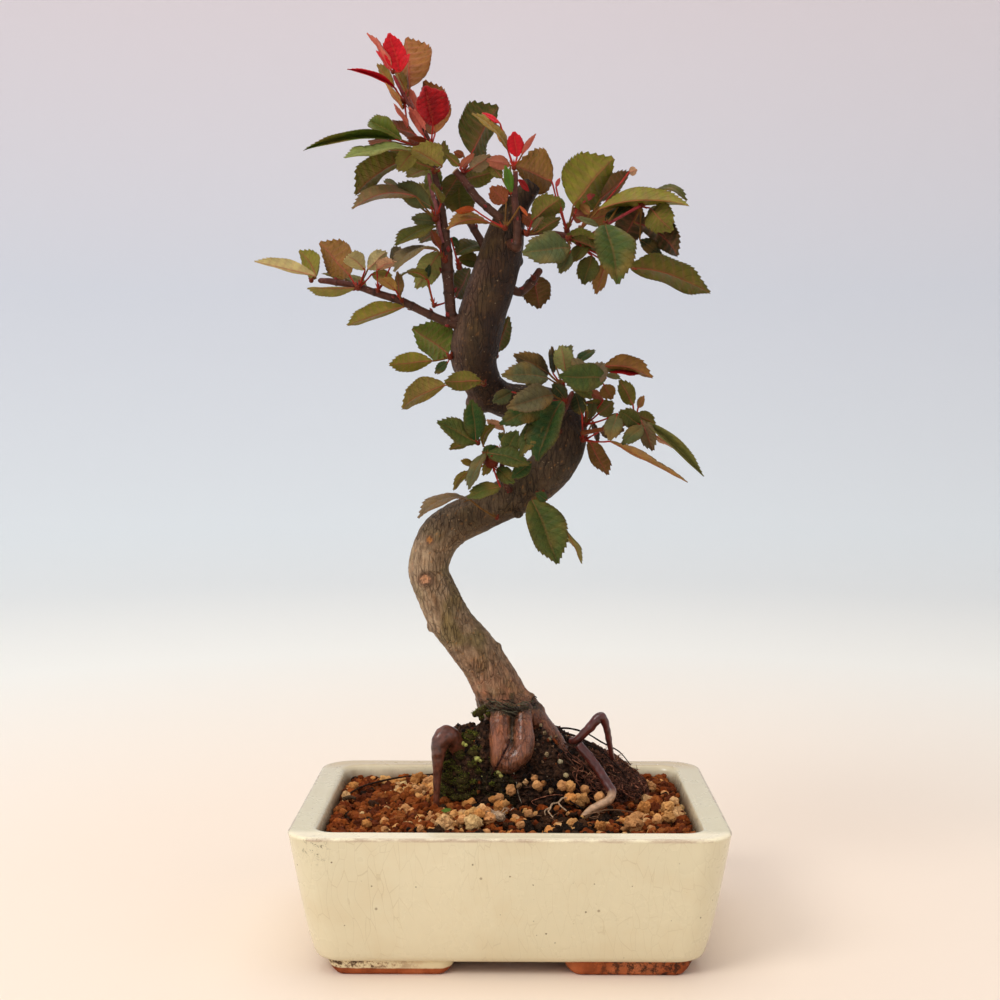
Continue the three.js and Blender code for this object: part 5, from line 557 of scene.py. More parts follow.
        ((52.21, 0, 199.07), (73.81, -6, 178.53), (0.151, -0.891, 0.428), (-0.275, -0.961, -0.013), (0.659, -0.104, 0.745), (-0.065, -0.974, 0.218), 6.576, 0.03, "sage", "T"),
        ((56.83, 6, 193.77), (65.91, 14, 188.13), (-0.548, 0.798, 0.249), (0.723, -0.644, 0.25), (0.316, 0.28, 0.906), (0.316, 0.28, 0.906), 3.61, 0, "palepink", "U"),
        ((45.43, 0, 200.79), (37.2, 4, 198.46), (0.191, -0.171, -0.967), (-0.417, -0.377, 0.827), (-0.372, -0.899, -0.229), (-0.372, -0.899, -0.229), 3.2, 0.0824282, "green", "T"),
        ((48.67, 2, 202.33), (56.41, 6, 198.45), (-0.568, 0.404, -0.717), (0.384, 0.143, 0.912), (-0.303, 0.898, 0.32), (-0.303, 0.898, 0.32), 3, 0.0374601, "olive", "U"),
    ]),
    "leaf_spray_bend_inner": ((29, 3.2, 198.23), 1.35, [], [
        ((33.97, 2, 202.33), (40.14, 8, 207.03), (0.474, 0.186, -0.861), (-0.728, 0.25, 0.638), (0.461, -0.79, 0.403), (-0.461, 0.79, -0.403), 3.5, 0, "olive", "U"),
        ((29.9, -2, 203.1), (26.51, 0, 207.72), (0.507, -0.592, 0.627), (-0.082, 0.892, -0.445), (0.771, 0.544, 0.33), (0.771, 0.544, 0.33), 1.64, 0, "khaki", "U"),
        ((29.31, 2, 206.97), (36.12, 6, 205.84), (-0.518, 0.791, -0.324), (0.413, -0.486, 0.77), (-0.191, 0.554, 0.81), (-0.191, 0.554, 0.81), 2.15, 0, "olive", "U"),
        ((40.64, -8, 202.32), (37.58, -12, 192.5), (0.934, -0.318, -0.161), (-0.911, -0.194, 0.363), (0.041, -0.93, 0.366), (0.041, -0.93, 0.366), 3.41, 0, "greybrown", "T"),
        ((36, 4, 207.77), (30.35, 8, 211.32), (0.39, -0.241, 0.889), (-0.03, 0.64, -0.768), (0.653, 0.725, 0.22), (0.653, 0.725, 0.22), 2.1, 0, "dustypink", "U"),
        ((30.88, 2, 200.4), (32.12, 4, 206.99), (-0.984, 0.041, 0.173), (0.807, -0.589, 0.027), (-0.29, -0.899, 0.327), (-0.29, -0.899, 0.327), 2.4, 0.06886, "greygreen", "T"),
    ]),
    "leaf_spray_bend_low": ((28.19, 2, 192.27), 1.2, [], [
        ((38.78, -2, 191.74), (67.18, -10, 176.5), (0.266, 0.964, -0.01), (0.005, -0.876, 0.482), (0.492, 0.159, 0.856), (0.492, 0.159, 0.856), 6.4224, 0, "tan", "U"),
        ((30.51, 4, 192.24), (38.12, 8, 178.66), (-0.613, 0.785, -0.089), (0.865, -0.366, 0.344), (0.457, 0.76, 0.462), (0.457, 0.76, 0.462), 4.28, 0, "brown", "U"),
        ((32.66, 14, 199.59), (34.49, 18, 190.82), (-0.231, 0.902, 0.363), (0.702, -0.692, -0.169), (0.854, 0.382, 0.353), (0.854, 0.382, 0.353), 2.65, 0, "darkbrown", "U"),
        ((27.6, -2, 201.94), (24.96, 0, 210.42), (-0.944, -0.228, -0.24), (0.885, -0.309, 0.348), (-0.107, -0.975, 0.197), (-0.107, -0.975, 0.197), 3.08, 0, "blackgreen", "T"),
        ((34.82, 3, 195.75), (44.49, 8, 196.09), (-0.173, 0.397, -0.901), (-0.107, 0.138, 0.985), (-0.459, 0.878, 0.136), (-0.459, 0.878, 0.136), 3.2, 0.0649138, "darkbrown", "U"),
    ]),
    "leaf_single_trunk_back": ((-5.82, 22.4, 225.56), 1.3, [], [
        ((-5.44, 24, 227.22), (-0.65, 28, 241.46), (0.552, 0.736, -0.392), (-0.879, -0.292, 0.378), (-0.593, 0.805, -0.027), (-0.593, 0.805, -0.027), 4.2, 0, "darkolive", "U"),
    ]),
}

# ---------------------------------------------------------------- camera, light, backdrop
def build_stage():
    cam = bpy.data.cameras.new("camera"); co = bpy.data.objects.new("camera", cam)
    bpy.context.scene.collection.objects.link(co); bpy.context.scene.camera = co
    cam.lens = 53.12; cam.sensor_width = 36; cam.sensor_fit = "HORIZONTAL"; cam.clip_start = 0.01; cam.clip_end = 50
    f = Vector((-0.01130882, 0.99833553, -0.05655339)); r = Vector((0.99993585, 0.01132694, 0)); u = Vector((-0.00064058, 0.05654976, 0.99839958))
    loc = Vector((0.0025 + OX, -0.5708 + OY, 0.2014))
    co.matrix_world = Matrix(((r.x, u.x, -f.x, loc.x), (r.y, u.y, -f.y, loc.y), (r.z, u.z, -f.z, loc.z), (0, 0, 0, 1)))

    # backdrop: a floor that sweeps up into a wall all round, so every view sees it
    prof = [(0.0, 0.0), (0.3, 0.0), (0.7, 0.0), (1.2, 0.0)] + [(1.2 + 0.8 * math.sin(a), 0.8 - 0.8 * math.cos(a)) for a in np.linspace(0.1, math.pi / 2, 14)] + [(2.0, 1.4), (2.0, 2.6)]
    n = 96; V = []; F = []
    for k, (rr, z) in enumerate(prof):
        for i in range(n):
            a = 2 * math.pi * i / n; V.append((OX + rr * math.cos(a), OY + rr * math.sin(a), z))
    for k in range(len(prof) - 1):
        for i in range(n):
            j = (i + 1) % n
            if k == 0:
                F.append((k * n, (k + 1) * n + i, (k + 1) * n + j)) if i else F.append((0, n, n + 1))
            else:
                F.append((k * n + i, (k + 1) * n + i, (k + 1) * n + j, k * n + j))
    me = bpy.data.meshes.new("backdrop"); me.from_pydata(V, [], F); me.update()
    o = bpy.data.objects.new("backdrop", me); bpy.context.scene.collection.objects.link(o)
    me.polygons.foreach_set("use_smooth", np.ones(len(me.polygons), bool))
    m = Mat("backdrop_paper")
    x, y, z = m.xyz(m.coord())
    dx, dy = m.math("SUBTRACT", x, OX), m.math("SUBTRACT", y, OY)
    rad = m.math("SQRT", m.math("ADD", m.math("MULTIPLY", dx, dx), m.math("MULTIPLY", dy, dy)))
    t = m.math("DIVIDE", m.math("ADD", rad, z), 4.6)      # out along the floor, then up the wall
    col = m.ramp(t, [(0.0, lin((243, 225, 205))), (0.05, lin((244, 229, 211))), (0.15, lin((238, 238, 230))), (0.33, lin((222, 229, 230))), (0.50, lin((212, 216, 222))), (0.63, lin((222, 213, 215))), (1, lin((222, 212, 215)))])
    # the backdrop is greyed a little towards its right side: painted shade
    side = m.ramp(dx, [(-.2, 0), (.9, 1)]); col = m.mix(m.math("MULTIPLY", side, .12), col, lin((150, 140, 132)))
    # the backdrop glows a little, more so further out and up the wall: painted light that brightens it
    painted_glow = m.ramp(t, [(0, 0), (.05, .0), (.15, .08), (.34, .165), (.5, .165), (.63, .175), (1, .175)])
    m.set(Base_Color=col, Roughness=1.0, Specular_IOR_Level=0.0, Emission_Color=col, Emission_Strength=painted_glow)
    m.m.cycles.emission_sampling = "NONE"
    me.materials.append(m.m)

    def area(name, loc, size, power, color, target=(0, 0, 0.15)):
        d = bpy.data.lights.new(name, "AREA"); d.shape = "RECTANGLE"; d.size, d.size_y = size; d.energy = power; d.color = color
        lo = bpy.data.objects.new(name, d); bpy.context.scene.collection.objects.link(lo)
        lo.location = (loc[0] + OX, loc[1] + OY, loc[2])
        dirv = Vector((target[0] + OX, target[1] + OY, target[2])) - lo.location
        lo.rotation_euler = dirv.to_track_quat("-Z", "Y").to_euler()
        return lo
    area("key", (-0.98, -0.92, 1.25), (0.75, 0.75), 12.9, (1.0, 0.99, 0.965))
    area("fill_right", (1.15, -0.7, 0.75), (1.0, 1.0), 1.7, (1.0, 0.99, 0.98))
    area("top", (0.0, 0.15, 1.5), (1.2, 1.2), 7.6, (1.0, 1.0, .99))
    w = bpy.data.worlds.new("studio"); bpy.context.scene.world = w; w.use_nodes = True
    bg = w.node_tree.nodes["Background"]; bg.inputs[0].default_value = (0.93, 0.95, 1.0, 1); bg.inputs[1].default_value = 0.56
    sc = bpy.context.scene
    sc.view_settings.view_transform = "Standard"; sc.view_settings.look = "None"; sc.view_settings.exposure = 0; sc.view_settings.gamma = 1


# ---------------------------------------------------------------- pot
def rrect_ring(a, b, r, z, n=14, edge=26):
    """Rounded rectangle ring with n points round each corner and edge points along each side."""
    out = []
    cs = [(a - r, b - r, 0), (-(a - r), b - r, 90), (-(a - r), -(b - r), 180), (a - r, -(b - r), 270)]
    for q, (x, y, d) in enumerate(cs):
        for i in range(n + 1):
            t = math.radians(d + 90 * i / n); out.append((x + r * math.cos(t), y + r * math.sin(t), z))
        x2, y2, d2 = cs[(q + 1) % 4]
        p = out[-1]; t = math.radians(d2); s = (x2 + r * math.cos(t), y2 + r * math.sin(t), z)
        for i in range(1, edge):
            k = i / edge; out.append((p[0] * (1 - k) + s[0] * k, p[1] * (1 - k) + s[1] * k, z))
    return np.array(out)


def interp_rings(keys, n):
    """keys = [(a, b, r, z)], returns n ring parameter sets along a smooth curve through them."""
    K = np.array(keys, float); d = np.r_[0, np.cumsum(np.linalg.norm(np.diff(K[:, [0, 3]], axis=0), axis=1) + 1e-6)]
    s = np.linspace(0, d[-1], n)
    from_ = np.stack([np.interp(s, d, K[:, i]) for i in range(4)], 1)
    return from_


def build_pot():
    a, b = 80.0, 60.0
    # outer wall, bottom edge to rim: a small round lower edge, a slightly bellied wall that leans out, a narrow chamfer at the flat rim
    outer = [(60.0, 40.0, 7.0, 4.6), (66.6, 46.6, 8.6, 4.65), (69.0, 49.0, 9.4, 4.95), (70.6, 50.6, 10.2, 5.9), (71.5, 51.5, 10.6, 7.5)]
    for z in np.linspace(9.6, 51.4, 28):
        k = (z - 9.6) / 41.8; g = 72.0 + (79.8 - 72.0) * (k ** 0.85)
        outer.append((g, g - 20, 10.8 + 2.2 * k, z))
    outer += [(80.0, 60.0, 13.0, 52.1), (79.95, 59.95, 13.0, 52.5), (79.6, 59.6, 12.8, 52.85), (79.0, 59.0, 12.5, 53.0), (78.0, 58.0, 12.0, 53.0)]
    flat = [(g, g - 20, 11.6 - (77.6 - g) * 0.5, 52.98 - 0.10 * math.sin((77.6 - g) / 6 * math.pi)) for g in np.linspace(77.2, 71.8, 6)]
    lip = [(70.9, 50.9, 8.4, 52.75), (70.2, 50.2, 8.1, 52.1), (69.9, 49.9, 8.0, 51.0)]
    inner = [(g, g - 20 + 0.6 * 0, 8.0, z) for g, z in zip(np.linspace(69.6, 63.2, 12), np.linspace(49.5, 19.0, 12))]
    inner += [(61.8, 42.6, 7.6, 15.6), (60.0, 40.9, 7.0, 13.4), (57.5, 38.4, 6.0, 12.5)]
    rings = outer + flat + lip + inner
    V = []; n = None
    for (ga, gb, r, z) in rings:
        R = rrect_ring(ga, gb, r, z); n = len(R)
        for p in R:                                   # hand-made wobble, a fraction of a millimetre, always inwards
            q = Vector((p[0] * .022, p[1] * .022, z * .03 + 3))
            w = 0.22 * (noise.noise(q) - 1.0) * 0.5
            l = math.hypot(p[0], p[1]); V.append((p[0] * (1 + w / l), p[1] * (1 + w / l), p[2] - (0.12 * (1 + noise.noise(q * 2.1)) * 0.5 if z > 50 else 0)))
    F = []
    for k in range(len(rings) - 1):
        for i in range(n):
            j = (i + 1) % n; F.append((k * n + i, k * n + j, (k + 1) * n + j, (k + 1) * n + i))
    F.append(tuple(reversed(range(n)))); m = (len(rings) - 1) * n; F.append(tuple(range(m, m + n)))
    me = bpy.data.meshes.new("pot_body"); me.from_pydata([tuple(to_m(v)) for v in V], [], F); me.update()
    pot = bpy.data.objects.new("pot_body", me); bpy.context.scene.collection.objects.link(pot)

    def cutter(name, V, F):
        m = bpy.data.meshes.new(name); m.from_pydata([tuple(to_m(v)) for v in V], [], F); m.update()
        o = bpy.data.objects.new(name, m); bpy.context.scene.collection.objects.link(o); return o

    def apply_all(o):
        dg = bpy.context.evaluated_depsgraph_get(); me2 = bpy.data.meshes.new_from_object(o.evaluated_get(dg)); o.modifiers.clear(); o.data = me2

    cuts = []
    for sx in (-38, 38):
        V2, F2 = [], []; k = 40
        for z, r in ((1, 8.7), (5.0, 8.6), (5.7, 8.0), (11.9, 8.0), (12.6, 8.7), (20, 8.7)):
            V2 += [(sx + r * math.cos(2 * math.pi * i / k), r * math.sin(2 * math.pi * i / k), z) for i in range(k)]
        for q in range(5):
            F2 += [(q * k + i, q * k + (i + 1) % k, (q + 1) * k + (i + 1) % k, (q + 1) * k + i) for i in range(k)]
        F2 += [tuple(reversed(range(k))), tuple(range(5 * k, 6 * k))]
        cuts.append(cutter("drain_cut", V2, F2))
    for c in cuts:
        md = pot.modifiers.new("b", "BOOLEAN"); md.operation = "DIFFERENCE"; md.solver = "EXACT"; md.object = c
    apply_all(pot)
    for c in cuts:
        bpy.data.objects.remove(c)
    # feet: L-shaped corner feet, unglazed, with rounded lower edges
    feet = Geo()
    for sx in (-1, 1):
        for sy in (-1, 1):
            x1, x0 = (66.4, 19.4) if sx < 0 else (66.6, 19.2)
            for (cx, cy, hx, hy) in ((sx * (x1 + x0) / 2, sy * (49.6 - 6.6), (x1 - x0) / 2, 6.6), (sx * (x1 - 6.8), sy * (49.6 - 18), 6.8, 18)):
                ks = [(4.6, 1.9, 0.0, 3.0), (3.6, 1.1, 0.3, 3.6), (2.6, .6, 1.1, 4.4), (1.5, 0.35, 2.3, 5.0), (0.6, 0.2, 3.7, 5.6), (0.1, 0.1, 4.8, 5.9), (0.1, 0.1, 5.6, 5.9), (1.4, 1.4, 7.1, 5.0)]
                VV = []
                for dx, dy, z, r in ks:
                    R = rrect_ring(hx - dx, hy - dy, min(r, hy - dy - .2), z, 5, 8)
                    for p in R:
                        w = 1 + 0.006 * noise.noise(Vector((p[0] * .3 + cx, p[1] * .3 + cy, z * .5)))
                        VV.append((cx + p[0] * w, cy + p[1] * w, z))
                n2 = len(R); FF = []
                for k in range(len(ks) - 1):
                    FF += [(k * n2 + i, k * n2 + (i + 1) % n2, (k + 1) * n2 + (i + 1) % n2, (k + 1) * n2 + i) for i in range(n2)]
                FF += [tuple(reversed(range(n2))), tuple(range((len(ks) - 1) * n2, len(ks) * n2))]
                feet.add(VV, FF, (1, 1, 1))
    glaze = glaze_material(); clay = clay_material()
    fo = feet.build("pot_feet", [clay])
    pot.data.materials.clear(); pot.data.materials.append(glaze)
    pot.data.polygons.foreach_set("use_smooth", np.ones(len(pot.data.polygons), bool))
    show(pot, "glazed_clay", "pot")
    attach(fo, "root")
    pot.name = "pot_body"


def glaze_material():
    m = Mat("cream_glaze"); co = m.coord(); X, Y, Z = m.xyz(co)
    big = m.noise(co, 14, 3, .5); mid = m.noise(co, 60, 4, .6)
    base = m.mix(m.ramp(big, [(.35, 0), (.65, 1)]), lin((229, 218, 184)), lin((222, 212, 178)))
    base = m.mix(m.math("MULTIPLY", m.ramp(mid, [(.5, 0), (.8, 1)]), .35), base, lin((214, 192, 150)))
    # greener glaze on the rim top, painted paler along the front strip as a highlight and darker at the back as painted
    # shade
    rim = m.ramp(Z, [(.0517, 0), (.0528, 1)])
    rim_glaze_and_painted_light = m.ramp(m.math("ADD", m.math("SUBTRACT", Y, OY), .06), [(.0088, lin((254, 242, 205))), (.0115, lin((214, 206, 170))), (.104, lin((210, 200, 166))), (.111, lin((200, 178, 136)))])
    base = m.mix(m.math("MULTIPLY", rim, .85), base, rim_glaze_and_painted_light)
    # outer edge of the rim where the glaze runs thin: a broken brown-mauve line
    e1 = m.ramp(Z, [(.0515, 0), (.0521, 1), (.0530, 1), (.0534, 1)])
    outx = m.math("GREATER_THAN", m.math("ABSOLUTE", m.math("SUBTRACT", X, OX)), .0789)
    outy = m.math("GREATER_THAN", m.math("ABSOLUTE", m.math("SUBTRACT", Y, OY)), .0589)
    outer = m.math("MAXIMUM", outx, outy)
    brk = m.ramp(m.noise(m.mapping(co, (1, 1, 4)), 90, 6, .75), [(.38, 0), (.58, 1)])
    base = m.mix(m.math("MULTIPLY", m.math("MULTIPLY", e1, outer), m.math("MULTIPLY", brk, .6)), base, lin((158, 120, 98)))
    # crackle: mostly upright hairlines with a few level ones
    wob = m.noise(co, 25, 2, .5)
    dv = m.node("ShaderNodeVectorMath", operation="MULTIPLY_ADD"); cc = m.node("ShaderNodeCombineXYZ")
    m.link(m.math("MULTIPLY", wob, .020), cc.inputs[0]); m.link(m.math("MULTIPLY", wob, .020), cc.inputs[1])
    m.link(co, dv.inputs[0]); dv.inputs[1].default_value = (1, 1, .17); m.link(cc.outputs[0], dv.inputs[2])
    v1 = m.voronoi(dv.outputs[0], 290, "DISTANCE_TO_EDGE")
    crack = m.ramp(v1, [(.0, 1), (.022, 0)])
    faint = m.ramp(m.noise(co, 30, 3, .6), [(.35, 0), (.65, 1)])
    base = m.mix(m.math("MULTIPLY", m.math("MULTIPLY", crack, faint), .30), base, lin((166, 144, 104)))
    # dark pinholes and specks
    v2 = m.voronoi(co, 210); pin = m.ramp(v2, [(.0, 1), (.05, 1), (.09, 0)])
    keep = m.ramp(m.noise(co, 420, 2, .5), [(.50, 0), (.56, 1)])
    base = m.mix(m.math("MULTIPLY", m.math("MULTIPLY", pin, keep), .85), base, lin((92, 74, 48)))
    v3 = m.voronoi(m.mapping(co, (1, 1, 1), (3.1, 1.7, .4)), 75); pit = m.ramp(v3, [(.0, 1), (.028, 1), (.048, 0)])
    base = m.mix(m.math("MULTIPLY", pit, .6), base, lin((110, 88, 60)))
    # lichen marks near the upper left front corner
    dx = m.math("SUBTRACT", X, OX - .0690); dz = m.math("SUBTRACT", Z, .0490); dy = m.math("SUBTRACT", Y, OY - .059)
    rr = m.math("SQRT", m.math("ADD", m.math("ADD", m.math("MULTIPLY", dx, dx), m.math("MULTIPLY", dz, dz)), m.math("MULTIPLY", dy, dy)))
    near = m.ramp(rr, [(.0, 1), (.003, .7), (.0070, 0)])
    lich = m.ramp(m.noise(co, 620, 5, .75), [(.55, 0), (.62, 1)])
    base = m.mix(m.math("MULTIPLY", near, lich), base, lin((70, 62, 36)))
    # soil stain inside: brown near the soil line and damp marks
    inx = m.math("LESS_THAN", m.math("ABSOLUTE", m.math("SUBTRACT", X, OX)), .0712); iny = m.math("LESS_THAN", m.math("ABSOLUTE", m.math("SUBTRACT", Y, OY)), .0512)
    inside = m.math("MULTIPLY", inx, iny)
    st = m.math("MULTIPLY", inside, m.ramp(m.math("ADD", Z, m.math("MULTIPLY", m.noise(co, 90, 4, .6), .004)), [(.0495, 1), (.0535, 0)]))
    st = m.math("MULTIPLY", st, m.ramp(Z, [(.0400, 0), (.0430, 1)]))
    base = m.mix(m.math("MULTIPLY", st, .85), base, lin((118, 84, 54)))
    # thin glaze low on the wall shows a warmer body
    low = m.ramp(Z, [(.0047, 1), (.0058, 0)])
    base = m.mix(m.math("MULTIPLY", low, .5), base, lin((205, 180, 128)))
    under = m.ramp(Z, [(.0046, 1), (.0047, 0)])
    base = m.mix(under, base, lin((150, 92, 56)))
    rough = m.math("ADD", .20, m.math("MULTIPLY", mid, .16))
    h = m.math("SUBTRACT", m.math("MULTIPLY", big, .5), m.math("ADD", m.math("MULTIPLY", pin, .25), m.math("MULTIPLY", crack, .06)))
    m.set(Base_Color=base, Roughness=rough, Normal=m.bump(h, .35, .0006), Coat_Weight=0.25, Coat_Roughness=0.12, Specular_IOR_Level=0.45)
    return m.m


def clay_material():
    m = Mat("terracotta"); co = m.coord(); X, Y, Z = m.xyz(co)
    n1 = m.noise(co, 120, 5, .65); n2 = m.noise(co, 45, 3, .5)
    base = m.mix(m.ramp(n1, [(.3, 0), (.7, 1)]), lin((120, 52, 20)), lin((190, 100, 52)))
    base = m.mix(m.math("MULTIPLY", m.ramp(n2, [(.5, 0), (.62, 1)]), .5), base, lin((205, 128, 84)))
    spot = m.ramp(m.noise(co, 300, 6, .8), [(.47, 0), (.56, 1)])
    # dark lichen on the outer part of the right foot and the upper left foot
    right = m.ramp(m.math("SUBTRACT", X, OX), [(.026, 0), (.036, .9), (.050, 1), (.066, 1), (.07, .6)])
    left = m.math("MULTIPLY", m.ramp(m.math("SUBTRACT", OX, X), [(.028, 0), (.050, 1)]), m.ramp(Z, [(.0018, 0), (.0032, 1)]))
    base = m.mix(m.math("MULTIPLY", m.math("MAXIMUM", right, left), m.math("MULTIPLY", spot, .95)), base, lin((52, 30, 16)))
    # glaze that ran over the top of the left feet
    run = m.math("MULTIPLY", m.ramp(m.math("SUBTRACT", OX, X), [(.0, 0), (.004, 1)]), m.ramp(m.math("ADD", Z, m.math("MULTIPLY", n1, .0012)), [(.0030, 0), (.0034, 1)]))
    base = m.mix(m.math("MULTIPLY", run, m.math("SUBTRACT", 1, m.math("MULTIPLY", m.math("MULTIPLY", spot, left), .95))), base, lin((224, 208, 166)))
    m.set(Base_Color=base, Roughness=.85, Normal=m.bump(n1, .5, .0006), Specular_IOR_Level=0.25)
    return m.m



# ---------------------------------------------------------------- soil, mound, moss
def mound_z(x, y):
    """Height of the root mound's surface over the pot plan, or None outside it."""
    best = None
    for k in range(len(MOUND) - 1):
        (cx, cy, a, b, z), (cx2, cy2, a2, b2, z2) = MOUND[k], MOUND[k + 1]
        f0 = (abs(x - cx) / a) ** 2.15 + (abs(y - cy) / b) ** 2.15
        f1 = (abs(x - cx2) / a2) ** 2.15 + (abs(y - cy2) / b2) ** 2.15
        if f0 <= 1 and f1 > 1:
            t = (1 - f0) / (f1 - f0 + 1e-9); best = z + (z2 - z) * min(1, max(0, t))
        elif f1 <= 1:
            best = z2
    return best


MOUND = [(12, 20, 38, 21, 34), (12, 21.5, 42.5, 23.5, 46), (12, 21.8, 42.6, 23.6, 52), (11.5, 21.6, 40.5, 22.6, 58.5), (10.5, 21.4, 35.5, 20.4, 65), (9.6, 21, 30, 17.5, 69.5), (9, 20.6, 24, 14, 73), (8, 20.5, 14, 8, 75.6)]
SOIL_RED = [lin(c) for c in ((146, 70, 24), (126, 58, 22), (160, 84, 34), (104, 48, 20), (172, 100, 48))]
SOIL_TAN = [lin(c) for c in ((246, 184, 114), (250, 200, 140), (236, 164, 92), (240, 176, 114))]
SOIL_BLACK = [lin(c) for c in ((44, 30, 20), (60, 40, 25), (34, 24, 16), (78, 50, 30))]


def soil_material():
    m = Mat("soil_grains"); co = m.coord(); c = m.attr()
    n1 = m.noise(co, 900, 4, .7); n2 = m.noise(co, 330, 5, .7)
    c2 = m.mix(m.ramp(n2, [(.3, 0), (.75, 1)]), m.mix(1.0, c, (.50, .45, .40), "MULTIPLY"), m.mix(1.0, c, (1.30, 1.27, 1.22), "MULTIPLY"))
    dust = m.ramp(m.voronoi(co, 1300), [(.0, 1), (.22, 0)])
    c2 = m.mix(m.math("MULTIPLY", dust, .5), c2, m.mix(.5, c2, (.45, .30, .18)))
    m.set(Base_Color=c2, Roughness=.92, Normal=m.bump(m.math("ADD", n1, m.math("MULTIPLY", n2, 1.2)), .9, .0014), Specular_IOR_Level=.12)
    return m.m


def grain(geo, p, r, col, rng, squash=None):
    V = ICO1 if r < 2.15 else ICO2; F = ICO1F if r < 2.15 else ICO2F
    s = rng.uniform(.78, 1.2, 3) * r
    R = rot_random(rng); o = rng.uniform(0, 50, 3)
    W = []
    for v in V:
        k = 1 + .42 * noise.noise(Vector(tuple(v * 1.3 + o))) + .34 * noise.noise(Vector(tuple(v * 3.4 + o)))
        W.append(v * k * s)
    W = np.array(W) @ R.T + p
    jit = rng.uniform(.82, 1.18)
    # each grain is painted lighter on top and darker underneath: painted light and shade
    top = np.clip(.8 + .25 * (W[:, 2] - p[2]) / r, .55, 1.05)[:, None]
    geo.add(W, F, np.clip(np.array(col) * jit, 0, 1)[None, :] * top)


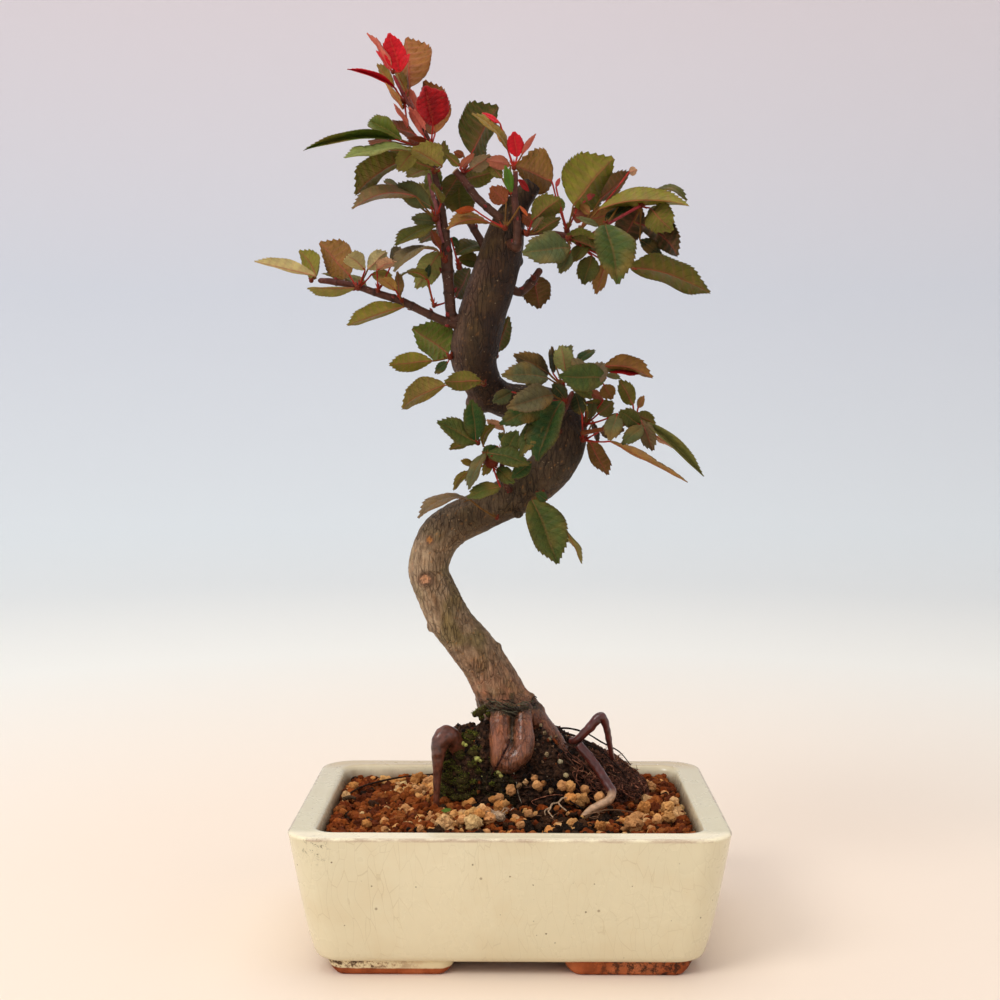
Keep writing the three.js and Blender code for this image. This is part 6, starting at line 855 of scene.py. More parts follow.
def build_soil():
    g = Geo(); rng = np.random.default_rng(77)
    # the bed below the grains: a bumpy sheet with walls, inside the pot; its soil red is darkened to 0.55 as painted
    # shade where it shows between the grains
    n = 84; xs = np.linspace(-67.9, 67.9, n); ys = np.linspace(-47.9, 47.9, 60)
    V = []; C = []
    for y in ys:
        for x in xs:
            h = 46.4 + .9 * noise.noise(Vector((x * .12, y * .12, 1))) + .7 * noise.noise(Vector((x * .4, y * .4, 4)))
            mz = mound_z(x, y)
            V.append((x, y, h)); k = .5 + .5 * noise.noise(Vector((x * .2, y * .2, 9)))
            C.append(np.array(SOIL_RED[1]) * .55 * (.8 + .5 * k))
    F = []
    for j in range(59):
        for i in range(n - 1):
            F.append((j * n + i, j * n + i + 1, (j + 1) * n + i + 1, (j + 1) * n + i))
    base = len(V); ring = [j for j in range(n)] + [(j + 1) * n - 1 for j in range(1, 60)] + [59 * n + i for i in range(n - 2, -1, -1)] + [j * n for j in range(58, 0, -1)]
    for i in ring:
        x, y, _ = V[i]; V.append((x * .905, y * .86, 17.6)); C.append(C[i])
    for i in ring:
        x, y, _ = V[i]; V.append((x * .855, y * .815, 12.9)); C.append(C[i])
    m = len(ring)
    for q in range(m):
        a, b = ring[q], ring[(q + 1) % m]; F.append((b, a, base + q, base + (q + 1) % m))
        F.append((base + (q + 1) % m, base + q, base + m + q, base + m + (q + 1) % m))
    F.append(tuple(base + m + q for q in range(m)))
    g.add(V, F, np.array(C))
    # grains in layers
    pts = []
    def zone(x, y):
        """Which mix of soil lies here: weights of red, tan, black."""
        red, tan, black = 1.0, .10, .06
        for (cx, cy, rr, wt) in ((-39, 36, 11, 2.5), (-24, -23, 9, 2.4), (-12, -20, 10, 2.6), (2, -14, 8, 1.6), (20, -30, 7, .9), (34, -27, 7, .4), (46, -25, 7, .6), (58, -16, 7, 2.2), (62, 2, 8, 1.4), (66, -6, 6, 1.6), (-36, 22, 9, 1.2), (-30, 28, 9, 1.6)):
            tan += wt * math.exp(-((x - cx) ** 2 + (y - cy) ** 2) / (rr * rr))
        for (cx, cy, rr, wt) in ((14, -25, 15, 5.2), (30, -21, 12, 4.2), (4, -10, 9, 1.6), (-30, -38, 7, 2.0), (-16, -40, 8, 1.8), (-62, -25, 8, .4)):
            black += wt * math.exp(-((x - cx) ** 2 + (y - cy) ** 2) / (rr * rr))
        return red, tan, black
    def place(count, rmin, rmax, zlo, tries=40):
        k = 0; t = 0
        while k < count and t < count * tries:
            t += 1
            x = rng.uniform(-67.6, 67.6); y = rng.uniform(-47.6, 47.6)
            if abs(x) > 62 and abs(y) > 42 and (abs(x) - 61) ** 2 + (abs(y) - 41) ** 2 > 36:
                continue
            mz = mound_z(x, y)
            if mz is not None and mz > 55:
                continue
            r = rng.uniform(rmin, rmax)
            if abs(x) > 68.2 - r * .8 or abs(y) > 48.2 - r * .8:
                continue
            if any((x - q[0]) ** 2 + (y - q[1]) ** 2 < (.78 * (r + q[2])) ** 2 and q[3] == zlo for q in pts[-4000:]):
                continue
            z = zlo + rng.uniform(-.5, .5)
            pts.append((x, y, r, zlo)); k += 1
            red, tan, black = zone(x, y); w = rng.uniform(0, red + tan + black)
            pal = SOIL_RED if w < red else SOIL_TAN if w < red + tan else SOIL_BLACK
            if pal is SOIL_BLACK and rng.uniform() < .5:
                r *= .6
            grain(g, np.array((x, y, z)), r, pal[rng.integers(len(pal))], rng)
    place(250, 2.2, 3.3, 47.3)
    place(520, 1.3, 2.1, 48.1)
    place(470, .7, 1.2, 49.0)
    # scattered big pale grains and a few pumice-like ones
    for (x, y, z, r) in ((-9.0, -22.5, 52.2, 2.4), (-7.6, -28.4, 51.6, 2.2), (-14.6, -24.6, 52, 2.6), (-11.4, -28.6, 53.6, 2.1), (-17.6, -29.6, 51.4, 2.1), (-24.3, -32.5, 51, 3.1), (-11, -17, 51.3, 2.3), (-13.6, -32.4, 51, 3.3), (-3.4, -11.9, 51.6, 2.7), (-1.6, -13.0, 53.4, 1.7), (.3, -1.5, 55.6, 2.3), (-4.3, -3.5, 52.8, 2.2), (-6.6, -4.4, 52.6, 1.9), (7.1, -18.9, 51.2, 1.8),
                         (10.9, -1.5, 57.4, 2.1), (20.2, -2.4, 57.4, 2.5), (23.3, -2.6, 57.2, 2.3), (23.7, -4.2, 53.1, 2.5), (28, -4.2, 52.4, 2.6), (35, -5, 53.6, 2.0), (29.2, -2.6, 56.3, 1.8), (33.2, -35.1, 51, 2.3), (45.2, -33, 51.1, 3.2), (60.8, -9.7, 51.2, 2.4),
                         (51.5, -11.3, 51.2, 2.4), (59.7, -23.9, 51.2, 2.4), (57, 22.6, 51.2, 2.2), (64.2, -.8, 51.2, 2.0), (-65, 6.9, 51, 1.7), (-64, 22.8, 51, 1.8), (-52.8, -33.4, 51, 1.8), (-45.4, -41, 51, 1.6), (3.8, -34.1, 51, 1.6), (-32.7, -39.8, 51, 1.5),
                         (-39, 36, 50.6, 2.8), (-33, 33, 50.6, 2.4), (55, -27, 51, 1.9), (48, -22, 51, 2.0)):
        grain(g, np.array((x, y, z)), r, SOIL_TAN[rng.integers(len(SOIL_TAN))], rng)
    # white fungus-like threads and thin roots lying on the soil
    for (x, y, k) in ((-4, -22, 9), (-6, -25, 7)):
        for _ in range(k):
            p = np.array((x + rng.normal() * 1.4, y + rng.normal() * 1.2, 52.6)); a = rng.uniform(0, 6.28); pp = [[*p, .11]]
            for q in range(6):
                a += rng.normal() * .9; p = p + np.array((math.cos(a) * .9, math.sin(a) * .7, rng.normal() * .35)); p[2] = min(54.0, max(51.2, p[2])); pp.append([*p, .11])
            tube(g, pp, lin((232, 210, 182)), sides=5, step=.6)
    for _ in range(3):
        grain(g, np.array((-4.6 + rng.normal(), -23.5 + rng.normal(), 51.2)), 1.9, lin((232, 200, 164)), rng)
    wr = lin((214, 184, 150))
    tube(g, [[22.4, -5.4, 53.6, .24], [20.2, -7.2, 53.9, .32], [18.6, -9.6, 52.9, .34], [16.2, -10.8, 52.6, .32], [15.4, -14.6, 51.7, .30], [14.6, -18.4, 51.7, .28], [16.2, -23.4, 50.9, .2]], wr, sides=8, step=.6, bump=.4)
    tube(g, [[18.6, -9.6, 52.8, .34], [19.6, -12.6, 52.2, .3], [21.6, -15.4, 51.2, .22]], wr, sides=7, step=.6, bump=.4)
    tube(g, [[15.6, -13.2, 52.0, .28], [13.4, -16.4, 51.6, .24], [13.4, -20.0, 50.8, .16]], wr, sides=7, step=.6, bump=.4)
    for _ in range(9):
        p = np.array((rng.uniform(12, 38), rng.uniform(-30, -12), 51.2)); a = rng.uniform(0, 6.28); pp = [[*p, .14]]
        for q in range(5):
            a += rng.normal() * .6; p = p + np.array((math.cos(a) * 1.4, math.sin(a) * 1.4, rng.normal() * .3)); p[2] = min(51.8, max(50.4, p[2])); pp.append([*p, .12])
        tube(g, pp, lin((150, 112, 84)), sides=5, step=.8)
    # thin dark root along the back left, and a bark chip
    tube(g, [[-66, 10, 50, .35], [-60, 22, 51, .4], [-50, 33, 51.2, .4], [-38, 41, 51, .35], [-22, 44, 50.8, .3], [-10, 43, 50.3, .25]], lin((58, 40, 28)), sides=6, step=1.2, bump=.3)
    tube(g, [[-66, 4, 50.3, .8], [-63.5, 3.4, 51.3, .9], [-61, 2.6, 50.9, .7]], lin((86, 66, 48)), sides=7, step=.6, bump=.6)
    tube(g, [[28, -21, 50.6, .3], [34, -16, 51.2, .4], [40, -13, 51.0, .3], [47, -14, 50.4, .25]], lin((120, 90, 66)), sides=6, step=1, bump=.3)
    # a fallen scrap of green leaf
    V = np.array([(-26, -20.5, 52.6), (-24.4, -19.0, 53.2), (-22.2, -19.3, 53.0), (-22.6, -21.2, 52.6), (-24.5, -22, 52.3)])
    g.add(np.vstack([V, V - [0, 0, .15]]), [(0, 1, 2, 3, 4), (9, 8, 7, 6, 5)] + [(i, i + 5, (i + 1) % 5 + 5, (i + 1) % 5) for i in range(5)], lin((98, 128, 48)))
    o = g.build("soil_bed", [soil_material()], False)
    show(o, "soil", "soil_bed")
    o.name = "soil_grains"
    return o


def sag(p):
    """The mound's right shoulder lies lower than its middle."""
    k = min(1, max(0, (p[0] - 15) / 12)); h = min(1, max(0, (p[2] - 50) / 12)); p[2] -= 4.6 * k * k * (3 - 2 * k) * h
    return p


def build_mound():
    """The lifted root ball: dark crumbly soil matted with fine roots, with small stones in it."""
    g = Geo(); rng = np.random.default_rng(5)
    N = 150; rings = []
    keys = np.array(MOUND, float); zz = np.r_[np.linspace(40, 52, 8), np.linspace(53, 75.6, 34)]
    V = []; C = []
    dark = np.array(lin((52, 37, 26))); brown = np.array(lin((112, 76, 52))); green = np.array(lin((62, 72, 26)))
    for z in zz:
        cx, cy, a, b = (np.interp(z, keys[:, 4], keys[:, i]) for i in range(4))
        for i in range(N):
            t = 2 * math.pi * i / N; c, s = math.cos(t), math.sin(t)
            dx = math.copysign(abs(c) ** (2 / 2.15), c); dy = math.copysign(abs(s) ** (2 / 2.15), s)
            p = np.array((cx + a * dx, cy + b * dy, z))
            q = Vector(tuple(p * .16)); q2 = Vector(tuple(p * .55)); q3 = Vector(tuple(p * 1.5))
            d = -1.3 + 2.2 * noise.noise(q) + 2.0 * noise.noise(q2) + 1.5 * noise.noise(q3)
            d = min(d, 1.1)
            p = sag(p + np.array((dx, dy, .25)) * d)
            V.append(p)
            k = .5 + .5 * noise.noise(q2); k2 = noise.noise(Vector(tuple(p * .09)) + Vector((5, 5, 5)))
            col = dark * (1 - k) + brown * k
            if p[0] < 2 and k2 > -.1:
                col = col * .5 + green * .5
            C.append(col)
    F = []
    for k in range(len(zz) - 1):
        for i in range(N):
            F.append((k * N + i, k * N + (i + 1) % N, (k + 1) * N + (i + 1) % N, (k + 1) * N + i))
    top = len(V); V.append(np.array((8, 20.5, 75.2))); C.append(dark)
    F += [((len(zz) - 1) * N + i, (len(zz) - 1) * N + (i + 1) % N, top) for i in range(N)]
    # the underside closes a little way down in the soil
    bot = len(V); V.append(np.array((12, 20, 24))); C.append(dark); F += [((i + 1) % N, i, bot) for i in range(N)]
    g.add(V, F, np.array(C))

    def surf(x, y, lift=0):
        z = mound_z(x, y); return np.array((x, y, (z if z is not None else 49) + lift))
    # higher soil behind the knee root and round the lobes
    def hump(c, s3, n_crumb):
        W = []
        for v in ICO3:
            p = v * s3 + c; k = 1 + .13 * noise.noise(Vector(tuple(p * .22))) + .09 * noise.noise(Vector(tuple(p * .7))) + .05 * noise.noise(Vector(tuple(p * 1.7)))
            W.append(v * s3 * k + c)
        W = np.array(W); kk = np.array([.5 + .5 * noise.noise(Vector(tuple(p * .55))) for p in W])[:, None]
        g.add(W, ICO3F, dark * (1 - kk) + brown * kk)
        for _ in range(n_crumb):
            q = W[rng.integers(len(W))]; u = rng.uniform()
            grain(g, q, rng.uniform(.35, 1.0) * (1 if u < .93 else .55), SOIL_BLACK[rng.integers(4)] if u < .8 else SOIL_RED[rng.integers(5)] if u < .93 else lin((206, 194, 166)), rng)
    hump(np.array((-17.0, 11.5, 60.0)), np.array((10.5, 8.5, 18.6)), 130)
    hump(np.array((-10.5, 10.0, 68.0)), np.array((6.0, 6.5, 12.6)), 60)
    hump(np.array((10.5, 9.0, 66.0)), np.array((7.5, 6.5, 11.6)), 90)
    # crumbs and small stones stuck to the flanks
    for _ in range(930):
        t = rng.uniform(0, 2 * math.pi); z = rng.uniform(49, 75) if rng.uniform() < .8 else 75
        cx, cy, a, b = (np.interp(z, keys[:, 4], keys[:, i]) for i in range(4))
        c, s = math.cos(t), math.sin(t)
        p = np.array((cx + (a - .6) * math.copysign(abs(c) ** (2 / 2.15), c), cy + (b - .6) * math.copysign(abs(s) ** (2 / 2.15), s), z))
        if rng.uniform() < .35:
            k = rng.uniform(0, .9); p = np.array((cx + (p[0] - cx) * k, cy + (p[1] - cy) * k, 0)); mz = mound_z(p[0], p[1]); p[2] = mz if mz else 50
        p = sag(p); u = rng.uniform(); r = rng.uniform(.35, 1.25)
        col = SOIL_BLACK[rng.integers(4)] if u < .80 else SOIL_RED[rng.integers(5)] if u < .90 else lin((104, 80, 58)) if u < .95 else lin((206, 194, 166))
        if u > .95:
            r *= .5
        grain(g, p, r, col, rng)
    # tan bits caught at the front between the root lobes
    for (x, z) in ((3.5, 57), (6, 58.5), (11.5, 56), (13.2, 58), (9.5, 60), (16, 55), (1.0, 55)):
        grain(g, np.array((x, -.6 + rng.uniform(-.5, .5), z)), rng.uniform(.9, 1.4), SOIL_TAN[rng.integers(4)], rng)
    root_cols = [np.array(lin(c)) for c in ((82, 50, 38), (62, 38, 29), (48, 30, 24), (98, 62, 46), (42, 28, 22), (70, 44, 34))]
    # a mat of fine roots over the flanks, hanging down the right side
    for _ in range(300):
        right = rng.uniform() < .9
        x = rng.uniform(20, 50) if right else rng.uniform(-28, 22); z = rng.uniform(56, 74)
        t = math.pi * rng.uniform(-.85, -.1) if not right else math.pi * rng.uniform(-.36, .3)
        cx, cy, a, b = (np.interp(z, keys[:, 4], keys[:, i]) for i in range(4))
        pp = []; zc = z; rr = rng.uniform(.08, .26) if right else rng.uniform(.07, .15); th = t
        for s in range(rng.integers(5, 10)):
            cx, cy, a, b = (np.interp(zc, keys[:, 4], keys[:, i]) for i in range(4))
            c, sn = math.cos(th), math.sin(th); out = .2 + rng.uniform(0, 2.0) * (1 if right else .3)
            pp.append([*sag([cx + (a + out) * math.copysign(abs(c) ** (2 / 2.15), c), cy + (b + out) * math.copysign(abs(sn) ** (2 / 2.15), sn), zc]), rr])
            zc = max(49.6, zc - rng.uniform(.6, 3.4)); th += rng.normal() * .09; rr *= .93
        tube(g, pp, root_cols[rng.integers(6)] * (4.8 if right else 1.3), sides=5, step=1.35, bump=.25, taper_end=True)
    # frayed hair roots standing out from the right flank
    for _ in range(180):
        t = math.pi * rng.uniform(-.40, .28); z = rng.uniform(52, 70); cx, cy, a, b = (np.interp(z, keys[:, 4], keys[:, i]) for i in range(4)); c, sn = math.cos(t), math.sin(t)
        p = sag(np.array([cx + a * math.copysign(abs(c) ** (2 / 2.15), c), cy + b * math.copysign(abs(sn) ** (2 / 2.15), sn), z])); d = np.array((c * .8, sn * .8, rng.uniform(-.9, .5))); pp = [[*(p - d), .2]]
        for q in range(4):
            d = d + rng.normal(size=3) * .45; d[2] -= .12; d /= np.linalg.norm(d); p = p + d * rng.uniform(.6, 1.45); pp.append([*p, .15 - .02 * q])
        tube(g, pp, lin(((204, 134, 96), (162, 98, 72), (226, 170, 128))[rng.integers(3)]), sides=4, step=1.3, taper_end=True)
    # ragged crumbs and root tufts along the right shoulder
    for _ in range(46):
        x = rng.uniform(30, 50); y = rng.uniform(6, 20); cx, cy, a, b = (np.interp(58, keys[:, 4], keys[:, i]) for i in range(4)); mz = mound_z(x, y)
        if mz is None:
            continue
        p = sag(np.array((x, y, mz))); up = np.array((.55, -.25, .8)); up /= np.linalg.norm(up)
        grain(g, p + up * rng.uniform(-.2, .9), rng.uniform(.6, 1.5), lin(((96, 58, 38), (70, 42, 28), (120, 76, 50))[rng.integers(3)]), rng)
        for q in range(2):
            d = up + rng.normal(size=3) * .5; d /= np.linalg.norm(d); pp = [[*(p - d * .5), .2]]; e = p.copy()
            for w in range(4):
                d = d + rng.normal(size=3) * .35; d[2] -= .16; d /= np.linalg.norm(d); e = e + d * rng.uniform(.7, 1.3); pp.append([*e, .17 - .03 * w])
            tube(g, pp, lin(((150, 92, 66), (112, 66, 46), (182, 124, 92))[rng.integers(3)]), sides=4, step=1.2, taper_end=True)
    # roots that arch over the right shoulder, as the photograph's silhouette shows
    for (pts) in ([[13, 14, 76, .5], [20, 13, 75.5, .45], [27, 14, 73.2, .4], [34, 15, 69.5, .32], [41, 17, 64, .25], [46, 18, 58, .2]],
                  [[14, 15, 75, .4], [22, 17, 76.2, .42], [30, 18, 74.2, .36], [37, 19, 70, .3], [44, 20, 66, .25], [49, 21, 60, .2]],
                  [[20, 11, 72, .36], [27, 8.5, 69, .36], [33, 7, 64, .3], [37, 5, 58, .28], [40, 3, 52, .2]],
                  [[24, 12, 73, .3], [30, 9.5, 71.5, .3], [37, 9, 68, .26], [43, 10, 62, .2], [48, 10, 55, .18]],
                  [[10, 6, 60, .4], [15, 2, 57, .42], [20, -2, 54, .36], [24, -8, 52.5, .3], [28, -13, 51.4, .22]],
                  [[2, 5, 63, .28], [4.6, 2.6, 68, .3], [7, 2.0, 63, .3], [8.4, .5, 57, .26], [9, -3, 52.5, .2]]):
        tube(g, pts, root_cols[rng.integers(3)], sides=8, step=.8, bump=.3, taper_end=True, seed=rng.integers(99))
    # pale thread over the front of the right lobe
    tube(g, [[-.5, 3.6, 67, .16], [1.0, 1.2, 63, .18], [2.4, .8, 58.5, .18], [3.2, -1.5, 54, .16], [4.5, -5, 51.4, .14]], lin((214, 204, 180)), sides=6, step=.8)
    # thin dark root hooked over the foot of the left lobe, and pale grains sitting in the dark soil on the right
    tube(g, [[-.2, 2.6, 75.4, .3], [-.9, -3.0, 73.6, .42], [-2.2, -3.4, 71.2, .46], [-3.4, -3.2, 68.6, .44], [-4.9, -1.8, 65.6, .4], [-6.6, .6, 62.6, .34], [-7.4, 3, 60, .25]], lin((86, 46, 36)), sides=9, step=.6, bump=.3)
    for (x, z, r) in ((12.1, 79.0, .8), (13.6, 76.4, .9), (15.6, 74.0, .8), (14.4, 68.8, 1.0), (16.0, 67.0, .9), (15.6, 63.8, .8), (18.2, 74.6, .7), (10.9, 72.6, .7), (16.8, 71.2, .6), (12.6, 66.0, .6), (13.8, 61.6, .7)):
        e = 1 - ((x - 10.5) / 7.9) ** 2 - ((z - 66) / 12.2) ** 2; y = 9.0 - 6.8 * math.sqrt(max(0, e)); grain(g, np.array((x, y - .3, z)), r, lin((208, 184, 140) if r > .75 else (190, 150, 112)), rng)
    m = Mat("root_ball_soil"); co = m.coord(); c = m.attr()
    n1 = m.noise(co, 700, 5, .75); n2 = m.noise(co, 170, 4, .6)
    c2 = m.mix(m.ramp(n1, [(.3, 0), (.75, 1)]), m.mix(1.0, c, (.5, .46, .42), "MULTIPLY"), m.mix(1.0, c, (1.5, 1.42, 1.34), "MULTIPLY"))
    wp = m.mapping(co, (1, 1, 1), (.2, .4, .1)); v1, v2 = m.voronoi(wp, 620), m.voronoi(co, 1300); crumb = m.math("ADD", m.math("MULTIPLY", v1, -1.4), m.math("MULTIPLY", v2, -.6))
    # darker where the crumb bump is lowest: painted shade in the crevices between crumbs
    c2 = m.mix(m.ramp(v1, [(.35, 0), (.62, .85)]), c2, m.mix(1.0, c2, (.3, .27, .25), "MULTIPLY"))
    pale = m.math("MULTIPLY", m.ramp(v2, [(.0, 1), (.09, 1), (.14, 0)]), m.ramp(m.noise(co, 640, 2, .5), [(.58, 0), (.62, 1)])); c2 = m.mix(m.math("MULTIPLY", pale, .7), c2, lin((196, 178, 150)))
    m.set(Base_Color=c2, Roughness=.9, Normal=m.bump(m.math("ADD", crumb, m.math("ADD", n1, n2)), .9, .0018), Specular_IOR_Level=.25)
    o = g.build("root_ball_surface", [m.m], False)
    show(o, "root_soil", "root_ball")
    return o


def build_moss():
    g = Geo(); rng = np.random.default_rng(11)
    ks = np.array(MOUND, float)
    cols = [lin(c) for c in ((72, 74, 28), (92, 100, 32), (118, 124, 44), (62, 52, 26), (146, 144, 68))]
    cent = [(-15, 8.5, 64, 15.5, 1.0), (-22, 8, 57, 8, .8), (-7, 4, 60, 7, .8), (8, 2, 56, 4.2, .5), (-12, 12, 72, 6, .6), (-18, 4, 53, 8, .7)]
    pts = [(np.array(c), np.array((-.3, -.9, .3)), r) for c, r in (((-12.2, 9.0, 84.0), 2.0), ((-10.4, 8.2, 85.2), 1.7), ((-14.0, 9.4, 83.2), 1.3), ((-8.6, 7.6, 83.4), 1.2), ((-11.4, 8.6, 81.8), 1.3))]
    for p, nrm, r in pts:
        g.add(ICO2 * r * .9 + p, ICO2F, np.array(cols[3]) * .8)
    def at(z, th):
        cx, cy, a, b = (np.interp(z, ks[:, 4], ks[:, i]) for i in range(4)); c, s = math.cos(th), math.sin(th)
        return np.array((cx + a * math.copysign(abs(c) ** (2 / 2.15), c), cy + b * math.copysign(abs(s) ** (2 / 2.15), s), z)), np.array((c, s, .35))
    # cushions: low domes that carry the tufts
    for _ in range(340):
        z = rng.uniform(50, 74); th = rng.uniform(-math.pi * 1.08, -.42)
        p, nrm = at(z, th)
        w = max(max(0, 1 - np.linalg.norm((p - np.array(c[:3])) / c[3])) * c[4] for c in cent)
        w += .18 * noise.noise(Vector(tuple(p * .25)))
        if p[0] < -6 and rng.uniform() < .75:              # on the raised left shoulder the moss sits further up and forward
            a = rng.uniform(-math.pi * .95, -.25); e = rng.uniform(-.9, 1.0); d = np.array((math.cos(a) * math.cos(e), math.sin(a) * math.cos(e), math.sin(e))); p = np.array((-17.0, 11.5, 60.0)) + d * np.array((10.7, 8.7, 18.9)); nrm = d
            w = .50 + .5 * noise.noise(Vector(tuple(p * .22)))
            if p[2] < 50:
                continue
        if w < .16:
            continue
        r = rng.uniform(1.0, 2.2) * (.6 + w)
        pts.append((p, nrm / np.linalg.norm(nrm), r))
        V = ICO2 * [r, r, r * .7] ; R = rot_random(rng)
        W = []
        for v in V:
            k = 1 + .25 * noise.noise(Vector(tuple(v * 1.8 + p)))
            W.append(v * k)
        W = np.array(W) + p - nrm * .45 * r * .5
        g.add(W, ICO2F, np.array(cols[3]) * rng.uniform(.7, 1.2))
    # tufts: tiny three-sided spikes, painted darker at the base as shade inside the cushion and lighter at the tip as
    # painted light
    allp = [q for q in pts]
    for _ in range(8200):
        p, nrm, r = allp[rng.integers(len(allp))]
        d = rng.normal(size=3); d[2] = abs(d[2]) * .9 + .15; d += nrm * .8; d /= np.linalg.norm(d)
        b = p - nrm * .45 * r * .5 + d * r * rng.uniform(.72, .98)
        L = rng.uniform(.5, 1.25); w = rng.uniform(.10, .2)
        d2 = d + rng.normal(size=3) * .35; d2 /= np.linalg.norm(d2)
        u = np.cross(d2, [0.3, 0.5, 0.8]); u /= np.linalg.norm(u); v = np.cross(d2, u)
        tri = [b + w * (u * math.cos(a) + v * math.sin(a)) for a in (0, 2.09, 4.19)]
        c = np.array(cols[rng.integers(5)]) * rng.uniform(.75, 1.35)
        g.add([*tri, b + d2 * L], [(0, 1, 3), (1, 2, 3), (2, 0, 3), (2, 1, 0)], np.array([c * .6, c * .6, c * .6, c * 1.25]))
    # wiry dead moss and hair roots wound round the collar above the lobes
    for _ in range(46):
        a0 = rng.uniform(-2.9, -.2); da = rng.uniform(.35, 1.1); z0 = 86.4 + rng.normal() * 1.5; lift = rng.uniform(-.2, 2.4); pp = []
        for q in range(7):
            t = q / 6; a = a0 + da * t; R = 10.2 + rng.normal() * .35 + (.9 if q in (2, 3, 4) else 0)
            pp.append([-.2 + R * math.cos(a) * (1.0 if math.cos(a) < 0 else .92), 14.2 + R * 1.04 * math.sin(a), z0 + lift * math.sin(t * math.pi) + rng.normal() * .25 - 1.4 * t, rng.uniform(.13, .26)])
        tube(g, pp, lin(((60, 52, 44), (78, 70, 58), (44, 34, 26), (96, 92, 76))[rng.integers(4)]), sides=5, step=.8, taper_end=True)
    # yellow-green and pale lumps
    for (x, z, c, r) in ((-18.9, 72.8, (190, 190, 104), 1.5), (-13.0, 66.8, (196, 196, 112), 1.4), (-10.3, 58.5, (184, 184, 84), 1.6)):
        e = 1 - ((x + 17) / 10.9) ** 2 - ((z - 60) / 19.0) ** 2; q = np.array((x, 11.5 - 9.4 * math.sqrt(max(0, e)), z)); grain(g, q, r * .72, lin(c), rng); grain(g, q + [.8 * r, .2, -.5 * r], r * .6, lin(c), rng); grain(g, q + [-.5 * r, .1, .6 * r], r * .5, lin((200, 194, 128)), rng)
    for (x, z, c, r) in ((-4.0, 62.0, (196, 190, 122), 1.3), (-3.0, 60.6, (186, 180, 104), 1.0), (20.0, 66, (190, 176, 146), 1.0), (21.5, 61, (180, 160, 124), .9)):
        th = min((abs(at(z, t)[0][0] - x), t) for t in np.linspace(-math.pi, 0, 120))[1]
        p, nrm = at(z, th); grain(g, p + nrm * .3, r, lin(c), rng)
    m = Mat("moss"); co = m.coord(); c = m.attr()
    n1 = m.noise(co, 1200, 3, .6)
    c2 = m.mix(m.ramp(n1, [(.3, 0), (.7, 1)]), m.mix(1.0, c, (.6, .6, .55), "MULTIPLY"), m.mix(1.0, c, (1.25, 1.25, 1.1), "MULTIPLY"))
    m.set(Base_Color=c2, Roughness=.95, Normal=m.bump(n1, .6, .0006), Specular_IOR_Level=.15)
    o = g.build("moss_tufts", [m.m])
    show(o, "moss", "moss_cushion")
    return o


# ---------------------------------------------------------------- surface roots
def root_material():
    m = Mat("surface_root"); co = m.coord(); c = m.attr()
    n1 = m.noise(m.mapping(co, (1, 1, .35)), 420, 4, .6); n2 = m.noise(co, 120, 3, .5)
    c2 = m.mix(m.ramp(n1, [(.3, 0), (.72, 1)]), m.mix(1.0, c, (.66, .6, .58), "MULTIPLY"), m.mix(1.0, c, (1.22, 1.2, 1.2), "MULTIPLY"))
    m.set(Base_Color=c2, Roughness=m.math("ADD", .22, m.math("MULTIPLY", n2, .3)), Normal=m.bump(m.math("ADD", n1, n2), .6, .0006), Specular_IOR_Level=.42, Coat_Weight=.45, Coat_Roughness=.2)
    return m.m


def build_roots(mat):
    g = Geo()
    mv, dk = np.array(lin((124, 72, 52))), np.array(lin((54, 26, 18)))
    def cf(s, q, a):
        k = .5 + .5 * noise.noise(Vector(tuple(np.asarray(q) * .35))); k2 = noise.noise(Vector(tuple(np.asarray(q) * .9)))
        c = mv * (1 - k) + dk * k
        return c * (1.35 if k2 > .3 else .62 if k2 < -.25 else 1.0)
    y0 = STEMS["root_left_knee"][-1][1]
    knee = [[-29.0, y0, 45.5, 1.2], [-28.9, y0, 50, 1.25], [-28.8, y0, 54, 1.35], [-28.6, y0, 60, 1.7], [-28.3, y0 + .1, 65, 2.2], [-28.1, y0 + .3, 70, 2.9], [-27.2, y0 + .9, 74.2, 3.6], [-25.3, y0 + 2.2, 76.3, 3.9], [-22.9, y0 + 4.4, 74.8, 3.7], [-20.9, y0 + 6.6, 70.6, 3.3], [-19.6, y0 + 8.2, 65.0, 2.9]]
    tube(g, knee, mv, sides=28, step=.5, bump=.09, colfn=cf, radial=lambda s, a: 1 + .05 * math.sin(a * 2 + s * 5))
    o = g.build("root_knee", [mat]); show(o, "root", "root_left_knee")
    g = Geo()
    red, rd = np.array(lin((98, 38, 30))), np.array(lin((56, 24, 19))); tan = np.array(lin((206, 166, 126)))
    def cf2(s, q, a):
        k = .5 + .5 * noise.noise(Vector(tuple(np.asarray(q) * .45)))
        return red * (1 - k) + rd * k
    def cf3(s, q, a):
        c = cf2(s, q, a); t = min(1, max(0, (s - .56) / .09)); return c * (1 - t) + tan * t * (.85 + .3 * noise.noise(Vector(tuple(np.asarray(q) * .9))))
    loop = [[x, y, z, r * k] for (x, y, z, r), k in zip(STEMS["root_right_loop"], (.72, .80, .98, 1.06, .78, .58))]
    loop[-1][2] -= 1.5; loop.append([40.6, 7.5, 66.0, .9])
    tube(g, loop, red, sides=20, step=.45, bump=.12, colfn=cf2, radial=lambda s, a: 1 + .04 * math.sin(s * 70))
    tube(g, STEMS["root_right_low"], red, sides=18, step=.45, bump=.14, colfn=cf3)
    o = g.build("root_loop", [mat]); show(o, "root", "root_right_loop")



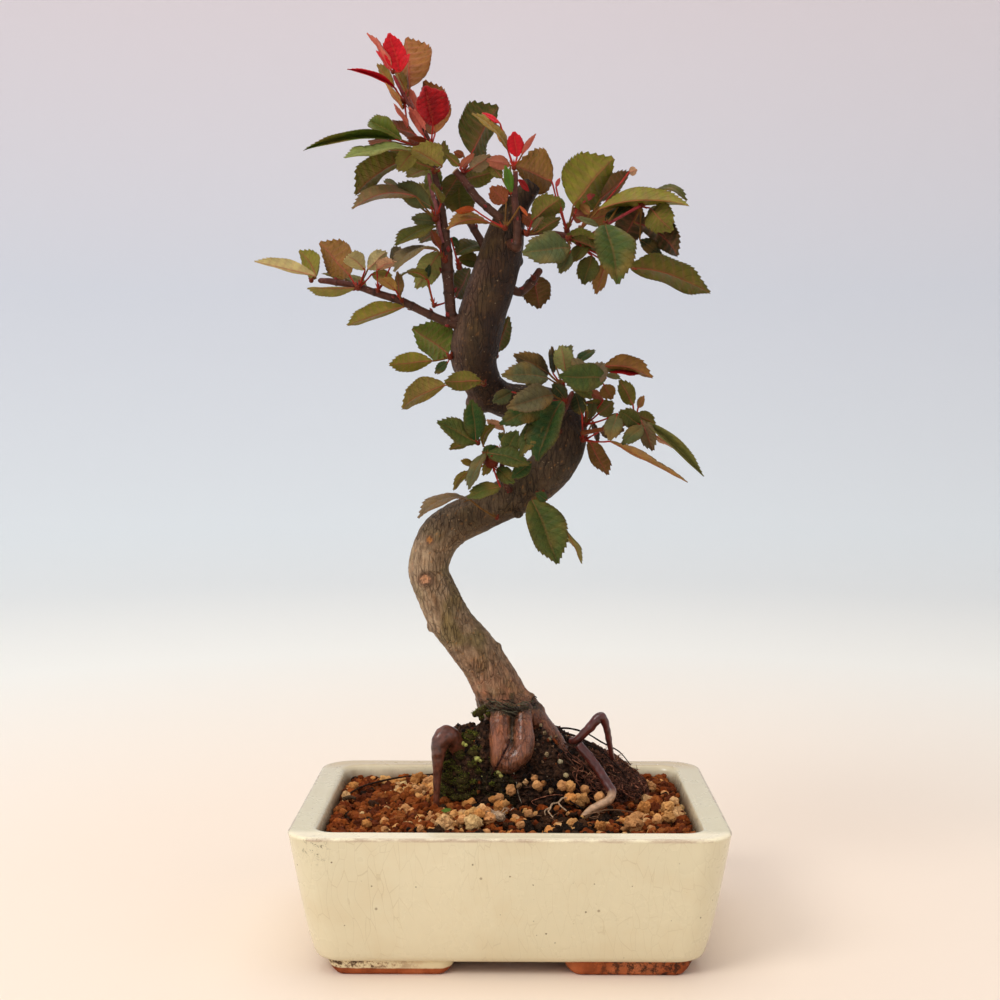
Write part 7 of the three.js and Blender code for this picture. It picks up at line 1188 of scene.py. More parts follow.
# ---------------------------------------------------------------- trunk
def sweep(P, sides, grow=0.0, sq=None):
    """Closed sweep as vertices and faces, from points [x, y, z, r]."""
    T, U, W = frames(P); V = []; n = len(P)
    for i in range(n):
        for k in range(sides):
            a = 2 * math.pi * k / sides; V.append(P[i, :3] + (U[i] * math.cos(a) + W[i] * math.sin(a)) * (P[i, 3] + grow))
    F = []
    for i in range(n - 1):
        for k in range(sides):
            j = (k + 1) % sides; F.append((i * sides + k, i * sides + j, (i + 1) * sides + j, (i + 1) * sides + k))
    F.append(tuple(reversed(range(sides)))); F.append(tuple(range((n - 1) * sides, n * sides)))
    return np.array(V), F


LOBES = [
    [(-1.8, 13.0, 89, 3.8), (-3.4, 7.6, 84.0, 3.8), (-3.8, 5.0, 79, 4.4), (-3.9, 3.6, 72, 4.6), (-3.5, 3.2, 66.5, 4.3), (-2.6, 4.6, 62.5, 3.5)],
    [(4.6, 13.0, 88.6, 3.7), (4.7, 7.6, 83.4, 3.6), (5.0, 4.4, 78.5, 4.1), (5.0, 2.4, 72.8, 4.4), (3.4, 1.2, 68.6, 4.6), (.4, 1.2, 65.8, 4.2), (-2.2, 3.2, 63.8, 3.3)],
    [(.6, 13.0, 88, 4.6), (.7, 9.6, 82, 3.9), (.6, 6.8, 76, 3.7), (.4, 4.9, 71, 3.8), (-.4, 4.2, 66, 3.5)],
    [(-3.0, 17.0, 97, 4.6), (1.2, 16.5, 91.2, 4.5), (6.3, 15.0, 86.2, 4.5), (11.6, 13.2, 79.2, 4.4), (16.0, 12.2, 74.4, 3.9), (20.0, 12.0, 69, 3.2), (22.5, 13.0, 62, 2.8)],
]


def build_trunk():
    spine = spline(STEMS["trunk"], 1.2); spine[:, 0] -= .8 * np.exp(-((spine[:, 2] - 135) / 18) ** 2)
    bm_v, bm_f = [], []
    def put(V, F):
        o = sum(len(v) for v in bm_v); bm_v.append(V); bm_f.extend([tuple(i + o for i in f) for f in F])
    put(*sweep(spine, 40))
    for l in LOBES:
        put(*sweep(spline([list(p) for p in l], 1.0), 28))
    # healed collar, branch knobs, pruning scars and the raised lip round the big cut
    def lump(c, r, s=(1, 1, 1)):
        put(ICO2 * (np.array(s) * r) + np.array(c), ICO2F)
    lump((-11.6, 17, 207), 5.2, (1.25, 1.1, .85)); lump((-8, 12.5, 214.5), 3.4, (1.6, .8, .7)); lump((-9.5, 11.8, 217.6), 2.0, (2.0, .8, .6))
    for c, r, s in (((-31.7, 15, 117.6), 1.8, (1, 1, 1.4)), ((-5.3, 15, 108.8), 1.9, (1, 1, 1.3)), ((8.0, 14, 89.6), 2.0, (1, 1, .9)), ((3, 4.5, 163.3), 1.7, (1.2, 1, 1)),
                    ((-20.5, 10, 128.5), 1.8, (1, .8, 1.4)), ((-14.5, 19, 236), 2.3, (1, 1, 1.4)), ((-2.0, 9.5, 247), 1.7, (1, 1, 1.2)), ((3.5, 11, 262), 1.8, (1, 1, 1.2)), ((-6.4, 10, 87.5), 2.3, (1.6, 1, .9)), ((4.6, 10, 88), 2.0, (1.5, 1, .8))):
        lump(c, r, s)
    me = bpy.data.meshes.new("trunk_raw"); me.from_pydata(np.concatenate(bm_v).tolist(), [], bm_f); me.update()
    o = bpy.data.objects.new("trunk_bark", me); bpy.context.scene.collection.objects.link(o)
    md = o.modifiers.new("r", "REMESH"); md.mode = "VOXEL"; md.voxel_size = 0.68; md.use_smooth_shade = True
    sm = o.modifiers.new("s", "SMOOTH"); sm.factor = 0.5; sm.iterations = 4
    dg = bpy.context.evaluated_depsgraph_get(); me2 = bpy.data.meshes.new_from_object(o.evaluated_get(dg)); o.modifiers.clear(); o.data = me2
    n = len(me2.vertices); V = np.zeros(n * 3, np.float32); me2.vertices.foreach_get("co", V); V = V.reshape(-1, 3).astype(float)
    Nn = np.zeros(n * 3, np.float32); me2.vertices.foreach_get("normal", Nn); Nn = Nn.reshape(-1, 3).astype(float)
    # path position and angle of each vertex on the nearest stretch of its limb
    T, U, W = frames(spine)
    L = np.r_[0, np.cumsum(np.linalg.norm(np.diff(spine[:, :3], axis=0), axis=1))]
    kd = KDTree(len(spine))
    for i, p in enumerate(spine):
        kd.insert(Vector(p[:3]), i)
    kd.balance()
    idx = np.array([kd.find(Vector(v))[1] for v in V])
    rel = V - spine[idx, :3]
    s = L[idx] + np.einsum("ij,ij->i", rel, T[idx]); total = L[-1]
    ang = np.arctan2(np.einsum("ij,ij->i", rel, W[idx]), np.einsum("ij,ij->i", rel, U[idx]))
    z = V[:, 2]
    cols = {k: np.array(lin(v)) for k, v in dict(grey=(168, 146, 118), brown=(108, 76, 46), olive=(104, 90, 44), dark=(40, 25, 15), red=(54, 29, 15), base=(156, 94, 64), leg=(58, 37, 20), tan=(216, 158, 118), collar=(88, 54, 34), cut=(50, 36, 27), upper=(69, 42, 18), mauve=(112, 84, 70), moss=(62, 66, 30), spot=(190, 128, 66), painted_highlight_silver=(186, 166, 142)).items()}
    D = np.zeros(n); C = np.zeros((n, 3))
    scar = np.array((-33.3, 6.5, 137.6)); scar2 = np.array((-31.5, 6.0, 153.0)); top_c = spine[-1, :3]; top_t = T[-1]
    for i in range(n):
        v = V[i]; q = Vector((math.cos(ang[i]) * 1.6, math.sin(ang[i]) * 1.6, s[i] * .045)); vq = Vector(tuple(v))
        ridge = noise.noise(q * 1.9); fine = noise.noise(Vector((math.cos(ang[i]) * 6.5, math.sin(ang[i]) * 6.5, s[i] * .20)) + Vector((7, 3, 1)))
        blot = noise.noise(vq * .11); mott = noise.noise(vq * .42); ring = noise.noise(Vector((s[i] * .55, .3, 7)))
        micro = noise.noise(vq * 1.3)
        st = z[i]
        up = min(1, max(0, (st - 186) / 14)); leg = min(1, max(0, (st - 149) / 10)) * (1 - min(1, max(0, (st - 186) / 14))); low = 1 - min(1, max(0, (st - 83) / 9))
        amp = .50 * (1 - up * .35) + low * .35
        D[i] = amp * (.70 * ridge + .22 * fine) + .16 * ring + .10 * micro + .12 * mott
        # colours
        streak = min(1, max(0, .46 + .34 * fine + .22 * ridge + .16 * mott)); side = (v[0] - spine[idx[i], 0]) / (spine[idx[i], 3] + .01)
        c = cols["brown"] * (1 - streak) + cols["grey"] * streak
        if blot > .02:
            k = min(1, (blot - .02) * 3) * (.38 + .27 * math.exp(-((st - 118) / 16) ** 2)); c = c * (1 - k) + cols["olive"] * k
        # the left side of the trunk is painted silver-grey as a highlight, and the right side turns olive and darker as
        # painted shade
        k = min(1, max(0, -side * .8 - .1)); c = c * (1 - .30 * k) + cols["painted_highlight_silver"] * .30 * k * 1.2
        k = min(1, max(0, side * .9)) * (.45 + .5 * blot); c = c * (1 - .5 * k) + cols["olive"] * .5 * k
        # on the base and lobes the colour lightens on the raised ridges: painted highlight
        if low > 0:
            cb = cols["base"] * max(.25, (.86 - .75 * (.5 + mott) + .55 * max(0, ridge) + .5 * fine)); c = c * (1 - low * .85) + cb * low * .85
        if leg > 0:
            cl = cols["leg"] * (1 - .5 * streak) + cols["dark"] * .5 * (1 - streak) + cols["olive"] * .15; c = c * (1 - leg * .75) + cl * leg * .75
        if up > 0:
            cu = cols["upper"] * (.62 + .5 * streak) ; cu = cu * .86 + cols["olive"] * .14 * max(0, .5 + blot * 2)
            side = math.cos(ang[i]) if False else (v[0] - spine[idx[i], 0]) / (spine[idx[i], 3] + .01)
            # the upper trunk is painted dark red-brown on its right side as shade and mauve-grey on its left as a
            # painted sheen
            k = min(1, max(0, side * .9 + .25)); cu = cu * (1 - .75 * k) + cols["red"] * .75 * k
            if side < -.2 and st < 262:
                k2 = min(.5, (-side - .2)); cu = cu * (1 - k2) + cols["mauve"] * k2
            c = c * (1 - up) + cu * up
        # painted shadow on the bend that lies under the leaves
        painted_bend_shadow = math.exp(-((v[0] - 24) ** 2 + (st - 188) ** 2) / 140.0)
        c = c * (1 - .55 * painted_bend_shadow) + cols["dark"] * .55 * painted_bend_shadow
        k = .62 * (1 - min(1, max(0, (st - 88) / 24))) * (.75 + .8 * mott); k = min(1, max(0, k)); c = c * (1 - k) + cols["base"] * 1.05 * k
        # painted shade in the grooves between the lobes, mixed with some moss colour, and the lobes darker towards
        # their feet
        if low > 0 and v[1] < 14:
            gx = .6 + .5 * noise.noise(Vector((0, 0, st * .35))); groove_shade = math.exp(-((v[0] - gx) / 1.0) ** 2) * min(1, max(0, (st - 71.5) / 3)); c = c * (1 - .85 * groove_shade) + (cols["dark"] * .7 + cols["moss"] * (.35 + .5 * (.5 + mott))) * .85 * groove_shade; D[i] += .45 * groove_shade * (mott + micro)
            ft = min(1, max(0, (67.5 - st) / 4)); c = c * (1 - .45 * ft) * (.66 + .30 * (.5 + mott) + .25 * max(0, fine)) * np.array((1.0, .96, .90))
        # mossy ring where the lobes begin
        kz = math.exp(-((st - 86.2 - 1.6 * noise.noise(vq * .5)) / 2.5) ** 2)
        c = c * (1 - .75 * kz) + (cols["dark"] * .7 + cols["moss"] * .3) * .75 * kz; D[i] += .7 * kz * (.5 + mott)
        # cracks across the lower trunk, like healed rings
        if ring > .34 and st > 90:
            c = c * .86
        # large pruning scar: tan disc, raised collar
        for sc, rad, cc in ((scar, 1.75, cols["tan"]), (scar2, 1.1, cols["spot"])):
            d = np.linalg.norm(v - sc)
            if d < rad * 2.6 and v[1] < sc[1] + rad * 1.6:
                if d < rad:
                    c = cc * (.8 + .25 * noise.noise(vq * 1.7)) ; D[i] = .25 - .5 * (1 - d / rad) + .12 * micro
                    if d < rad * .25:
                        c = c * .6
                else:
                    k = 1 - (d - rad) / (rad * 1.4); k = max(0, k); bump = math.exp(-((d - rad * 1.45) / (rad * .42)) ** 2)
                    D[i] += .8 * bump * (rad / 1.75); c = c * (1 - .85 * k) + cols["collar"] * .85 * k
        # flat cut at the top of the stump
        if np.dot(v - top_c, top_t) > -0.7 and st > 265:
            c = cols["cut"] * (.7 + .6 * (.5 + noise.noise(vq * .9))); D[i] = .18 * noise.noise(vq * 1.1) - .1
        # orange lenticels
        lt = noise.noise(Vector((v[0] * .95, v[1] * .95, v[2] * 1.6)) + Vector((3, 9, 4)))
        if lt > .56:
            c = c * .5 + cols["spot"] * .5 * (.55 if up > .5 else .8); D[i] += .10
        # the right side of the trunk is painted darker and the left side lighter: painted shade and light
        painted_side_shade = (v[0] - spine[idx[i], 0]) / (spine[idx[i], 3] + .01); c = c * (1 - .22 * min(1, max(0, painted_side_shade)) + .10 * min(1, max(0, -painted_side_shade)))
        C[i] = c * (1 + .10 * micro) * (1.30 if st < 150 else 1.30 - .30 * min(1, (st - 150) / 10))
    V2 = V + Nn * D[:, None]
    me2.vertices.foreach_set("co", to_m(V2).astype(np.float32).ravel())
    col = me2.color_attributes.new("Col", "FLOAT_COLOR", "POINT"); buf = np.ones((n, 4), np.float32); buf[:, :3] = np.clip(C, 0, 1); col.data.foreach_set("color", buf.ravel())
    me2.update()
    m = Mat("bark"); co = m.coord(); c = m.attr()
    n1 = m.noise(m.mapping(co, (1, 1, .30)), 520, 5, .7); n2 = m.noise(co, 1300, 4, .7); n3 = m.noise(co, 150, 4, .6)
    c2 = m.mix(m.ramp(n1, [(.28, 0), (.74, 1)]), m.mix(1.0, c, (.40, .36, .31), "MULTIPLY"), m.mix(1.0, c, (1.50, 1.47, 1.43), "MULTIPLY"))
    crk = m.math("MULTIPLY", m.ramp(m.voronoi(m.mapping(co, (1, 1, .22)), 640, "DISTANCE_TO_EDGE"), [(.0, 1), (.09, 0)]), m.ramp(m.noise(co, 90, 3, .6), [(.32, 0), (.52, 1)]))
    c2 = m.mix(m.math("MULTIPLY", crk, .68), c2, m.mix(1.0, c2, (.36, .30, .26), "MULTIPLY"))
    len_ = m.voronoi(m.mapping(co, (1, 1, 1.4)), 420); dot = m.math("MULTIPLY", m.ramp(len_, [(.0, 1), (.10, 1), (.16, 0)]), m.ramp(m.noise(co, 260, 2, .5), [(.5, 0), (.56, 1)]))
    c2 = m.mix(m.math("MULTIPLY", dot, .5), c2, lin((206, 172, 132)))
    h = m.math("ADD", m.math("MULTIPLY", n1, 1.0), m.math("ADD", m.math("MULTIPLY", n2, .35), m.math("ADD", m.math("MULTIPLY", n3, .6), m.math("SUBTRACT", m.math("MULTIPLY", dot, .4), m.math("MULTIPLY", crk, .5)))))
    Zc = m.xyz(co)[2]; smooth = m.ramp(Zc, [(.078, 1), (.092, 0)])
    m.set(Base_Color=c2, Roughness=m.math("SUBTRACT", m.math("ADD", .50, m.math("MULTIPLY", n3, .25)), m.math("MULTIPLY", smooth, .26)), Normal=m.bump(h, .9, .0015), Specular_IOR_Level=.30, Coat_Weight=m.math("MULTIPLY", smooth, m.ramp(n3, [(.35, .25), (.6, .85)])))
    m.set(Coat_Roughness=.22)
    me2.materials.clear(); me2.materials.append(m.m)
    me2.polygons.foreach_set("use_smooth", np.ones(len(me2.polygons), bool))
    show(o, "bark", "trunk")
    return o


# ---------------------------------------------------------------- woody shoots
STEM_SETS = {"stem_tall_left": ["stem_tall_left", "stem_tall_second"], "stem_left_branch": ["stem_left_branch"], "stem_upper_left": ["stem_upper_left"], "stem_leader": ["stem_leader"],
             "stem_back_branch": ["stem_back_branch"], "stem_right": ["stem_right", "stem_right_outer"], "stem_right_low": ["stem_right_low"], "stem_mid": ["stem_mid"], "stem_spur_low": ["stem_spur_low"]}
CUTS = {"stem_leader": (150, 116, 84), "stem_upper_left": (196, 166, 132)}


def shoot_material():
    m = Mat("shoot_bark"); co = m.coord(); c = m.attr()
    n1 = m.noise(co, 600, 4, .6); n2 = m.noise(co, 180, 3, .5)
    c2 = m.mix(m.ramp(n1, [(.3, 0), (.72, 1)]), m.mix(1.0, c, (.68, .64, .62), "MULTIPLY"), m.mix(1.0, c, (1.2, 1.18, 1.18), "MULTIPLY"))
    v = m.voronoi(co, 900); dot = m.ramp(v, [(.0, 1), (.12, 1), (.2, 0)])
    keep = m.ramp(m.noise(co, 520, 2, .5), [(.52, 0), (.6, 1)])
    c2 = m.mix(m.math("MULTIPLY", m.math("MULTIPLY", dot, keep), .5), c2, lin((206, 176, 150)))
    m.set(Base_Color=c2, Roughness=m.math("ADD", .36, m.math("MULTIPLY", n2, .25)), Normal=m.bump(m.math("ADD", n1, dot), .35, .0004), Specular_IOR_Level=.22)
    return m.m


def lead_in(pts):
    """Starts a shoot inside the trunk, a little swollen, so that it grows out of the bark."""
    S = spline(STEMS["trunk"], 1.2); p = np.array(pts[0], float)
    q = S[np.argmin(np.linalg.norm(S[:, :3] - p[:3], axis=1))]; d = q[:3] - p[:3]; gap = np.linalg.norm(d)
    if gap > 24 or gap < 1:
        return pts
    k = max(0, (gap - q[3] * .55) / gap); a = p.copy(); a[:3] += d * k; a[3] *= 1.5; b = p.copy(); b[:3] += d * k * .45; b[3] *= 1.12
    return [a.tolist(), b.tolist()] + [list(x) for x in pts]


def build_stems(mat):
    old, mid, young = np.array(lin((76, 46, 32))), np.array(lin((92, 42, 32))), np.array(lin((142, 40, 44)))
    for name, parts in STEM_SETS.items():
        g = Geo()
        for pi, p in enumerate(parts):
            pts = lead_in(STEMS[p]) if pi == 0 else STEMS[p]; P = np.array(pts, float); r0, r1 = P[0, 3], P[-1, 3]
            Lt = float(np.sum(np.linalg.norm(np.diff(P[:, :3], axis=0), axis=1))); nodes = max(3, int(Lt / 7.5))
            def radial(s, a, nodes=nodes, pi=pi):
                x = (s * nodes) % 1.0; d = min(x, 1 - x) * Lt / nodes
                return 1 + .17 * math.exp(-(d / .55) ** 2) + .03 * math.sin(a * 2 + s * 11)
            def cf(s, q, a, nodes=nodes, r0=r0, r1=r1, p=p):
                rr = r0 + (r1 - r0) * s; t = min(1, max(0, (2.0 - rr) / 1.3)); c = old * (1 - t) + mid * t
                if rr < 1.0:
                    k = min(1, (1.0 - rr) / .4); c = c * (1 - k) + young * k
                if p == "stem_tall_second":
                    c = c * .6 + np.array(lin((170, 120, 116))) * .4
                x = (s * nodes) % 1.0; d = min(x, 1 - x) * Lt / nodes
                if d < .45:
                    c = c * .62
                qv = Vector(tuple(np.asarray(q) * .5)); k = noise.noise(qv)
                return c * (1 + .28 * k)
            tube(g, pts, old, sides=20 if r0 > 1.5 else 14, step=.55, bump=.10, colfn=cf, radial=radial, seed=pi, cap=np.array(lin(CUTS.get(name, (120, 84, 60)))) if name in CUTS and pi == 0 else None, taper_end=name not in CUTS)
            # buds at alternate nodes
            Q = spline(pts, .55); T, U, W = frames(Q)
            for k in range(1, nodes):
                i = int(k / nodes * (len(Q) - 1)); a = k * 2.4; d = U[i] * math.cos(a) + W[i] * math.sin(a)
                r = Q[i, 3]; b = Q[i, :3] + d * r * .8; tip = b + d * r * .7 + T[i] * max(1.0, r * .9)
                tube(g, [[*b, max(.32, r * .34)], [*(b * .5 + tip * .5), max(.36, r * .36)], [*tip, .1]], np.array(lin((126, 44, 40))), sides=8, step=.4)
        o = g.build(name + "_wood", [mat]); show(o, "shoot_bark", name)


# ---------------------------------------------------------------- leaves
PALETTE = {k: np.array(lin(v)) for k, v in dict(
    crimson=(191, 23, 37), deepred=(153, 14, 18), rose=(196, 79, 77), pinkish=(196, 112, 91), dustypink=(172, 98, 73), rust=(130, 69, 31), orange=(188, 87, 36), bronze=(136, 98, 44),
    brown=(104, 78, 36), darkbrown=(68, 56, 28), tan=(166, 127, 68), palepink=(206, 157, 119), straw=(190, 171, 114), cream=(196, 176, 123), khaki=(141, 131, 62), sage=(130, 133, 72),
    yellowolive=(124, 117, 37), olive=(102, 99, 34), darkolive=(79, 80, 28), grassolive=(96, 108, 34), green=(72, 86, 35), deepgreen=(44, 71, 28), blackgreen=(38, 49, 22), vivid=(84, 121, 32),
    greygreen=(88, 92, 54), greybrown=(107, 99, 64), mauvetan=(122, 104, 69), mauve=(119, 99, 72)).items()}
OTHER = {"crimson": "deepred", "deepred": "rust", "rose": "crimson", "pinkish": "rust", "dustypink": "bronze"}


def width(t):
    """Half width of an apple leaf along its length, 1 at the widest place, with a drawn-out tip."""
    w = (4 * t * (1 - t)) ** .60 * (1 + .10 * math.sin(math.pi * min(1, t * 1.7)))
    if t > .74:
        w *= 1 - .60 * ((t - .74) / .26) ** 1.25
    return max(0.0, w) / 1.01 + (.05 if t < .02 else 0)


def leaf_blade(g, L, rng):
    B, T, dL, dR, bow, N = (np.array(L[i]) for i in range(6)); h, arch, colname, side = L[6:10]
    ax = T - B; Ln = float(np.linalg.norm(ax)); axn = ax / Ln
    small = Ln < 11
    teeth = max(7, int(Ln / (1.3 if small else 1.5))); NU = teeth * 3 + 1
    S = np.array([-1, -.87, -.52, -.12, 0, .12, .52, .87, 1.0]); NS = len(S)
    th = .10 if small else .13
    top_c = PALETTE[colname]
    if side == "T":
        up = top_c; red = colname in ("crimson", "deepred", "rose", "pinkish")
        un = PALETTE[OTHER[colname]] * .9 if red else top_c * .55 + PALETTE["sage"] * .45
    else:
        un = top_c; red = colname in ("crimson", "deepred", "rose")
        up = PALETTE[OTHER[colname]] if red else top_c * .45 + PALETTE["deepgreen"] * .55
    ph = rng.uniform(0, 6.28, 4); am = rng.uniform(.5, 1.0, 3); curl = rng.uniform(-.02, .07)
    wavy = .17 * am[0] if not small else .07
    hue = rng.normal(0, .05, 3)
    Vt, Vb, Ct, Cb, UV = [], [], [], [], []
    nv = 7 if small else 8
    for iu in range(NU):
        t = iu / (NU - 1)
        tt = t
        c0 = B + ax * tt + bow * (arch * Ln * 4 * tt * (1 - tt)) + N * (curl * Ln * (tt ** 2.2) * (1 - .0)) * 0
        # a slight S in the midrib
        c0 = c0 + (dR - dL) * .5 * (.018 * Ln * math.sin(tt * math.pi * 2 + ph[0]) * tt * (1 - tt) * 3)
        w = width(tt) * h
        tooth = 0.0; fwd = 0.0
        if .05 < tt < .985:
            x = iu % 3; tooth = (-.022, .018, .038)[x] * (1 if not small else .8) * (.35 if red else 1); fwd = (0, .14, .6)[x] * Ln / teeth * (.5 if red else 1)
        for js, sv in enumerate(S):
            d = dR if sv > 0 else dL; a = abs(sv)
            edge = a ** 6
            ww = w * a * (1 + tooth * edge * (1 if a > .8 else 0))
            camber = -.16 * h * (a ** 2) * (.6 + .4 * am[1])                       # margins roll back a little
            und = wavy * h * (a ** 2.2) * math.sin(2 * math.pi * (1.35 * tt) + ph[1] + (1.9 if sv > 0 else 0)) * math.sin(math.pi * min(1, tt * 1.15))
            vq = ((tt - .26 * a) * nv) % 1.0; vein = math.exp(-((min(vq, 1 - vq)) / .13) ** 2)
            puff = .075 * h * (1 - vein) * (1 - (2 * a - 1) ** 4) * (1 - abs(2 * tt - 1) ** 6)
            p = c0 + d * ww + axn * fwd * edge + N * (camber * w / max(h, .1) + und + puff)
            Vt.append(p + N * th * (.35 if a == 1 else 1)); Vb.append(p - N * th * (.35 if a == 1 else 1))
            q = Vector(tuple(p * .16)) + Vector((ph[0], ph[1], ph[2])); k = noise.noise(q); k2 = noise.noise(q * 3.2)
            mix = 1 + .20 * k + .10 * k2
            ct = up * mix * (1 + hue); cb = un * mix * (1 + hue * .5)
            if not red:
                e = max(0, (a - .78) / .22) * .35 * max(0, .4 + am[2] * .6); ct = ct * (1 - e) + PALETTE["rust"] * .8 * e
                ct = ct * (1 - .20 * vein * (1 if a > .04 else 0)) + PALETTE["khaki"] * .20 * vein * .8
                if k > .12:
                    ct = ct * (1 - (k - .12) * 1.1) + PALETTE["bronze"] * (k - .12) * 1.1
            else:
                ct = ct * (1 - .18 * vein)
            if a == 0:
                ct = ct * .80 + PALETTE["rust"] * .16 + PALETTE["khaki"] * .06; cb = cb * .64 + PALETTE["dustypink"] * .30
            elif a < .15:
                ct = ct * .88; cb = cb * .9 + PALETTE["dustypink"] * .1
            cb = cb * (1 - .30 * vein) + PALETTE["pinkish"] * .20 * vein
            Ct.append(ct); Cb.append(cb); UV.append((tt, .5 + .5 * sv))
    n = NU * NS; F = []
    for i in range(NU - 1):
        for j in range(NS - 1):
            a, b, c, d = i * NS + j, i * NS + j + 1, (i + 1) * NS + j + 1, (i + 1) * NS + j
            F.append((a, b, c, d)); F.append((n + d, n + c, n + b, n + a))
    for i in range(NU - 1):
        F.append((i * NS, (i + 1) * NS, n + (i + 1) * NS, n + i * NS)); F.append((i * NS + NS - 1, n + i * NS + NS - 1, n + (i + 1) * NS + NS - 1, (i + 1) * NS + NS - 1))
    e0, e1 = [i for i in range(NS)], [(NU - 1) * NS + i for i in range(NS)]
    for j in range(NS - 1):
        F.append((e0[j + 1], e0[j], n + e0[j], n + e0[j + 1])); F.append((e1[j], e1[j + 1], n + e1[j + 1], n + e1[j]))
    V = np.vstack([Vt, Vb])
    C = np.vstack([Ct, Cb])
    g.add(V, F, C, np.array(UV + UV))
    # raised midrib on the underside, running into the stalk
    rib = []
    for iu in range(0, NU, 2):
        t = iu / (NU - 1); c = np.array(Vb[iu * NS + NS // 2]); rib.append([*(c + N * .05), max(.07, (.34 if not small else .22) * (1 - t) ** .8)])
    if len(rib) > 2:
        rc = PALETTE["rose"] * .45 + un * .55
        tube(g, rib, rc, sides=6, step=1.2)
    return red


def leaf_material(name, young):
    m = Mat(name); co = m.coord(); c = m.attr()
    uv = m.node("ShaderNodeUVMap", uv_map="UVMap").outputs[0]; U, Vv, _ = m.xyz(uv)
    s = m.math("MULTIPLY", m.math("ABSOLUTE", m.math("SUBTRACT", Vv, .5)), 2.0)
    # fine net of side veins between the large ones
    lat = m.math("SUBTRACT", m.math("MULTIPLY", U, 8.0), m.math("MULTIPLY", s, 2.08))
    f = m.math("ABSOLUTE", m.math("SUBTRACT", m.math("FRACT", lat), .5)); vein = m.ramp(f, [(.40, 0), (.47, 1)])
    cell = m.voronoi(co, 1150, "DISTANCE_TO_EDGE"); net = m.ramp(cell, [(.0, 1), (.10, 0)])
    mid = m.ramp(s, [(.0, 1), (.035, .9), (.06, 0)])
    n1 = m.noise(co, 330, 4, .6); n2 = m.noise(co, 1600, 3, .6)
    c2 = m.mix(m.ramp(n1, [(.3, 0), (.75, 1)]), m.mix(1.0, c, (.80, .79, .80), "MULTIPLY"), m.mix(1.0, c, (1.15, 1.14, 1.10), "MULTIPLY"))
    c2 = m.mix(m.math("MULTIPLY", vein, .24), c2, m.mix(1.0, c2, (.55, .5, .5) if not young else (.7, .4, .4), "MULTIPLY"))
    c2 = m.mix(m.math("MULTIPLY", net, .16), c2, m.mix(1.0, c2, (.55, .5, .45), "MULTIPLY"))
    c2 = m.mix(m.math("MULTIPLY", mid, .16), c2, lin((140, 80, 60)) if not young else lin((190, 70, 70)))
    h = m.math("SUBTRACT", m.math("MULTIPLY", n2, .25), m.math("ADD", m.math("MULTIPLY", vein, .8), m.math("MULTIPLY", net, .45)))
    c2 = m.mix(1.0, c2, (1.38, 1.06, 1.06) if young else (1.09, 1.08, 1.02), "MULTIPLY")
    m.set(Base_Color=c2, Roughness=m.math("ADD", .38 if not young else .30, m.math("MULTIPLY", n1, .22)), Normal=m.bump(h, .6, .0005), Specular_IOR_Level=.17)
    return m.m


SHADED = {"leaf_spray_bend_upper": .84, "leaf_spray_bend_top": .84, "leaf_spray_bend_front": .84, "leaf_spray_bend_inner": .84, "leaf_spray_bend_outer": .88, "leaf_spray_right_inner": .88, "leaf_spray_right_low": .84, "leaf_single_right_back": .8}
YOUNG = ("leaf_bud_tall_tip", "leaf_spray_tall_top", "leaf_spray_tall_red", "leaf_spray_leader_tip")


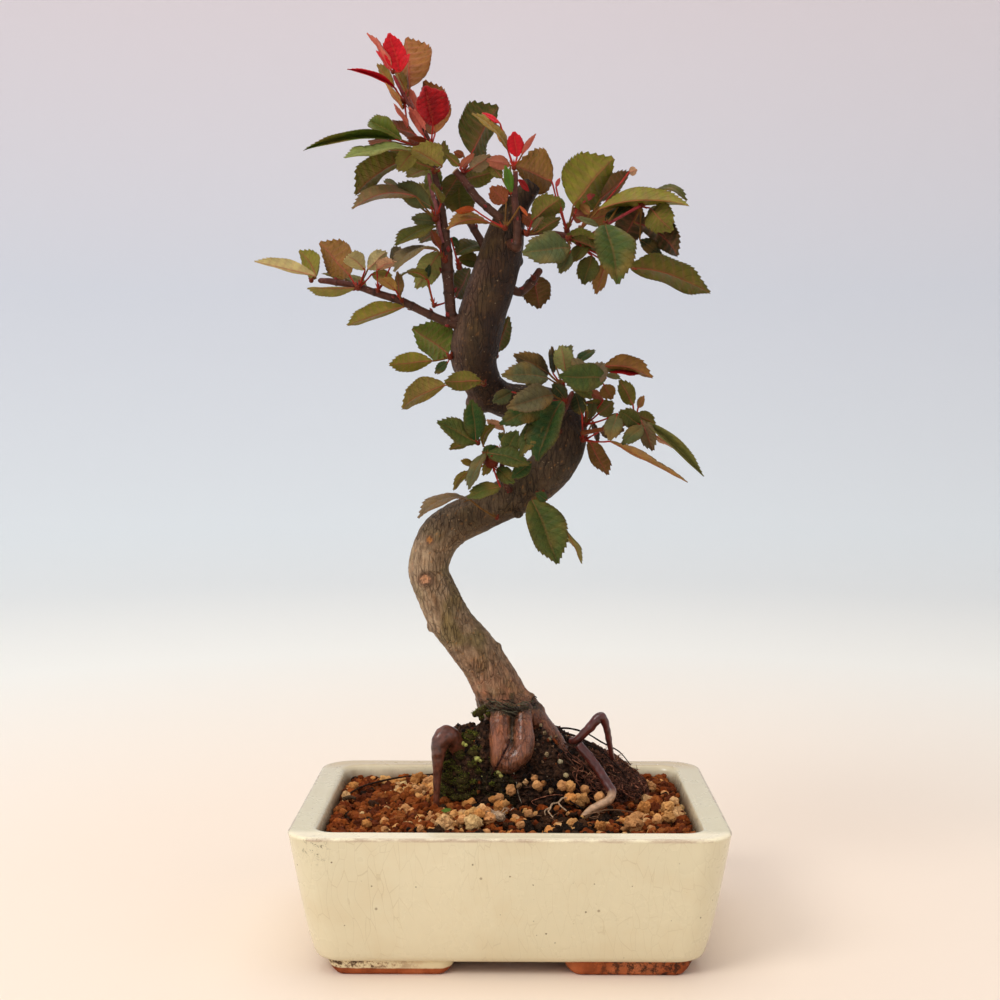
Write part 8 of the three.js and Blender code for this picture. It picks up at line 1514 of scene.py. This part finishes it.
def build_leaves():
    old, young = leaf_material("leaf_surface", False), leaf_material("young_leaf_surface", True)
    for gi, (name, (hub, rad, shoot, leaves)) in enumerate(SPRAYS.items()):
        g = Geo(); rng = np.random.default_rng(900 + gi); hub = np.array(hub)
        if shoot:
            tube(g, shoot, PALETTE["rust"] * .8, sides=12, step=.5, bump=.12)
        for L in leaves:
            red = leaf_blade(g, L, rng)
            B = np.array(L[0]); T = np.array(L[1]); d = B - hub; ln = float(np.linalg.norm(d)); ax = (T - B) / np.linalg.norm(T - B)
            out = d / (ln + 1e-6)
            c0 = PALETTE["crimson"] * .55 + PALETTE["rust"] * .35 if red or rng.uniform() < .55 else PALETTE["rust"] * .6 + PALETTE["olive"] * .35
            sag = np.array((0, 0, -.05 * ln)); m1 = hub + d * .38 + out * 0 + sag * .6 - ax * 0; m2 = hub + d * .74 + sag * .5
            r = .36 if ln > 4 else .3
            pts = [[*(hub + out * .3), r * 1.5], [*m1, r], [*m2, r * .92], [*B, r * .9], [*(B + ax * min(3.0, .12 * np.linalg.norm(T - B))), r * .5]]
            def cf(s, q, a, c0=c0):
                return c0 * (1 + .22 * noise.noise(Vector(tuple(np.asarray(q) * .8)))) * (.85 + .3 * s)
            tube(g, pts, c0, sides=9, step=.5, colfn=cf, bump=.06)
            # stipules at the foot of the stalk
            if ln > 3:
                side = np.cross(out, [0, 1, 0]); side /= np.linalg.norm(side) + 1e-6
                for sg in (-1, 1):
                    b = hub + out * rad * .9; tip = b + out * 2.0 + side * sg * .9 + np.array((0, -.2, .3))
                    tube(g, [[*b, .16], [*((b + tip) / 2), .26], [*tip, .04]], c0 * .9 + PALETTE["green"] * .1, sides=5, step=.5)
        # bud scales round the hub
        base = PALETTE["rust"] * .5 + PALETTE["crimson"] * .2
        V = ICO2 * rad * .92 + hub; g.add(V, ICO2F, base * .6)
        for k in range(5):
            a = k * 2.399; tilt = .5 + .3 * (k % 3); dv = np.array((math.cos(a) * math.sin(tilt), math.sin(a) * math.sin(tilt), math.cos(tilt)))
            b = hub - dv * rad * .2; tip = hub + dv * rad * (1.65 + .12 * (k % 2))
            tube(g, [[*b, rad * .45], [*(b * .5 + tip * .5), rad * .42], [*tip, .06]], base * (.7 + .12 * k), sides=8, step=.4)
        yo = name in YOUNG
        g.c = [c * SHADED.get(name, 1.0) for c in g.c]
        o = g.build(name.replace("leaf_", "foliage_"), [young if yo else old])
        show(o, "young_leaf" if yo else "leaf", name)


# ---------------------------------------------------------------- drain screens and clips keep their shape
def finish_small_parts():
    m = Mat("mesh_plastic"); co = m.coord(); X, Y, Z = m.xyz(co)
    wx = m.math("ABSOLUTE", m.math("SUBTRACT", m.math("FRACT", m.math("MULTIPLY", X, 500)), .5)); wy = m.math("ABSOLUTE", m.math("SUBTRACT", m.math("FRACT", m.math("MULTIPLY", Y, 500)), .5))
    hole = m.math("MULTIPLY", m.math("LESS_THAN", wx, .3), m.math("LESS_THAN", wy, .3))
    n1 = m.noise(co, 300, 3, .5)
    base = m.mix(hole, m.mix(n1, lin((40, 42, 44)), lin((62, 64, 64))), lin((10, 10, 10)))
    m.set(Base_Color=base, Roughness=m.math("ADD", .4, m.math("MULTIPLY", n1, .2)), Normal=m.bump(m.math("SUBTRACT", 1, hole), .8, .0005))
    w = Mat("aluminium_wire"); co2 = w.coord(); n2 = w.noise(w.mapping(co2, (1, 1, .3)), 800, 4, .6)
    w.set(Base_Color=w.mix(n2, lin((150, 140, 128)), lin((206, 200, 192))), Metallic=.85, Roughness=w.math("ADD", .3, w.math("MULTIPLY", n2, .25)), Normal=w.bump(n2, .3, .0002))
    for n, mat in (("drain_screen_left", m.m), ("drain_screen_right", m.m), ("screen_clip_left", w.m), ("screen_clip_right", w.m)):
        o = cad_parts[n]
        if not o.material_slots:
            o.data.materials.append(mat)
        for s in o.material_slots:
            s.material = mat


build_stage()
build_pot()
build_soil()
build_mound()
build_moss()
rm = root_material()
build_roots(rm)
build_trunk()
build_stems(shoot_material())
build_leaves()
finish_small_parts()
